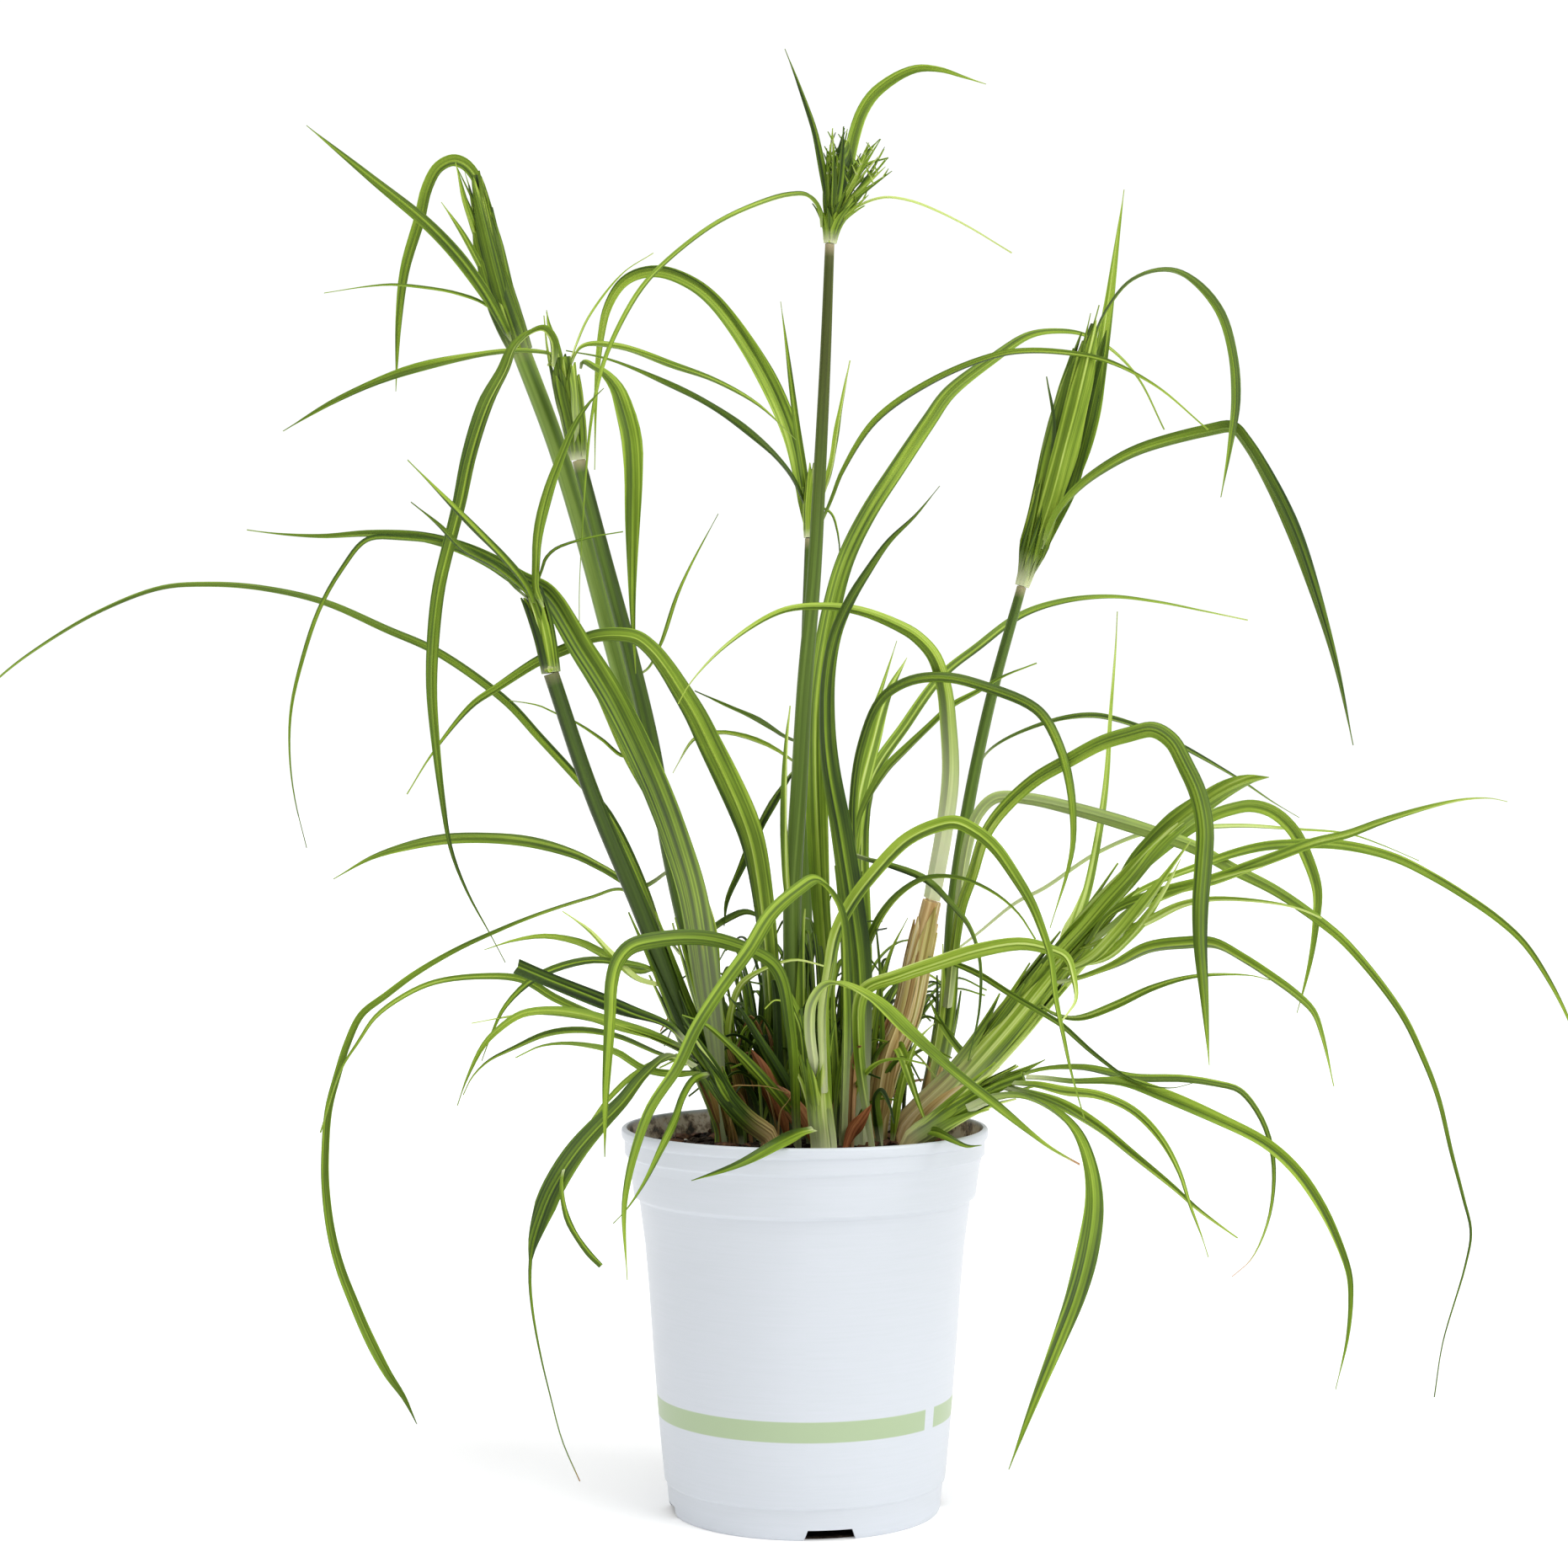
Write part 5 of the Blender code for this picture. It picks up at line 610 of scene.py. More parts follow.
WALL_MUD = ((0.36, "#35261B"), (0.45, "#A58C74"), (0.54, "#EFDFCC"), (0.7, "#FFF8F0"))
# Painted shade: the near black given to the recess under the pot's base.
RECESS_PAINTED_SHADE = "#241E19"
SOIL_BROWNS = ((0.25, "#100C09"), (0.45, "#241B14"), (0.62, "#3A2E24"), (0.8, "#65533F"))
BARK_BROWNS = ((0.3, "#2B1A10"), (0.5, "#4E3322"), (0.7, "#7A573B"), (0.9, "#A07F5E"))
PERLITE_WHITES = ((0.2, "#B9B3A6"), (0.6, "#DAD6CC"), (0.9, "#F0EEE8"))
FLOOR_WHITE = "#FAFAFA"
# How far red, green and blue light spread in green flesh.
FLESH_GREEN = (0.5, 1.0, 0.2)

# The green band round the pot: its heights, and the middle and half of its gap in radians.
BAND_LOW = 0.0310
BAND_HIGH = 0.0375
BAND_GAP_TURN = math.radians(125)
BAND_GAP_HALF = 0.052

# The pot's half section, in radius and height: inside up from the floor, down the outside, and
# its foot and recessed base. The inside has finer points near its lip, where mud ends.
RIM = RIM_DIAMETER / 2
POT_INSIDE = [
    (0.0, FLOOR_TOP), (0.0452 - WALL, FLOOR_TOP + 0.0002), (0.0489 - WALL, 0.0510),
    (0.0515 - WALL, 0.0850), (0.0533 - WALL, 0.1012), (0.0550 - WALL, 0.1024),
    (0.0572 - WALL, 0.1150), (RIM - WALL - 0.0006, POT_HEIGHT),
]
NEAR_LIP = (0.1165, 0.1185, 0.1205, 0.1218)
POT_OUTSIDE = [
    (RIM - 0.0007, POT_HEIGHT), (RIM - 0.0001, POT_HEIGHT - 0.0005), (RIM, POT_HEIGHT - 0.0020),
    (RIM - 0.0002, 0.1198), (RIM - 0.0010, 0.1194), (RIM - 0.0011, 0.1146), (RIM - 0.0019, 0.1141),
    (0.0565, 0.1110), (0.0552, 0.1013), (0.0535, 0.1001), (0.0515, 0.0850), (0.0502, 0.0700),
    (0.0489, 0.0510), (0.0468, 0.0250), (0.0453, 0.0101), (0.0446, 0.0095), (0.0438, 0.0012),
    (0.0433, 0.0),
]
POT_FOOT = [(0.0415, 0.0), (0.0418, FOOT_DEPTH), (0.0, FOOT_DEPTH)]
# The foot's notches, seen from the side and cut between two radii, and the drain holes.
NOTCHES = 4
FIRST_NOTCH_TURN = math.radians(-80)
NOTCH_SIDES = ((-0.0070, 0.0033), (-0.0089, -0.002), (0.0089, -0.002), (0.0070, 0.0033))
NOTCH_REACH = (0.036, 0.050)
DRAIN_REACH = 0.030
DRAIN_RADIUS = 0.0045
# A dark sheet of potting mix in the recess under the base, as painted shade: its half section.
RECESS_SHADE_SHEET = [(0.0, 0.0005), (0.0406, 0.0005), (0.0412, 0.0001), (0.0, 0.0001)]
# Mud dried on the inside: the height where it starts, how soon it is thick, and how thick.
MUD_TOP = 0.1228
MUD_FADE = 0.0015
MUD_MOST = 0.95
# The recess under the base is painted near black within this reach of the axis, and below this
# height: painted shade.
PAINTED_SHADE_REACH = 0.0425
PAINTED_SHADE_TOP = FOOT_DEPTH + 0.0005
# The soil's side follows the pot's inside at these heights, and its top is this rough.
SOIL_SIDE = (0.1040, 0.1, 0.051, FLOOR_TOP + 0.0005)
SOIL_ROUGH = 0.0011
# The steps round the pot, the soil and the dark sheet of painted shade, and the rings of the soil's
# top.
POT_STEPS = 144
SOIL_STEPS = 120
SOIL_RINGS = 40
SHADE_SHEET_STEPS = 90

# The points round a culm, and round a core that blades hide.
CULM_POINTS = 18
CORE_POINTS = 12
# The points tried along a carrier for a blade's depth, a solid's foot and a slim leaf's foot, and
# the points of an umbel's path.
DEPTH_POINTS = 40
FOOT_POINTS = 61
SLIM_POINTS = 80
UMBEL_POINTS = 9
# An umbel's core, as a share of its width, and how its joint swells, ring by ring. Blades stand on
# a shoot at a share of its width, and sheaths stand this far off their culm.
UMBEL_CORE = 0.7
JOINT_SWELL = (1.04, 1.12, 1.14, 1.06, 0.8)
SHOOT_HUG = 0.9
SHEATH_GAP = 0.0002
# The rings along an umbel's or a shoot's heart, a tuft's leaf and a spiky ray.
HEART_RINGS = 40
TUFT_RINGS = 24
RAY_RINGS = 14
# The half widths of a spiky ray, and of its teeth from foot to tip.
RAY_HALF = 0.0009
TOOTH_HALVES = [0.00034, 0.00032, 0.00026, 0.00018, 0.0001]
# A leaf sways as it grows: its degrees of turn, and its share of the width. Each next blade of a
# sheath starts this many radians further round.
SWAY_DEGREES = 5
SWAY_WIDTH = 0.05
NEXT_BLADE_TURN = 2.4
# How many millimetres a tuft's feet are scattered, and which tufts have dry leaves: those lower
# than this, and what share of their leaves.
TUFT_SCATTER = 5
DRY_TUFT_HEIGHT = 50
DRY_TUFT_SHARE = 0.16
# How far apart two leaves' streaks lie in the noise that they are drawn from.
SEED_APART = 7.0

# The usual greens of leaves, as places in LEAF_GREENS, how far a leaf's own may be from them, and
# the looks that a blade can have of its own.
TONES = {"leaf_green": 0.46, "leaf_light": 0.52, "leaf_dark": 0.26}
TONE_SPREAD = 0.16
LOOKS = ("tone", "fade", "pale_root", "paleness", "dry_tip", "dry", "rust")

# The pale room's light, how bright the eye sees it, and the floor's own glow.
ROOM_LIGHT = 0.50
ROOM_SEEN = 1.05
FLOOR_GLOW = 0.16
# Each lamp's direction, strength and spread in degrees.
LAMPS = (("light_right", (0.62, -0.45, 0.64), 1.6, 40),
         ("light_top", (-0.15, -0.20, 0.96), 1.3, 50))


def sighted(across, down, depth):
    """The point seen at this place in the view, at a depth in millimetres behind the axis."""
    away = EYE_DISTANCE + depth * MM
    half = SIGHT_PX / 2
    return Vector((EYE_ACROSS + (across - half) * away / FOCAL_PX, depth * MM,
                   EYE_HEIGHT - (down - half) * away / FOCAL_PX))


def sighted_height(point):
    """How far down in the view a point is seen, in pixels."""
    return SIGHT_PX / 2 + (EYE_HEIGHT - point.z) * FOCAL_PX / (EYE_DISTANCE + point.y)


def through_three(share, first, middle, last):
    """The value at a share from 0 to 1 of the parabola through three values."""
    return (first * (2 * share - 1) * (share - 1)
            + middle * 4 * share * (1 - share)
            + last * share * (2 * share - 1))


def length_of(points):
    """The length of the line through the points."""
    return sum((b - a).length for a, b in zip(points, points[1:]))


def shares_along(points, bend_length=0.0):
    """Each point's share of the whole, from 0 to 1, by length and by bend at a length a radian."""
    lengths = [0.0]
    for number, (a, b) in enumerate(zip(points, points[1:])):
        before = a - points[max(number - 1, 0)]
        bend = before.angle(b - a, 0.0) if number else 0.0
        lengths.append(lengths[-1] + (b - a).length + bend_length * bend)
    return [length / lengths[-1] for length in lengths]


def smooth_route(points, count, bend_length=0.0):
    """Points on a smooth centripetal curve through the route, closer together in its bends."""
    ends = [points[0] * 2 - points[1]] + list(points) + [points[-1] * 2 - points[-2]]
    fine = []
    for p0, p1, p2, p3 in zip(ends, ends[1:], ends[2:], ends[3:]):
        t1 = math.sqrt((p1 - p0).length)
        t2 = t1 + math.sqrt((p2 - p1).length)
        t3 = t2 + math.sqrt((p3 - p2).length)
        for step in range(8):
            t = t1 + (t2 - t1) * step / 8
            a1 = p0.lerp(p1, t / t1)
            a2 = p1.lerp(p2, (t - t1) / (t2 - t1))
            a3 = p2.lerp(p3, (t - t2) / (t3 - t2))
            b1 = a1.lerp(a2, t / t2)
            b2 = a2.lerp(a3, (t - t1) / (t3 - t1))
            fine.append(b1.lerp(b2, (t - t1) / (t2 - t1)))
    fine.append(points[-1])
    shares = shares_along(fine, bend_length)
    even, place = [], 0
    for number in range(count):
        want = number / (count - 1)
        while place < len(fine) - 2 and shares[place + 1] < want:
            place += 1
        gap = shares[place + 1] - shares[place]
        even.append(fine[place].lerp(fine[place + 1], (want - shares[place]) / gap))
    return even


def finer(points, radii, count):
    """More points on the same smooth curve, with their radii."""
    fine = smooth_route(points, count)
    return fine, list(np.interp(shares_along(fine), shares_along(points), radii))


def sighted_route(route, depths):
    """The route in space, its depth running through the values at its foot, middle and end."""
    flat = [Vector(spot) for spot in route]
    shares = shares_along(flat)
    return [sighted(*spot, through_three(share, *depths)) for spot, share in zip(flat, shares)]


def soil_height(x, y):
    """The soil's surface, a low mound with lumps."""
    mound = 1 - min(1.0, math.hypot(x, y) / RIM) ** 2
    lumps = math.sin(x * 150 + 1.3) * math.cos(y * 130 - 0.4)
    return SOIL_EDGE + SOIL_CROWN * mound + SOIL_LUMP * lumps


def on_soil(point, radius=MM):
    """The spot under a point where a foot of this radius stands just clear of the soil."""
    around = [(point.x + radius * math.cos(angle), point.y + radius * math.sin(angle))
              for angle in (0, 1.57, 3.14, 4.71)]
    height = max(soil_height(x, y) for x, y in around)
    return Vector((point.x, point.y, height + 2 * CLEARANCE))


def stem_path(stem):
    """The stem's points and radii, straight up out of the soil and then along its route."""
    route = sighted_route(stem.route, stem.depth)
    foot = on_soil(route[0], stem.radii[0] * MM)
    rise = Vector((0, 0, STEM_RISE))
    lifted = [point for point in route[1:] if point.z > foot.z + rise.z]
    count = max(5, round(length_of(lifted) / STEM_RING_GAP))
    points = [foot] + smooth_route([foot + rise] + lifted, count)
    return points, [through_three(share, *stem.radii) * MM for share in shares_along(points)]


def umbel_path(umbel):
    """The heart's points, from just above its culm, and its radii."""
    culm, _ = stem_path(BY_NAME[umbel.on])
    along = (culm[-1] - culm[-2]).normalized()
    route = [culm[-1] + along * CLEARANCE] + sighted_route(umbel.route, umbel.depth)[1:]
    points = smooth_route(route, UMBEL_POINTS)
    radii = np.interp(shares_along(points), shares_along(route), umbel.radii)
    return points, [radius * MM for radius in radii]


def carrier_path(name):
    """The points and radii of the stem, umbel heart or blade that carries a blade."""
    carrier = BY_NAME[name]
    if isinstance(carrier, Stem):
        return stem_path(carrier)
    if isinstance(carrier, Umbel):
        return umbel_path(carrier)
    points = sighted_route(carrier.route, (depth_at_foot(carrier), *carrier.depth))
    return points, [0.0] * len(points)


def depth_at_foot(blade):
    """The depth in millimetres where a blade leaves its carrier."""
    points = smooth_route(carrier_path(blade.on)[0], DEPTH_POINTS)
    return min(points, key=lambda point: abs(sighted_height(point) - blade.route[0][1])).y / MM


def blade_foot(blade, solid):
    """Where a blade starts, and the way its upper face looks there if its carrier says so."""
    if blade.on == "soil":
        radius = blade.width * MM * blade.root_share / 2 if solid else MM
        return on_soil(sighted(*blade.route[0], blade.depth[0]), radius), None
    points, radii = carrier_path(blade.on)
    first, toward = sighted_route(blade.route, (depth_at_foot(blade), *blade.depth))[:2]
    if not solid:
        fine = smooth_route(points, SLIM_POINTS)
        return min(fine, key=lambda point: (point - first).length), None
    # A blade with a solid hugs its stem on the side that it leaves by, or stands on its end.
    fine, last = smooth_route(points, FOOT_POINTS), FOOT_POINTS - 1
    nearest = min(range(1, FOOT_POINTS), key=lambda i: (fine[i] - first).length)
    radius = float(np.interp(nearest / last, shares_along(points), radii))
    along = (fine[nearest] - fine[nearest - 1]).normalized()
    away = toward - fine[nearest]
    away = (away - along * away.dot(along)).normalized()
    if nearest == last:
        return fine[last] + along * 2 * CLEARANCE + away * radius * END_OFFSET, -away
    return fine[nearest] + away * (radius + CLEARANCE + BLADE_THICKNESS), -away


def blade_width(blade, share):
    """The blade's width at a share of its length, in metres. Past its tail it is a dried thread."""
    if share > blade.tail:
        return THREAD_WIDTH * (1 - share) / (1 - blade.tail)
    if share < blade.widest:
        rise = share / blade.widest
        rise = rise * rise * (3 - 2 * rise)
        return blade.width * MM * (blade.root_share + (1 - blade.root_share) * rise)
    if blade.cut:
        return blade.width * MM
    fall = (share - blade.widest) / (1 - blade.widest)
    return blade.width * MM * max(0.0, 1 - fall ** blade.slim)


def blade_frames(points, upper=None):
    """The direction along the blade and the way its upper face looks, carried along the route."""
    frames, along = [], (points[1] - points[0]).normalized()
    if upper is None:
        upper = Vector((points[0].x - points[-1].x, points[0].y - points[-1].y, 0))
    upper = (upper - along * upper.dot(along)).normalized()
    for behind, ahead in zip(points[:1] + points[:-1], points[1:] + points[-1:]):
        turned_to = (ahead - behind).normalized()
        upper = along.rotation_difference(turned_to) @ upper
        along = turned_to
        frames.append((along.copy(), upper.copy()))
    return frames


def inner_radius(height):
    """The pot's inside radius at a height."""
    for (r0, z0), (r1, z1) in zip(POT_INSIDE[1:], POT_INSIDE[2:]):
        if height <= z1:
            return r0 + (r1 - r0) * (height - z0) / (z1 - z0)
    return POT_INSIDE[-1][0]


def colour(code):
    """A colour given as an sRGB hex value, in linear light."""
    parts = [int(code[i:i + 2], 16) / 255 for i in (1, 3, 5)]
    return [c / 12.92 if c <= 0.04045 else ((c + 0.055) / 1.055) ** 2.4 for c in parts] + [1.0]


def add_node(tree, kind, out=0, **given):
    """Adds a node, sets its properties, feeds its inputs (i and a number for one by its place)
    with values or other nodes' outputs, and gives back one of its outputs."""
    made = tree.nodes.new("ShaderNode" + kind)
    for key, value in given.items():
        if key == "stops":
            ramp = made.color_ramp.elements
            while len(ramp) < len(value):
                ramp.new(0.5)
            for stop, (place, code) in zip(ramp, value):
                stop.position, stop.color = place, colour(code)
        elif key in made.bl_rna.properties:
            setattr(made, key, value)
        else:
            socket = made.inputs[int(key[1:]) if key[1:].isdigit() else key]
            if isinstance(value, bpy.types.NodeSocket):
                tree.links.new(value, socket)
            else:
                socket.default_value = value
    return made.outputs[out]


def start_material(name, **sockets):
    """A new material, its nodes, and its shader with these values."""
    made = bpy.data.materials.new(name)
    made.use_nodes = True
    shader = made.node_tree.nodes["Principled BSDF"]
    for key, value in sockets.items():
        shader.inputs[key.replace("_", " ")].default_value = value
    return made, made.node_tree, shader


def skin_with(tree, shader, hue, height, strength, distance):
    """Gives the shader its colour, and a relief that stands as high as it's given in metres."""
    tree.links.new(hue, shader.inputs["Base Color"])
    relief = add_node(tree, "Bump", Strength=strength, Distance=distance, Height=height)
    tree.links.new(relief, shader.inputs["Normal"])


def stored_in(tree, *keys):
    """The values stored at a skin's points, and the place on it, in millimetres."""
    stored = {key: add_node(tree, "Attribute", "Fac", attribute_name=key)
              for key in ("across_mm", "along_mm", "seed") + keys}
    return stored, add_node(tree, "CombineXYZ", X=stored["across_mm"], Y=stored["along_mm"],
                            Z=stored["seed"])


def streaks_in(tree, place, *layers):
    """Streaks drawn out along a leaf, and how they shift its tone. A layer is given by its cycles
    a millimetre across and along, its detail, its contrast's half range, and its reach."""
    for across_rate, along_rate, detail, half_range, reach in layers:
        drawn_out = add_node(tree, "VectorMath", operation="MULTIPLY", i0=place,
                             i1=(across_rate, along_rate, SEED_APART))
        streaks = add_node(tree, "TexNoise", Vector=drawn_out, Scale=1.0, Detail=detail,
                           Roughness=0.6)
        yield streaks, add_node(tree, "MapRange", i0=streaks, i1=0.5 - half_range,
                                i2=0.5 + half_range, i3=-reach, i4=reach)


def sedge_leaf():
    """Live sedge leaf, grown with parallel veins under a waxy skin: long stripes of light and dark
    green, a pale midrib groove, paler undersides, and a satin sheen that the veins break up."""
    made, tree, shader = start_material(
        "sedge_leaf_live", Roughness=0.45, IOR=1.40, Specular_IOR_Level=0.30,
        Subsurface_Weight=0.12, Subsurface_Radius=FLESH_GREEN, Subsurface_Scale=0.0010)
    stored, place = stored_in(tree, "tone", "pale", "dry", "rust")
    # Veins 0.7 mm apart, coarser than the real 0.3 mm so that they show, on stripes of about 2 mm.
    (veins, vein_shift), (_, stripe_shift), (_, blotch_shift) = streaks_in(
        tree, place, (1.4, 0.010, 2.0, 0.2, 0.20), (0.85, 0.006, 1.0, 0.15, 0.17),
        (0.10, 0.022, 3.0, 0.2, 0.10))
    off_rib = add_node(tree, "Math", operation="ABSOLUTE", i0=stored["across_mm"])
    rib = add_node(tree, "MapRange", interpolation_type="SMOOTHSTEP", i0=off_rib, i1=0.10,
                   i2=0.40, i3=0.15, i4=0.0)
    total, fibres = stored["tone"], 0.5
    for shift in (vein_shift, stripe_shift, blotch_shift, rib):
        total = add_node(tree, "Math", operation="ADD", i0=total, i1=shift)
    for shift in (vein_shift, stripe_shift):
        fibres = add_node(tree, "Math", operation="ADD", i0=fibres, i1=shift)
    hue, tan, rust = (
        add_node(tree, "ValToRGB", stops=stops, Fac=at)
        for stops, at in ((LEAF_GREENS, total), (DRY_TANS, fibres), (RUST_BROWNS, fibres)))
    dead = add_node(tree, "Mix", 2, data_type="RGBA", i0=stored["rust"], i6=tan, i7=rust)
    for share, other in (("pale", colour(ROOT_PALE)), ("dry", dead)):
        hue = add_node(tree, "Mix", 2, data_type="RGBA", i0=stored[share], i6=hue, i7=other)
    rough = add_node(tree, "MapRange", i0=veins, i1=0.2, i2=0.8, i3=0.40, i4=0.60)
    tree.links.new(rough, shader.inputs["Roughness"])
    skin_with(tree, shader, hue, veins, 0.4, 0.0003)
    return made


def culm_skin():
    """Sedge culm, a smooth three-sided stem with pith inside: long faint ridges 0.9 mm apart, waxy,
    green, and weathered to olive where it has stood in the sun."""
    made, tree, shader = start_material(
        "sedge_culm", Roughness=0.42, IOR=1.42, Specular_IOR_Level=0.35,
        Subsurface_Weight=0.10, Subsurface_Radius=FLESH_GREEN, Subsurface_Scale=0.0015)
    stored, place = stored_in(tree, "tone", "pale", "olive")
    (ridges, ridge_shift), (_, band_shift) = streaks_in(
        tree, place, (1.1, 0.008, 2.0, 0.2, 0.16), (0.35, 0.006, 1.0, 0.15, 0.14))
    total = stored["tone"]
    for shift in (ridge_shift, band_shift):
        total = add_node(tree, "Math", operation="ADD", i0=total, i1=shift)
    hue, olive = (add_node(tree, "ValToRGB", stops=stops, Fac=total)
                  for stops in (CULM_GREENS, CULM_OLIVES))
    for share, other in (("olive", olive), ("pale", colour(JUNCTION_BEIGE))):
        hue = add_node(tree, "Mix", 2, data_type="RGBA", i0=stored[share], i6=hue, i7=other)
    skin_with(tree, shader, hue, ridges, 0.3, 0.0003)
    return made


def moulded_pot_plastic():
    """Injection-moulded polypropylene: a satin white skin with faint flow streaks round the pot,
    a pale green band printed round it with a short gap, mud dried on its inside, and painted
    shade that darkens the recess under its base."""
    made, tree, shader = start_material(
        "polypropylene_moulded", Roughness=0.36, IOR=1.49, Specular_IOR_Level=0.5,
        Subsurface_Weight=0.12, Subsurface_Radius=(1.0, 1.0, 1.0), Subsurface_Scale=0.001)
    spot = add_node(tree, "TexCoord", "Object")
    x, y, z = add_node(tree, "SeparateXYZ", Vector=spot).node.outputs
    turn = add_node(tree, "Math", operation="ARCTAN2", i0=x, i1=y)
    wrap = add_node(tree, "CombineXYZ", X=turn, Y=z, Z=0.0)
    # Flow streaks about 25 mm long and 0.8 mm high.
    long_wrap = add_node(tree, "VectorMath", operation="MULTIPLY", i0=wrap, i1=(2.2, 1200.0, 1.0))
    streaks = add_node(tree, "TexNoise", Vector=long_wrap, Scale=1.0, Detail=3.0, Roughness=0.6)
    # The band lies between its low and high edge, and away from its gap.
    aside = add_node(tree, "Math", operation="SUBTRACT", i0=turn, i1=BAND_GAP_TURN)
    aside = add_node(tree, "Math", operation="ABSOLUTE", i0=aside)
    band = 1.0
    for value, edge, soft, below, above in (
            (z, BAND_LOW, 0.0002, 0.0, 1.0), (z, BAND_HIGH, 0.0002, 1.0, 0.0),
            (aside, BAND_GAP_HALF, 0.004, 0.0, 1.0)):
        inside = add_node(tree, "MapRange", interpolation_type="SMOOTHSTEP", i0=value,
                          i1=edge - soft, i2=edge + soft, i3=below, i4=above)
        band = add_node(tree, "Math", operation="MULTIPLY", i0=band, i1=inside)
    # Mud has dried on the inside above the soil, in splashes 3 to 10 mm wide, and the recess
    # under the base is painted near black, as painted shade.
    splashes = add_node(tree, "TexNoise", Vector=spot, Scale=160.0, Detail=5.0, Roughness=0.7)
    hue, mud = (add_node(tree, "ValToRGB", stops=stops, Fac=at)
                for stops, at in ((POT_WHITES, streaks), (WALL_MUD, splashes)))
    grime, stain = (add_node(tree, "Attribute", "Fac", attribute_name=key)
                    for key in ("grime", "stain"))
    for share, other in ((band, colour(BAND_GREEN)), (grime, mud), (stain, colour(RECESS_PAINTED_SHADE))):
        hue = add_node(tree, "Mix", 2, data_type="RGBA", i0=share, i6=hue, i7=other)
    skin_with(tree, shader, hue, streaks, 0.01, 0.0002)
    return made


def potting_mix(name, hues, roughness=0.95):
    """Milled peat, watered and settled: near black and matt, with lighter fibres and crumbs. With
    their own hues, it's also the look of the mix's chipped bark and expanded perlite."""
    made, tree, shader = start_material(name, Roughness=roughness, Specular_IOR_Level=0.25)
    spot = add_node(tree, "TexCoord", "Object")
    crumbs = add_node(tree, "TexNoise", Vector=spot, Scale=420.0, Detail=4.0, Roughness=0.65)
    patches = add_node(tree, "TexNoise", Vector=spot, Scale=70.0, Detail=2.0)
    patches = add_node(tree, "Math", operation="MULTIPLY_ADD", i0=patches, i1=0.45, i2=-0.2)
    both = add_node(tree, "Math", operation="ADD", i0=crumbs, i1=patches)
    hue = add_node(tree, "ValToRGB", stops=hues, Fac=both)
    skin_with(tree, shader, hue, crumbs, 0.8, 0.0008)
    return made


def own_shade(name):
    """A number from 0 to 1 that stays the same for a name."""
    return random.Random(name).random()


def linked(name, data):
    """A new object in the scene."""
    made = bpy.data.objects.new(name, data)
    bpy.context.scene.collection.objects.link(made)
    return made


def mesh_of(name, corners, faces):
    """A new mesh with these corners and faces."""
    mesh = bpy.data.meshes.new(name)
    mesh.from_pydata(corners, [], faces)
    return mesh


def poured_into(mesh, whole):
    """The mesh, filled with the whole that was built for it."""
    whole.to_mesh(mesh)
    whole.free()
    return mesh


def shaded(mesh, **values):
    """Stores float values at the mesh's points, for its material."""
    for key, data in values.items():
        store = mesh.attributes.new(key, "FLOAT", "POINT")
        store.data.foreach_set("value", np.asarray(data, dtype=np.float32))


def add_piece(name, mesh, finish, slot, *nodes):
    """Adds a piece that rides on the plant, and stands for the solids named."""
    mesh.materials.append(finish)
    made = linked(name, mesh)
    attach(made, "root")
    if nodes:
        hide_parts(*nodes)
    return made


def blade_line(blade, foot, upper=None):
    """A leaf's middle line, the way its upper face looks, its half widths, and its shares."""
    route = sighted_route(blade.route, (foot.y / MM, *blade.depth[-2:]))
    route[0] = foot
    rings = min(220, max(14, round(length_of(route) / RING_GAP)))
    points = smooth_route(route, rings, BEND_LENGTH)
    shares = shares_along(points)
    frames = blade_frames(points, upper)
    along, face = frames[len(frames) // 2]
    sign = 1 if along.cross(face).y * face.y >= 0 else -1
    dice = random.Random(blade.name)
    start, rate = dice.uniform(0, 2 * math.pi), dice.uniform(9, 22)
    ups, halves = [], []
    for (way, face), share in zip(frames, shares):
        sway = math.sin(start + share * rate)
        turn = sign * math.radians(through_three(share, *blade.twist) + SWAY_DEGREES * sway)
        ups.append(Quaternion(way, turn) @ face)
        half = max(blade_width(blade, share) / 2, THINNEST_HALF)
        halves.append(half * (1 + SWAY_WIDTH * sway))
    return points, ups, halves, shares


def leaf_shades(shares, tone, pale_root=0.10, dry_tip=0.0, paleness=0.7, dry=0.0, rust=0.0,
                brown_root=0.0, fade=0.0):
    """Shading values along a leaf: its green, its pale root, its dry tip, and how dead it is."""
    shares = np.array(shares)
    root = np.clip(1 - shares / brown_root, 0, 1) if brown_root else 0 * shares
    tip = np.clip((shares - 1 + dry_tip) / dry_tip * 2, 0, 1) if dry_tip else 0 * shares
    return {
        "tone": tone + fade * shares,
        "pale": paleness * np.clip(1 - shares / max(pale_root, 0.001), 0, 1) ** 1.5,
        "dry": np.clip(tip + dry + 0.9 * root, 0, 1),
        "rust": np.clip(rust + 0.6 * tip + 0.3 * root, 0, 1),
    }


def ring_faces(rings, around):
    """Quads between closed rings, and a cap at each end."""
    faces = [(around * ring + i, around * (ring + 1) + i,
              around * (ring + 1) + (i + 1) % around, around * ring + (i + 1) % around)
             for ring in range(rings - 1) for i in range(around)]
    last = around * (rings - 1)
    return faces + [tuple(range(around)), tuple(last + i for i in reversed(range(around)))]


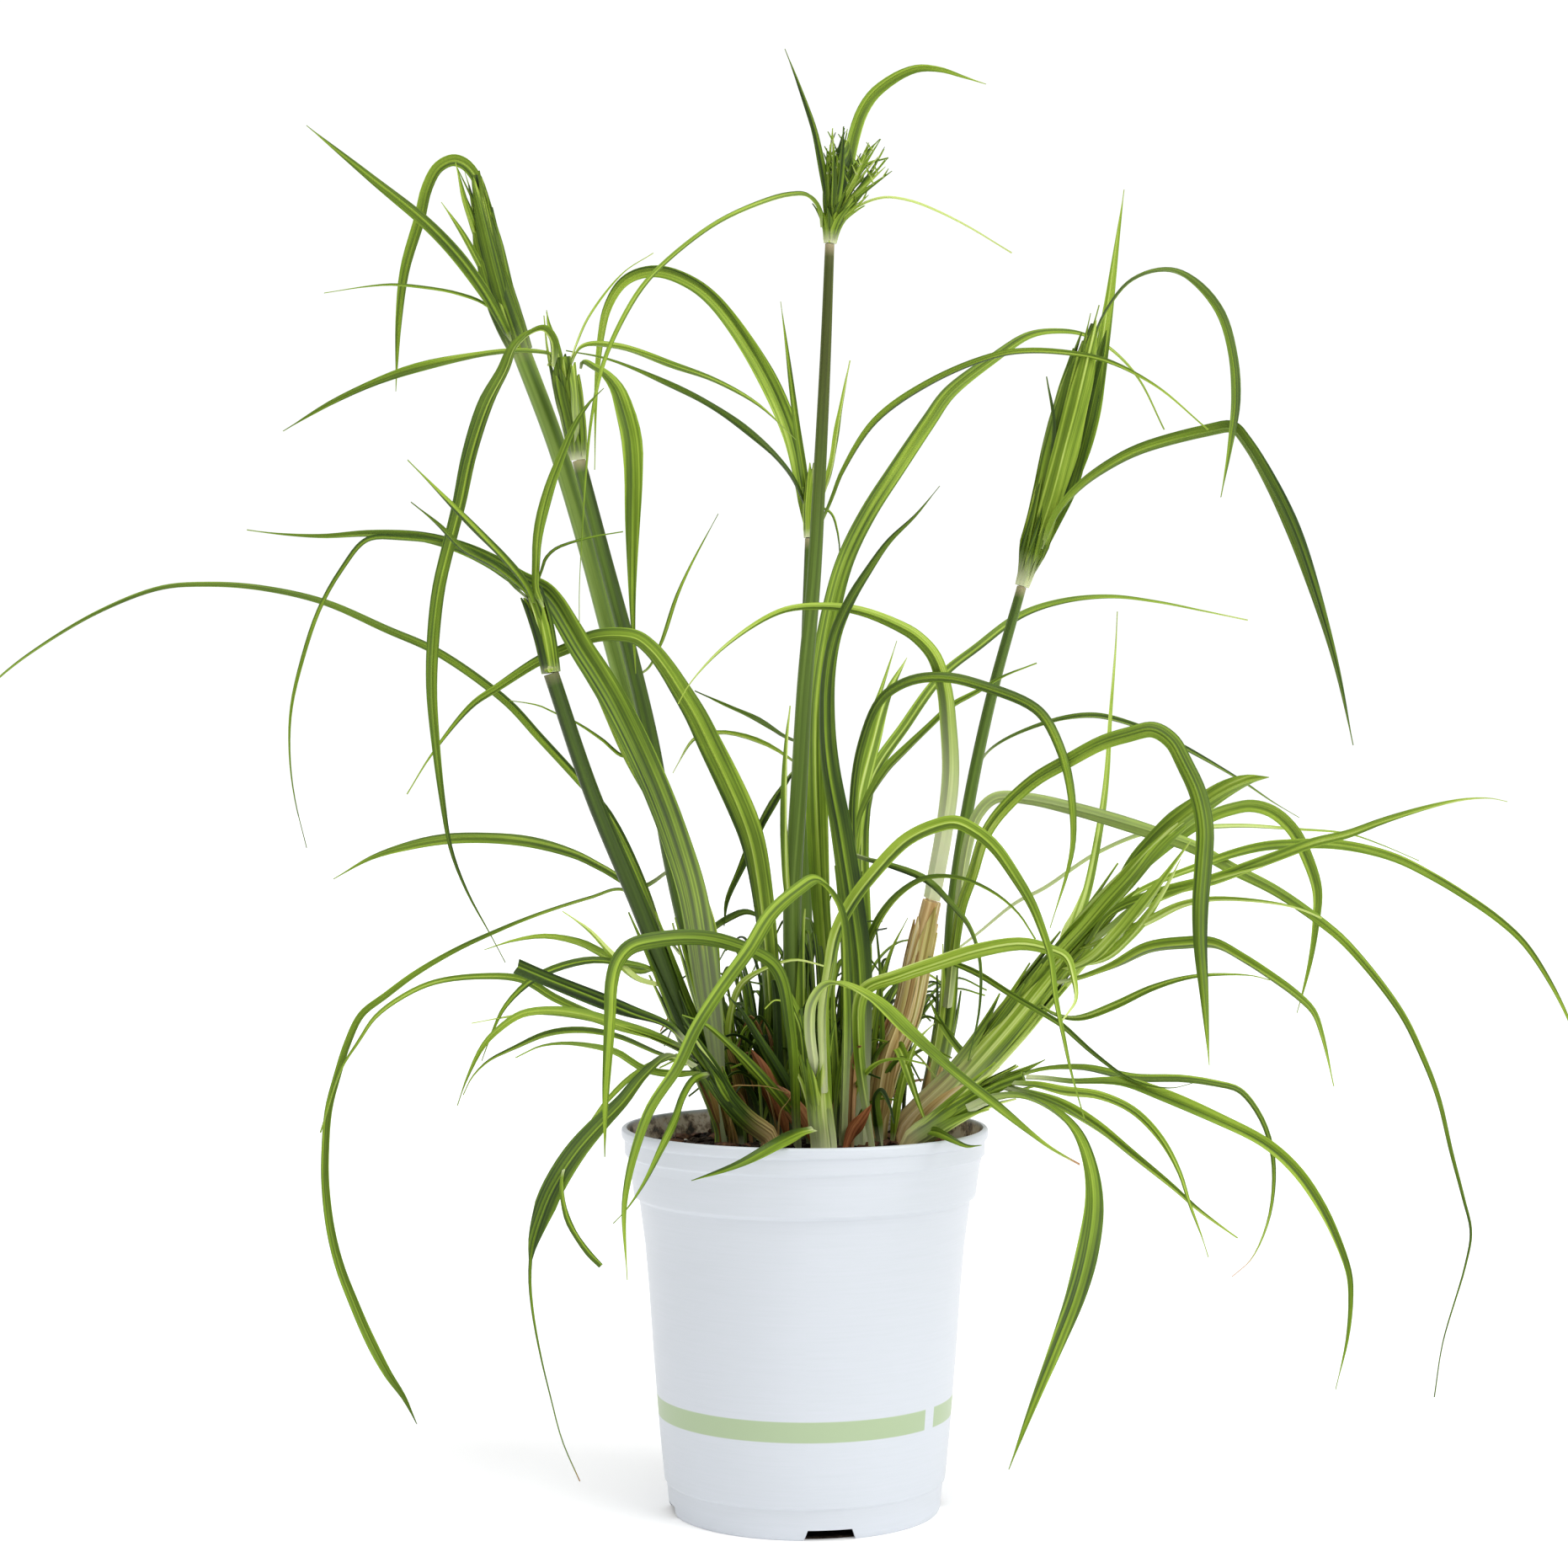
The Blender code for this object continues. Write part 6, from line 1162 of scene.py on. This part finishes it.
def skin_bits(name, line, ups, sides, out_side, out_up, across, shades):
    """A closed skin about a line: its corners, faces and shading values."""
    corners = (line[:, None] + sides[:, None] * out_side[..., None]
               + ups[:, None] * out_up[..., None])
    steps = np.linalg.norm(np.diff(line, axis=0), axis=1)
    gone = np.concatenate([[0], np.cumsum(steps)])[:, None]
    flat = 0 * out_side
    values = {key: (np.asarray(data)[:, None] + flat).ravel() for key, data in shades.items()}
    values["across_mm"] = (across / MM).ravel()
    values["along_mm"] = (gone / MM + flat).ravel()
    values["seed"] = own_shade(name) * 20 + flat.ravel()
    return corners.reshape(-1, 3), ring_faces(*out_side.shape), values


def ribbon(name, points, ups, halves, shades, fold=1.15):
    """The fine closed skin of a blade about its middle line."""
    line, ups, halves = np.array(points), np.array(ups), np.array(halves)[:, None]
    sides = np.cross(np.gradient(line, axis=0), ups)
    sides /= np.linalg.norm(sides, axis=1)[:, None] + 1e-12
    section = SECTION if halves.max() > 0.0013 else SECTION[::2]
    u = np.array(section + section[-2:0:-1])[None, :]
    under = (np.arange(u.size) >= len(section))[None, :]
    # A blade is thin at its edges, thicker where it is wide, and grooved along its midrib.
    thick = 0.00016 + 0.00014 * np.minimum(1, halves / 0.002)
    skin = np.where(under, -1.4, 0.6) * (1 - abs(u) ** 4) * thick
    groove = np.where(abs(u) < 0.01, np.where(under, -0.00025, -0.00012), 0)
    lift = CHANNEL * halves * abs(u) ** fold + skin + groove
    across = halves * u
    corners, faces, values = skin_bits(name, line, ups, sides, across, lift, across, shades)
    values["tone"] += (0.04 * under + 0 * across).ravel()
    return corners, faces, values


def tube_skin(name, points, radii, around, shades, corner=0.06):
    """A stem's closed skin, three-sided with round corners."""
    frames = blade_frames(points, Vector((0, -1, 0)))
    line, ups, sides = (np.array(part) for part in (
        points, [up for _, up in frames], [way.cross(up) for way, up in frames]))
    turns = 2 * np.pi * np.arange(around) / around
    reach = np.array(radii)[:, None] * (1 - corner + corner * np.cos(3 * turns + 0.6))
    corners, faces, values = skin_bits(name, line, ups, sides, reach * np.cos(turns),
                                       reach * np.sin(turns), abs(turns - np.pi) * reach, shades)
    return corners, [tuple(reversed(face)) for face in faces], values


def mesh_from(name, bits):
    """One mesh from several skins."""
    corners, faces, values, start = [], [], {}, 0
    for points, quads, shading in bits:
        corners.append(points)
        faces += [tuple(start + i for i in face) for face in quads]
        start += len(points)
        for key, data in shading.items():
            values.setdefault(key, []).append(data)
    mesh = mesh_of(name, np.concatenate(corners).tolist(), faces)
    shaded(mesh, **{key: np.concatenate(data) for key, data in values.items()})
    mesh.shade_smooth()
    mesh.set_sharp_from_angle(angle=math.radians(55))
    return mesh


def make_leaf(blade, solid=False):
    """A leaf, which stands for its solid if it has one of its own."""
    points, ups, halves, shares = blade_line(blade, *blade_foot(blade, solid))
    # A leaf narrows softly where it goes over into its dried thread.
    if blade.tail < 1:
        halves = [half * (1 if share < blade.tail else THREAD_SHARE)
                  for half, share in zip(halves, shares)]
        halves = list(np.convolve(np.pad(halves, 2, mode="edge"), np.ones(5) / 5, mode="valid"))
    look = {"tone": TONES[blade.colour] + TONE_SPREAD * (own_shade(blade.name) - 0.5)}
    if blade.on.startswith("umbel"):
        halves = [half * min(1.0, 0.25 + share / 0.04) for half, share in zip(halves, shares)]
        look.update(pale_root=0.03, paleness=0.4)
    look.update((key, getattr(blade, key)) for key in LOOKS if getattr(blade, key) is not None)
    skin = ribbon(blade.name, points, ups, halves, leaf_shades(shares, **look))
    mesh = mesh_from(blade.name, [skin])
    if solid:
        add_piece(blade.name + "_skin", mesh, LEAF, blade.colour, blade.name)
    else:
        add_piece(blade.name + "_skin", mesh, LEAF, "leaf_green")


def make_tuft(tuft, across, back, count, reach, height, dice):
    """Young leaves and dry fibres that crowd between the stems."""
    bits = []
    for number in range(count):
        foot = on_soil(Vector(((across + dice.uniform(-TUFT_SCATTER, TUFT_SCATTER)) * MM,
                               (back + dice.uniform(-TUFT_SCATTER, TUFT_SCATTER)) * MM, 0)))
        turn = dice.uniform(0, 2 * math.pi)
        out = Vector((math.cos(turn), math.sin(turn), 0)) * reach * dice.uniform(0.4, 1.2) * MM
        out += Vector((foot.x, foot.y, 0)) * 0.5
        tall = height * dice.uniform(0.45, 1.1) * MM
        droop = dice.uniform(-0.1, 0.5) * min(1.0, 1.6 - height / 50)
        path = ((0.12, 0.45), (0.42, 0.86), (0.8, 1.0), (1.25, 1 - droop))
        line = smooth_route([foot] + [foot + out * aside + Vector((0, 0, tall * up))
                                      for aside, up in path], TUFT_RINGS, BEND_LENGTH)
        wide = dice.uniform(0.6, 1.5) * MM
        shares = np.linspace(0, 1, TUFT_RINGS)
        halves = [wide * (0.7 + 0.3 * min(ring / 6, 1))
                  * (1 - max(ring / (TUFT_RINGS - 1) - 0.3, 0) ** 1.6 * 1.77) + 0.0001
                  for ring in range(TUFT_RINGS)]
        dead = height < DRY_TUFT_HEIGHT and dice.random() < DRY_TUFT_SHARE
        # The lower the tuft, the darker its greens may be: painted shade of the crowded base of the
        # clump.
        shades = leaf_shades(shares, dice.uniform(0.02, 0.12 + 0.0065 * height), pale_root=0.25,
                             paleness=0.25, dry=0.9 * dead, rust=0.6 * dead)
        ups = [up for _, up in blade_frames(line)]
        bits.append(ribbon(f"tuft{tuft}leaf{number}", line, ups, halves, shades))
    add_piece(f"tuft_{tuft}", mesh_from(f"tuft_{tuft}", bits), LEAF, "leaf_green")


def wrapped_blades(name, points, radii, count, width, tone, stops=(0.6, 1.0), lean=0.0015,
                   pale=0.0, pale_root=0.2, dry=0.0, rust=0.0, hug=(1.0, 0.5), fullness=1.7,
                   brown_root=0.0, foot_width=None):
    """Blades set round a path and curved about it, from the outermost in."""
    dice = random.Random(name)
    frames = blade_frames(points, Vector((0, -1, 0)))
    length, last = length_of(points), len(points) - 1
    bits = []
    for number in range(count):
        turn = NEXT_BLADE_TURN * number + dice.uniform(-0.25, 0.25)
        stop = dice.uniform(*stops)
        close = hug[0] + (hug[1] - hug[0]) * number / max(count - 1, 1)
        broad = width * dice.uniform(0.8, 1.15) * 0.5 * MM
        out = lean * dice.uniform(0.2, 1.3)
        shares = np.linspace(0, 1, max(10, round(stop * length / WRAPPED_RING_GAP)))
        line, ups, halves = [], [], []
        for share in shares.tolist():
            spot = stop * share
            low = min(int(spot * last), last - 1)
            blend = min(spot * last - low, 1.0)
            centre = points[low].lerp(points[low + 1], blend)
            centre += frames[last][0] * max(spot - 1, 0) * length
            radius = radii[low] + (radii[low + 1] - radii[low]) * blend
            way, up = frames[low]
            outward = way.cross(up) * math.cos(turn) + up * math.sin(turn)
            line.append(centre + outward * (radius * close + out * share ** 2.5))
            ups.append(-outward)
            # A blade is widest at three tenths of its length. With a foot width it starts
            # narrower, at that share of the path's radius.
            widest = broad * (0.8 + 0.2 * min(share / 0.3, 1.0))
            if foot_width is not None:
                widest = min(broad, radius * foot_width + broad * share * 3)
            fall = max(share - 0.3, 0.0) / 0.7
            halves.append(max(widest * (1 - fall ** fullness), THINNEST_HALF))
        shades = leaf_shades(
            shares, tone + dice.uniform(-TONE_SPREAD, TONE_SPREAD), pale_root / stop, 0.0, pale,
            dry * dice.uniform(0.6, 1.2), rust * dice.uniform(0.3, 1.2), brown_root)
        bits.append(ribbon(f"{name}{number}", line, ups, halves, shades, fold=1.6))
    return bits


def make_culm(culm):
    """A culm, and the leaf bases that sheathe its foot."""
    points, radii = stem_path(culm)
    fine, widths = finer(points, radii, max(12, round(length_of(points) / CULM_RING_GAP)))
    shares = np.array(shares_along(fine))
    ring = BY_NAME[culm.name.replace("culm", "umbel")].ring
    # A culm is lighter at its foot and beige at its joint, and a sunned one is olive above.
    sunned = culm.colour == "culm_olive"
    shades = {"tone": culm.tone + 0.12 * (1 - shares),
              "pale": 0.6 * ring * np.clip((shares - 0.985) / 0.01, 0, 1),
              "olive": np.clip((shares - 0.62) / 0.25, 0.15, 1) if sunned else 0 * shares}
    skin = tube_skin(culm.name, fine, widths, CULM_POINTS, shades)
    add_piece(culm.name + "_skin", mesh_from(culm.name, [skin]), CULM, culm.colour, culm.name)
    for number, sheath in enumerate(culm.sheaths):
        last = round(sheath.high * (len(fine) - 1))
        look = sheath._asdict()
        del look["high"]
        name = f"{culm.name}_sheath{number}"
        clear = [width + SHEATH_GAP for width in widths[:last]]
        bits = wrapped_blades(name, fine[:last], clear, hug=(1.0, 1.0), **look)
        add_piece(name, mesh_from(name, bits), LEAF, "leaf_green")


def make_shoot(shoot):
    """A leafy shoot: its core, and the leaf bases that sheathe it."""
    fine, widths = finer(*stem_path(shoot), HEART_RINGS)
    shades = leaf_shades(shares_along(fine), shoot.look["tone"] - 0.1, 0.3, paleness=0.5,
                         dry=shoot.look.get("dry", 0.0))
    core = [width * shoot.core for width in widths]
    bits = [tube_skin(shoot.name, fine, core, CORE_POINTS, shades)]
    bits += wrapped_blades(shoot.name, fine, [width * SHOOT_HUG for width in widths], **shoot.look)
    add_piece(shoot.name + "_skin", mesh_from(shoot.name, bits), LEAF, shoot.colour, shoot.name)


def spiky_rays(umbel, fine):
    """The young rays at an umbel's tips, in twos or, where they are toothed, in threes."""
    dice = random.Random(umbel.name + "rays")
    for number, (across, down) in enumerate(umbel.tips):
        for twin in range(3 if umbel.teeth else 2):
            low = fine[dice.randint(3, 12)]
            end = sighted(across + dice.uniform(-5, 5) * (twin > 0),
                          down + dice.uniform(0, 26) * (twin > 0),
                          umbel.depth[1] + dice.uniform(-7, 7))
            bow = (end - low).cross(Vector((0, 1, 0))) * dice.uniform(-0.06, 0.06)
            path = [low, low.lerp(end, 0.35) + bow, low.lerp(end, 0.7) + bow * 0.8, end]
            line = smooth_route(path, RAY_RINGS)
            ups = [Vector((dice.uniform(-0.6, 0.6), -1, 0)).normalized()] * RAY_RINGS
            halves = [RAY_HALF * (1 - (ring / (RAY_RINGS - 1)) ** 1.6) + 0.0001
                      for ring in range(RAY_RINGS)]
            # Rays right of the umbel's top are made lighter: painted light from the lamp on the
            # right.
            lit_side_lift = 0.24 if across > umbel.route[-1][0] + 20 else 0.04
            tone = umbel.look["tone"] + lit_side_lift + dice.uniform(-0.14, 0.16)
            shades = leaf_shades(np.linspace(0, 1, RAY_RINGS), tone, pale_root=0.0)
            yield ribbon(f"{umbel.name}tip{number}{twin}", line, ups, halves, shades)
            for tooth in range(umbel.teeth):
                base = line[9 + 2 * tooth]
                side = Vector((dice.choice((-1, 1)) * dice.uniform(0.3, 0.8),
                               dice.uniform(-0.6, 0.6), 1)).normalized()
                spike = [base + side * RAY_HALF * step for step in range(len(TOOTH_HALVES))]
                own = {key: data[:len(spike)] for key, data in shades.items()}
                yield ribbon(f"{umbel.name}tooth{number}{twin}{tooth}", spike,
                             ups[:len(spike)], TOOTH_HALVES, own)


def make_umbel(umbel):
    """An umbel: its core, sheathing blades, joint with the culm, spiky young rays and thin rays."""
    fine, widths = finer(*umbel_path(umbel), HEART_RINGS)
    tone, ring = umbel.look["tone"], umbel.ring
    shades = leaf_shades(shares_along(fine), tone - 0.12, 0.10, paleness=0.9)
    core = [width * UMBEL_CORE for width in widths]
    bits = [tube_skin(umbel.name, fine, core, CORE_POINTS, shades)]
    bits += wrapped_blades(umbel.name, fine, widths, pale=0.85 * ring, pale_root=0.13,
                           foot_width=0.75, **umbel.look)
    # The joint's five rings turn from lime to beige.
    joint = {"tone": [0.5 + 0.45 * ring] * 2 + [0.5] * 3, "pale": [0, 0] + [0.8 * ring] * 3,
             "dry": [0, 0, 0.35 * ring, 0.35 * ring, 0.2 * ring], "rust": [0, 0, 0.1, 0.1, 0.1]}
    collar = [widths[0] * swell for swell in JOINT_SWELL]
    bits.append(tube_skin(umbel.name, fine[:len(collar)], collar, CULM_POINTS, joint, 0.03))
    bits += spiky_rays(umbel, fine)
    for ray in umbel.rays:
        ray = ray._replace(name=umbel.name + ray.name)
        line, ups, halves, shares = blade_line(ray, sighted(*ray.route[0], umbel.depth[1]))
        own = tone + 0.02 + 0.2 * (own_shade(ray.name) - 0.5) if ray.tone is None else ray.tone
        bits.append(ribbon(ray.name, line, ups, [half * ray.hair for half in halves],
                           leaf_shades(shares, own, 0.05)))
    add_piece(umbel.name + "_skin", mesh_from(umbel.name, bits), LEAF, "leaf_green", umbel.name)


def turned_mesh(name, outline, steps):
    """A surface of revolution about the upright axis."""
    rows, turns = len(outline), [2 * math.pi * step / steps for step in range(steps)]
    corners = [(radius * math.cos(turn), radius * math.sin(turn), height)
               for turn in turns for radius, height in outline]
    faces = [(step * rows + row, (step + 1) % steps * rows + row,
              (step + 1) % steps * rows + row + 1, step * rows + row + 1)
             for step in range(steps) for row in range(rows - 1)]
    mesh = mesh_of(name, corners, faces)
    whole = bmesh.new()
    whole.from_mesh(mesh)
    bmesh.ops.remove_doubles(whole, verts=whole.verts, dist=0.00001)
    bmesh.ops.recalc_face_normals(whole, faces=whole.faces)
    return poured_into(mesh, whole)


def rounded_outline(points, bevel=0.0003):
    """The outline with each corner softened by three points."""
    soft = [points[0]]
    for before, here, after in zip(points, points[1:], points[2:]):
        a, b, c = Vector(before), Vector(here), Vector(after)
        first, last = (b + (end - b).normalized() * min(bevel, (end - b).length * 0.4)
                       for end in (a, c))
        soft += [tuple(first), tuple((first + last + b * 2) / 4), tuple(last)]
    return soft + [points[-1]]


def cut_away(target, mesh):
    """Cuts a shape out of a piece."""
    cutter = linked("pot_cutter", mesh)
    step = target.modifiers.new("cut", "BOOLEAN")
    step.operation = "DIFFERENCE"
    step.object = cutter
    step.solver = "EXACT"
    return cutter


def make_pot(finish):
    """The pot as moulded: rolled lip, grooves, stepped collar, tapered wall and notched foot."""
    fine_inside = POT_INSIDE[:-1] + [(inner_radius(height), height) for height in NEAR_LIP]
    outline = rounded_outline(fine_inside + POT_INSIDE[-1:] + POT_OUTSIDE + POT_FOOT)
    mesh = turned_mesh("pot", outline, POT_STEPS)
    made = add_piece("pot_skin", mesh, finish, "pot_white", "pot")
    cutters = []
    for number in range(NOTCHES):
        angle = FIRST_NOTCH_TURN + number * 2 * math.pi / NOTCHES
        turn = Matrix.Rotation(angle - math.pi / 2, 4, "Z")
        corners = [turn @ Vector((x, y, z)) for y in NOTCH_REACH for x, z in NOTCH_SIDES]
        quads = [(i, 4 + i, 4 + (i + 1) % 4, (i + 1) % 4) for i in range(4)]
        quads += [(0, 1, 2, 3), (7, 6, 5, 4)]
        cutters.append(cut_away(made, mesh_of("foot_notch", corners, quads)))
        place = (DRAIN_REACH * math.cos(angle), DRAIN_REACH * math.sin(angle), FOOT_DEPTH)
        whole = bmesh.new()
        bmesh.ops.create_cone(whole, cap_ends=True, segments=24, radius1=DRAIN_RADIUS,
                              radius2=DRAIN_RADIUS, depth=0.02, matrix=Matrix.Translation(place))
        cutters.append(cut_away(made, poured_into(bpy.data.meshes.new("drain_hole"), whole)))
    graph = bpy.context.evaluated_depsgraph_get()
    final = bpy.data.meshes.new_from_object(made.evaluated_get(graph))
    made.modifiers.clear()
    made.data = final
    for cutter in cutters:
        bpy.data.objects.remove(cutter, do_unlink=True)
    heights = np.array([v.co.z for v in final.vertices])
    reach = np.array([math.hypot(v.co.x, v.co.y) for v in final.vertices])
    wall_inside = np.array([inner_radius(height) for height in heights])
    muddy = (reach < wall_inside + 0.0003) & (heights > 0.04)
    grime = np.where(muddy, np.clip((MUD_TOP - heights) / MUD_FADE, 0, MUD_MOST), 0.0)
    # The recess under the base gets painted shade.
    in_shaded_recess = (reach < PAINTED_SHADE_REACH) & (heights < PAINTED_SHADE_TOP)
    shaded(final, grime=grime, stain=np.where(in_shaded_recess, 1.0, 0.0))
    final.shade_smooth()
    final.set_sharp_from_angle(angle=math.radians(35))


def strewn(label, finish, edge, number, sizes, flat, dice):
    """Rough grains strewn over the soil."""
    whole = bmesh.new()
    for _ in range(number):
        reach, turn = edge * 0.97 * math.sqrt(dice.random()), dice.uniform(0, 6.283)
        x, y = reach * math.cos(turn), reach * math.sin(turn)
        size = dice.uniform(*sizes)
        stretch = dice.uniform(1.0, 2.2)
        place = (Matrix.Translation((x, y, soil_height(x, y) + size * 0.45))
                 @ Matrix.Rotation(dice.uniform(0, 6.283), 4, "Z")
                 @ Matrix.Rotation(dice.uniform(-0.5, 0.5), 4, "X")
                 @ Matrix.Diagonal((size * stretch, size, size * flat, 1)))
        made = bmesh.ops.create_icosphere(whole, subdivisions=1, radius=1, matrix=place)
        for vertex in made["verts"]:
            vertex.co += Vector([dice.uniform(-1, 1) for _ in range(3)]) * size * 0.18
    add_piece(label, poured_into(bpy.data.meshes.new(label), whole), finish, "soil_brown")


def make_soil(peat):
    """The root ball with a lumpy top, and crumbs, bark and a little perlite strewn on it, and a
    dark sheet of painted shade under the base.
    """
    edge = inner_radius(SOIL_EDGE) - CLEARANCE
    outline = [(edge * ring / SOIL_RINGS, SOIL_EDGE) for ring in range(SOIL_RINGS + 1)]
    outline += [(inner_radius(height) - 2 * CLEARANCE, height) for height in SOIL_SIDE]
    mesh = turned_mesh("potting_soil", outline + [(0.0, SOIL_SIDE[-1])], SOIL_STEPS)
    for vertex in mesh.vertices:
        x, y, z = vertex.co
        if z > SOIL_EDGE - 0.0001:
            rough = noise.fractal(Vector((x, y, 0)) * 220, 0.9, 2.1, 4)
            vertex.co.z = soil_height(x, y) + SOIL_ROUGH * rough
    mesh.shade_smooth()
    add_piece("potting_soil_skin", mesh, peat, "soil_brown", "potting_soil")
    dice = random.Random("crumbs")
    strewn("peat_crumbs", peat, edge, 900, (0.0004, 0.0013), 0.7, dice)
    strewn("bark_chips", potting_mix("bark_chip", BARK_BROWNS, 0.8), edge, 90,
           (0.0008, 0.0026), 0.4, dice)
    strewn("perlite_grains", potting_mix("perlite_expanded", PERLITE_WHITES, 0.7), edge, 14,
           (0.0005, 0.0010), 0.8, dice)
    # A dark sheet of potting mix lies in the recess under the base, as painted shade.
    shade_sheet = turned_mesh("peat_washed_out", RECESS_SHADE_SHEET, SHADE_SHEET_STEPS)
    add_piece("peat_washed_out", shade_sheet, peat, "soil_brown")


def set_stage():
    """A pale floor, a pale room that the eye sees as white, two wide soft lights, and the eye."""
    white = colour(FLOOR_WHITE)
    paper, _, _ = start_material("floor_paper", Roughness=0.9, Specular_IOR_Level=0.1,
                                 Base_Color=white, Emission_Color=white,
                                 Emission_Strength=FLOOR_GLOW)
    ground = [(-20, -20, 0), (20, -20, 0), (20, 20, 0), (-20, 20, 0)]
    floor_mesh = mesh_of("floor", ground, [(0, 1, 2, 3)])
    floor_mesh.materials.append(paper)
    linked("floor", floor_mesh)
    world = bpy.data.worlds.new("pale_room")
    world.use_nodes = True
    tree = world.node_tree
    background = tree.nodes["Background"]
    seen = add_node(tree, "LightPath", "Is Camera Ray")
    strength = add_node(tree, "MapRange", i0=seen, i3=ROOM_LIGHT, i4=ROOM_SEEN)
    background.inputs["Color"].default_value = colour("#FFFFFF")
    tree.links.new(strength, background.inputs["Strength"])
    scene = bpy.context.scene
    scene.world = world
    scene.view_settings.view_transform = "Standard"
    for name, toward, strength, spread in LAMPS:
        light = bpy.data.lights.new(name, "SUN")
        light.energy, light.angle = strength, math.radians(spread)
        linked(name, light).rotation_euler = Vector(toward).to_track_quat("Z", "Y").to_euler()
    lens = bpy.data.cameras.new("sighting_camera")
    lens.sensor_width = SENSOR_MM
    lens.lens = FOCAL_PX * SENSOR_MM / SIGHT_PX
    eye = linked("sighting_camera", lens)
    eye.location = (EYE_ACROSS, -EYE_DISTANCE, EYE_HEIGHT)
    eye.rotation_euler = (math.radians(90), 0, 0)
    scene.camera = eye


BY_NAME = {part.name: part for part in STEMS + UMBELS + LEAVES}

set_stage()
LEAF = sedge_leaf()
CULM = culm_skin()
make_pot(moulded_pot_plastic())
make_soil(potting_mix("peat_potting_mix", SOIL_BROWNS))
for stem in STEMS:
    if stem.name.startswith("culm"):
        make_culm(stem)
    else:
        make_shoot(stem)
for blade in BRACTS + LEAVES:
    make_leaf(blade, solid=True)
for blade in SLIM_LEAVES + EXTRA_LEAVES + SOIL_LEAVES:
    make_leaf(blade)
tuft_dice = random.Random("tufts")
for number, tuft in enumerate(TUFTS):
    make_tuft(number, *tuft, tuft_dice)
for umbel in UMBELS:
    make_umbel(umbel)
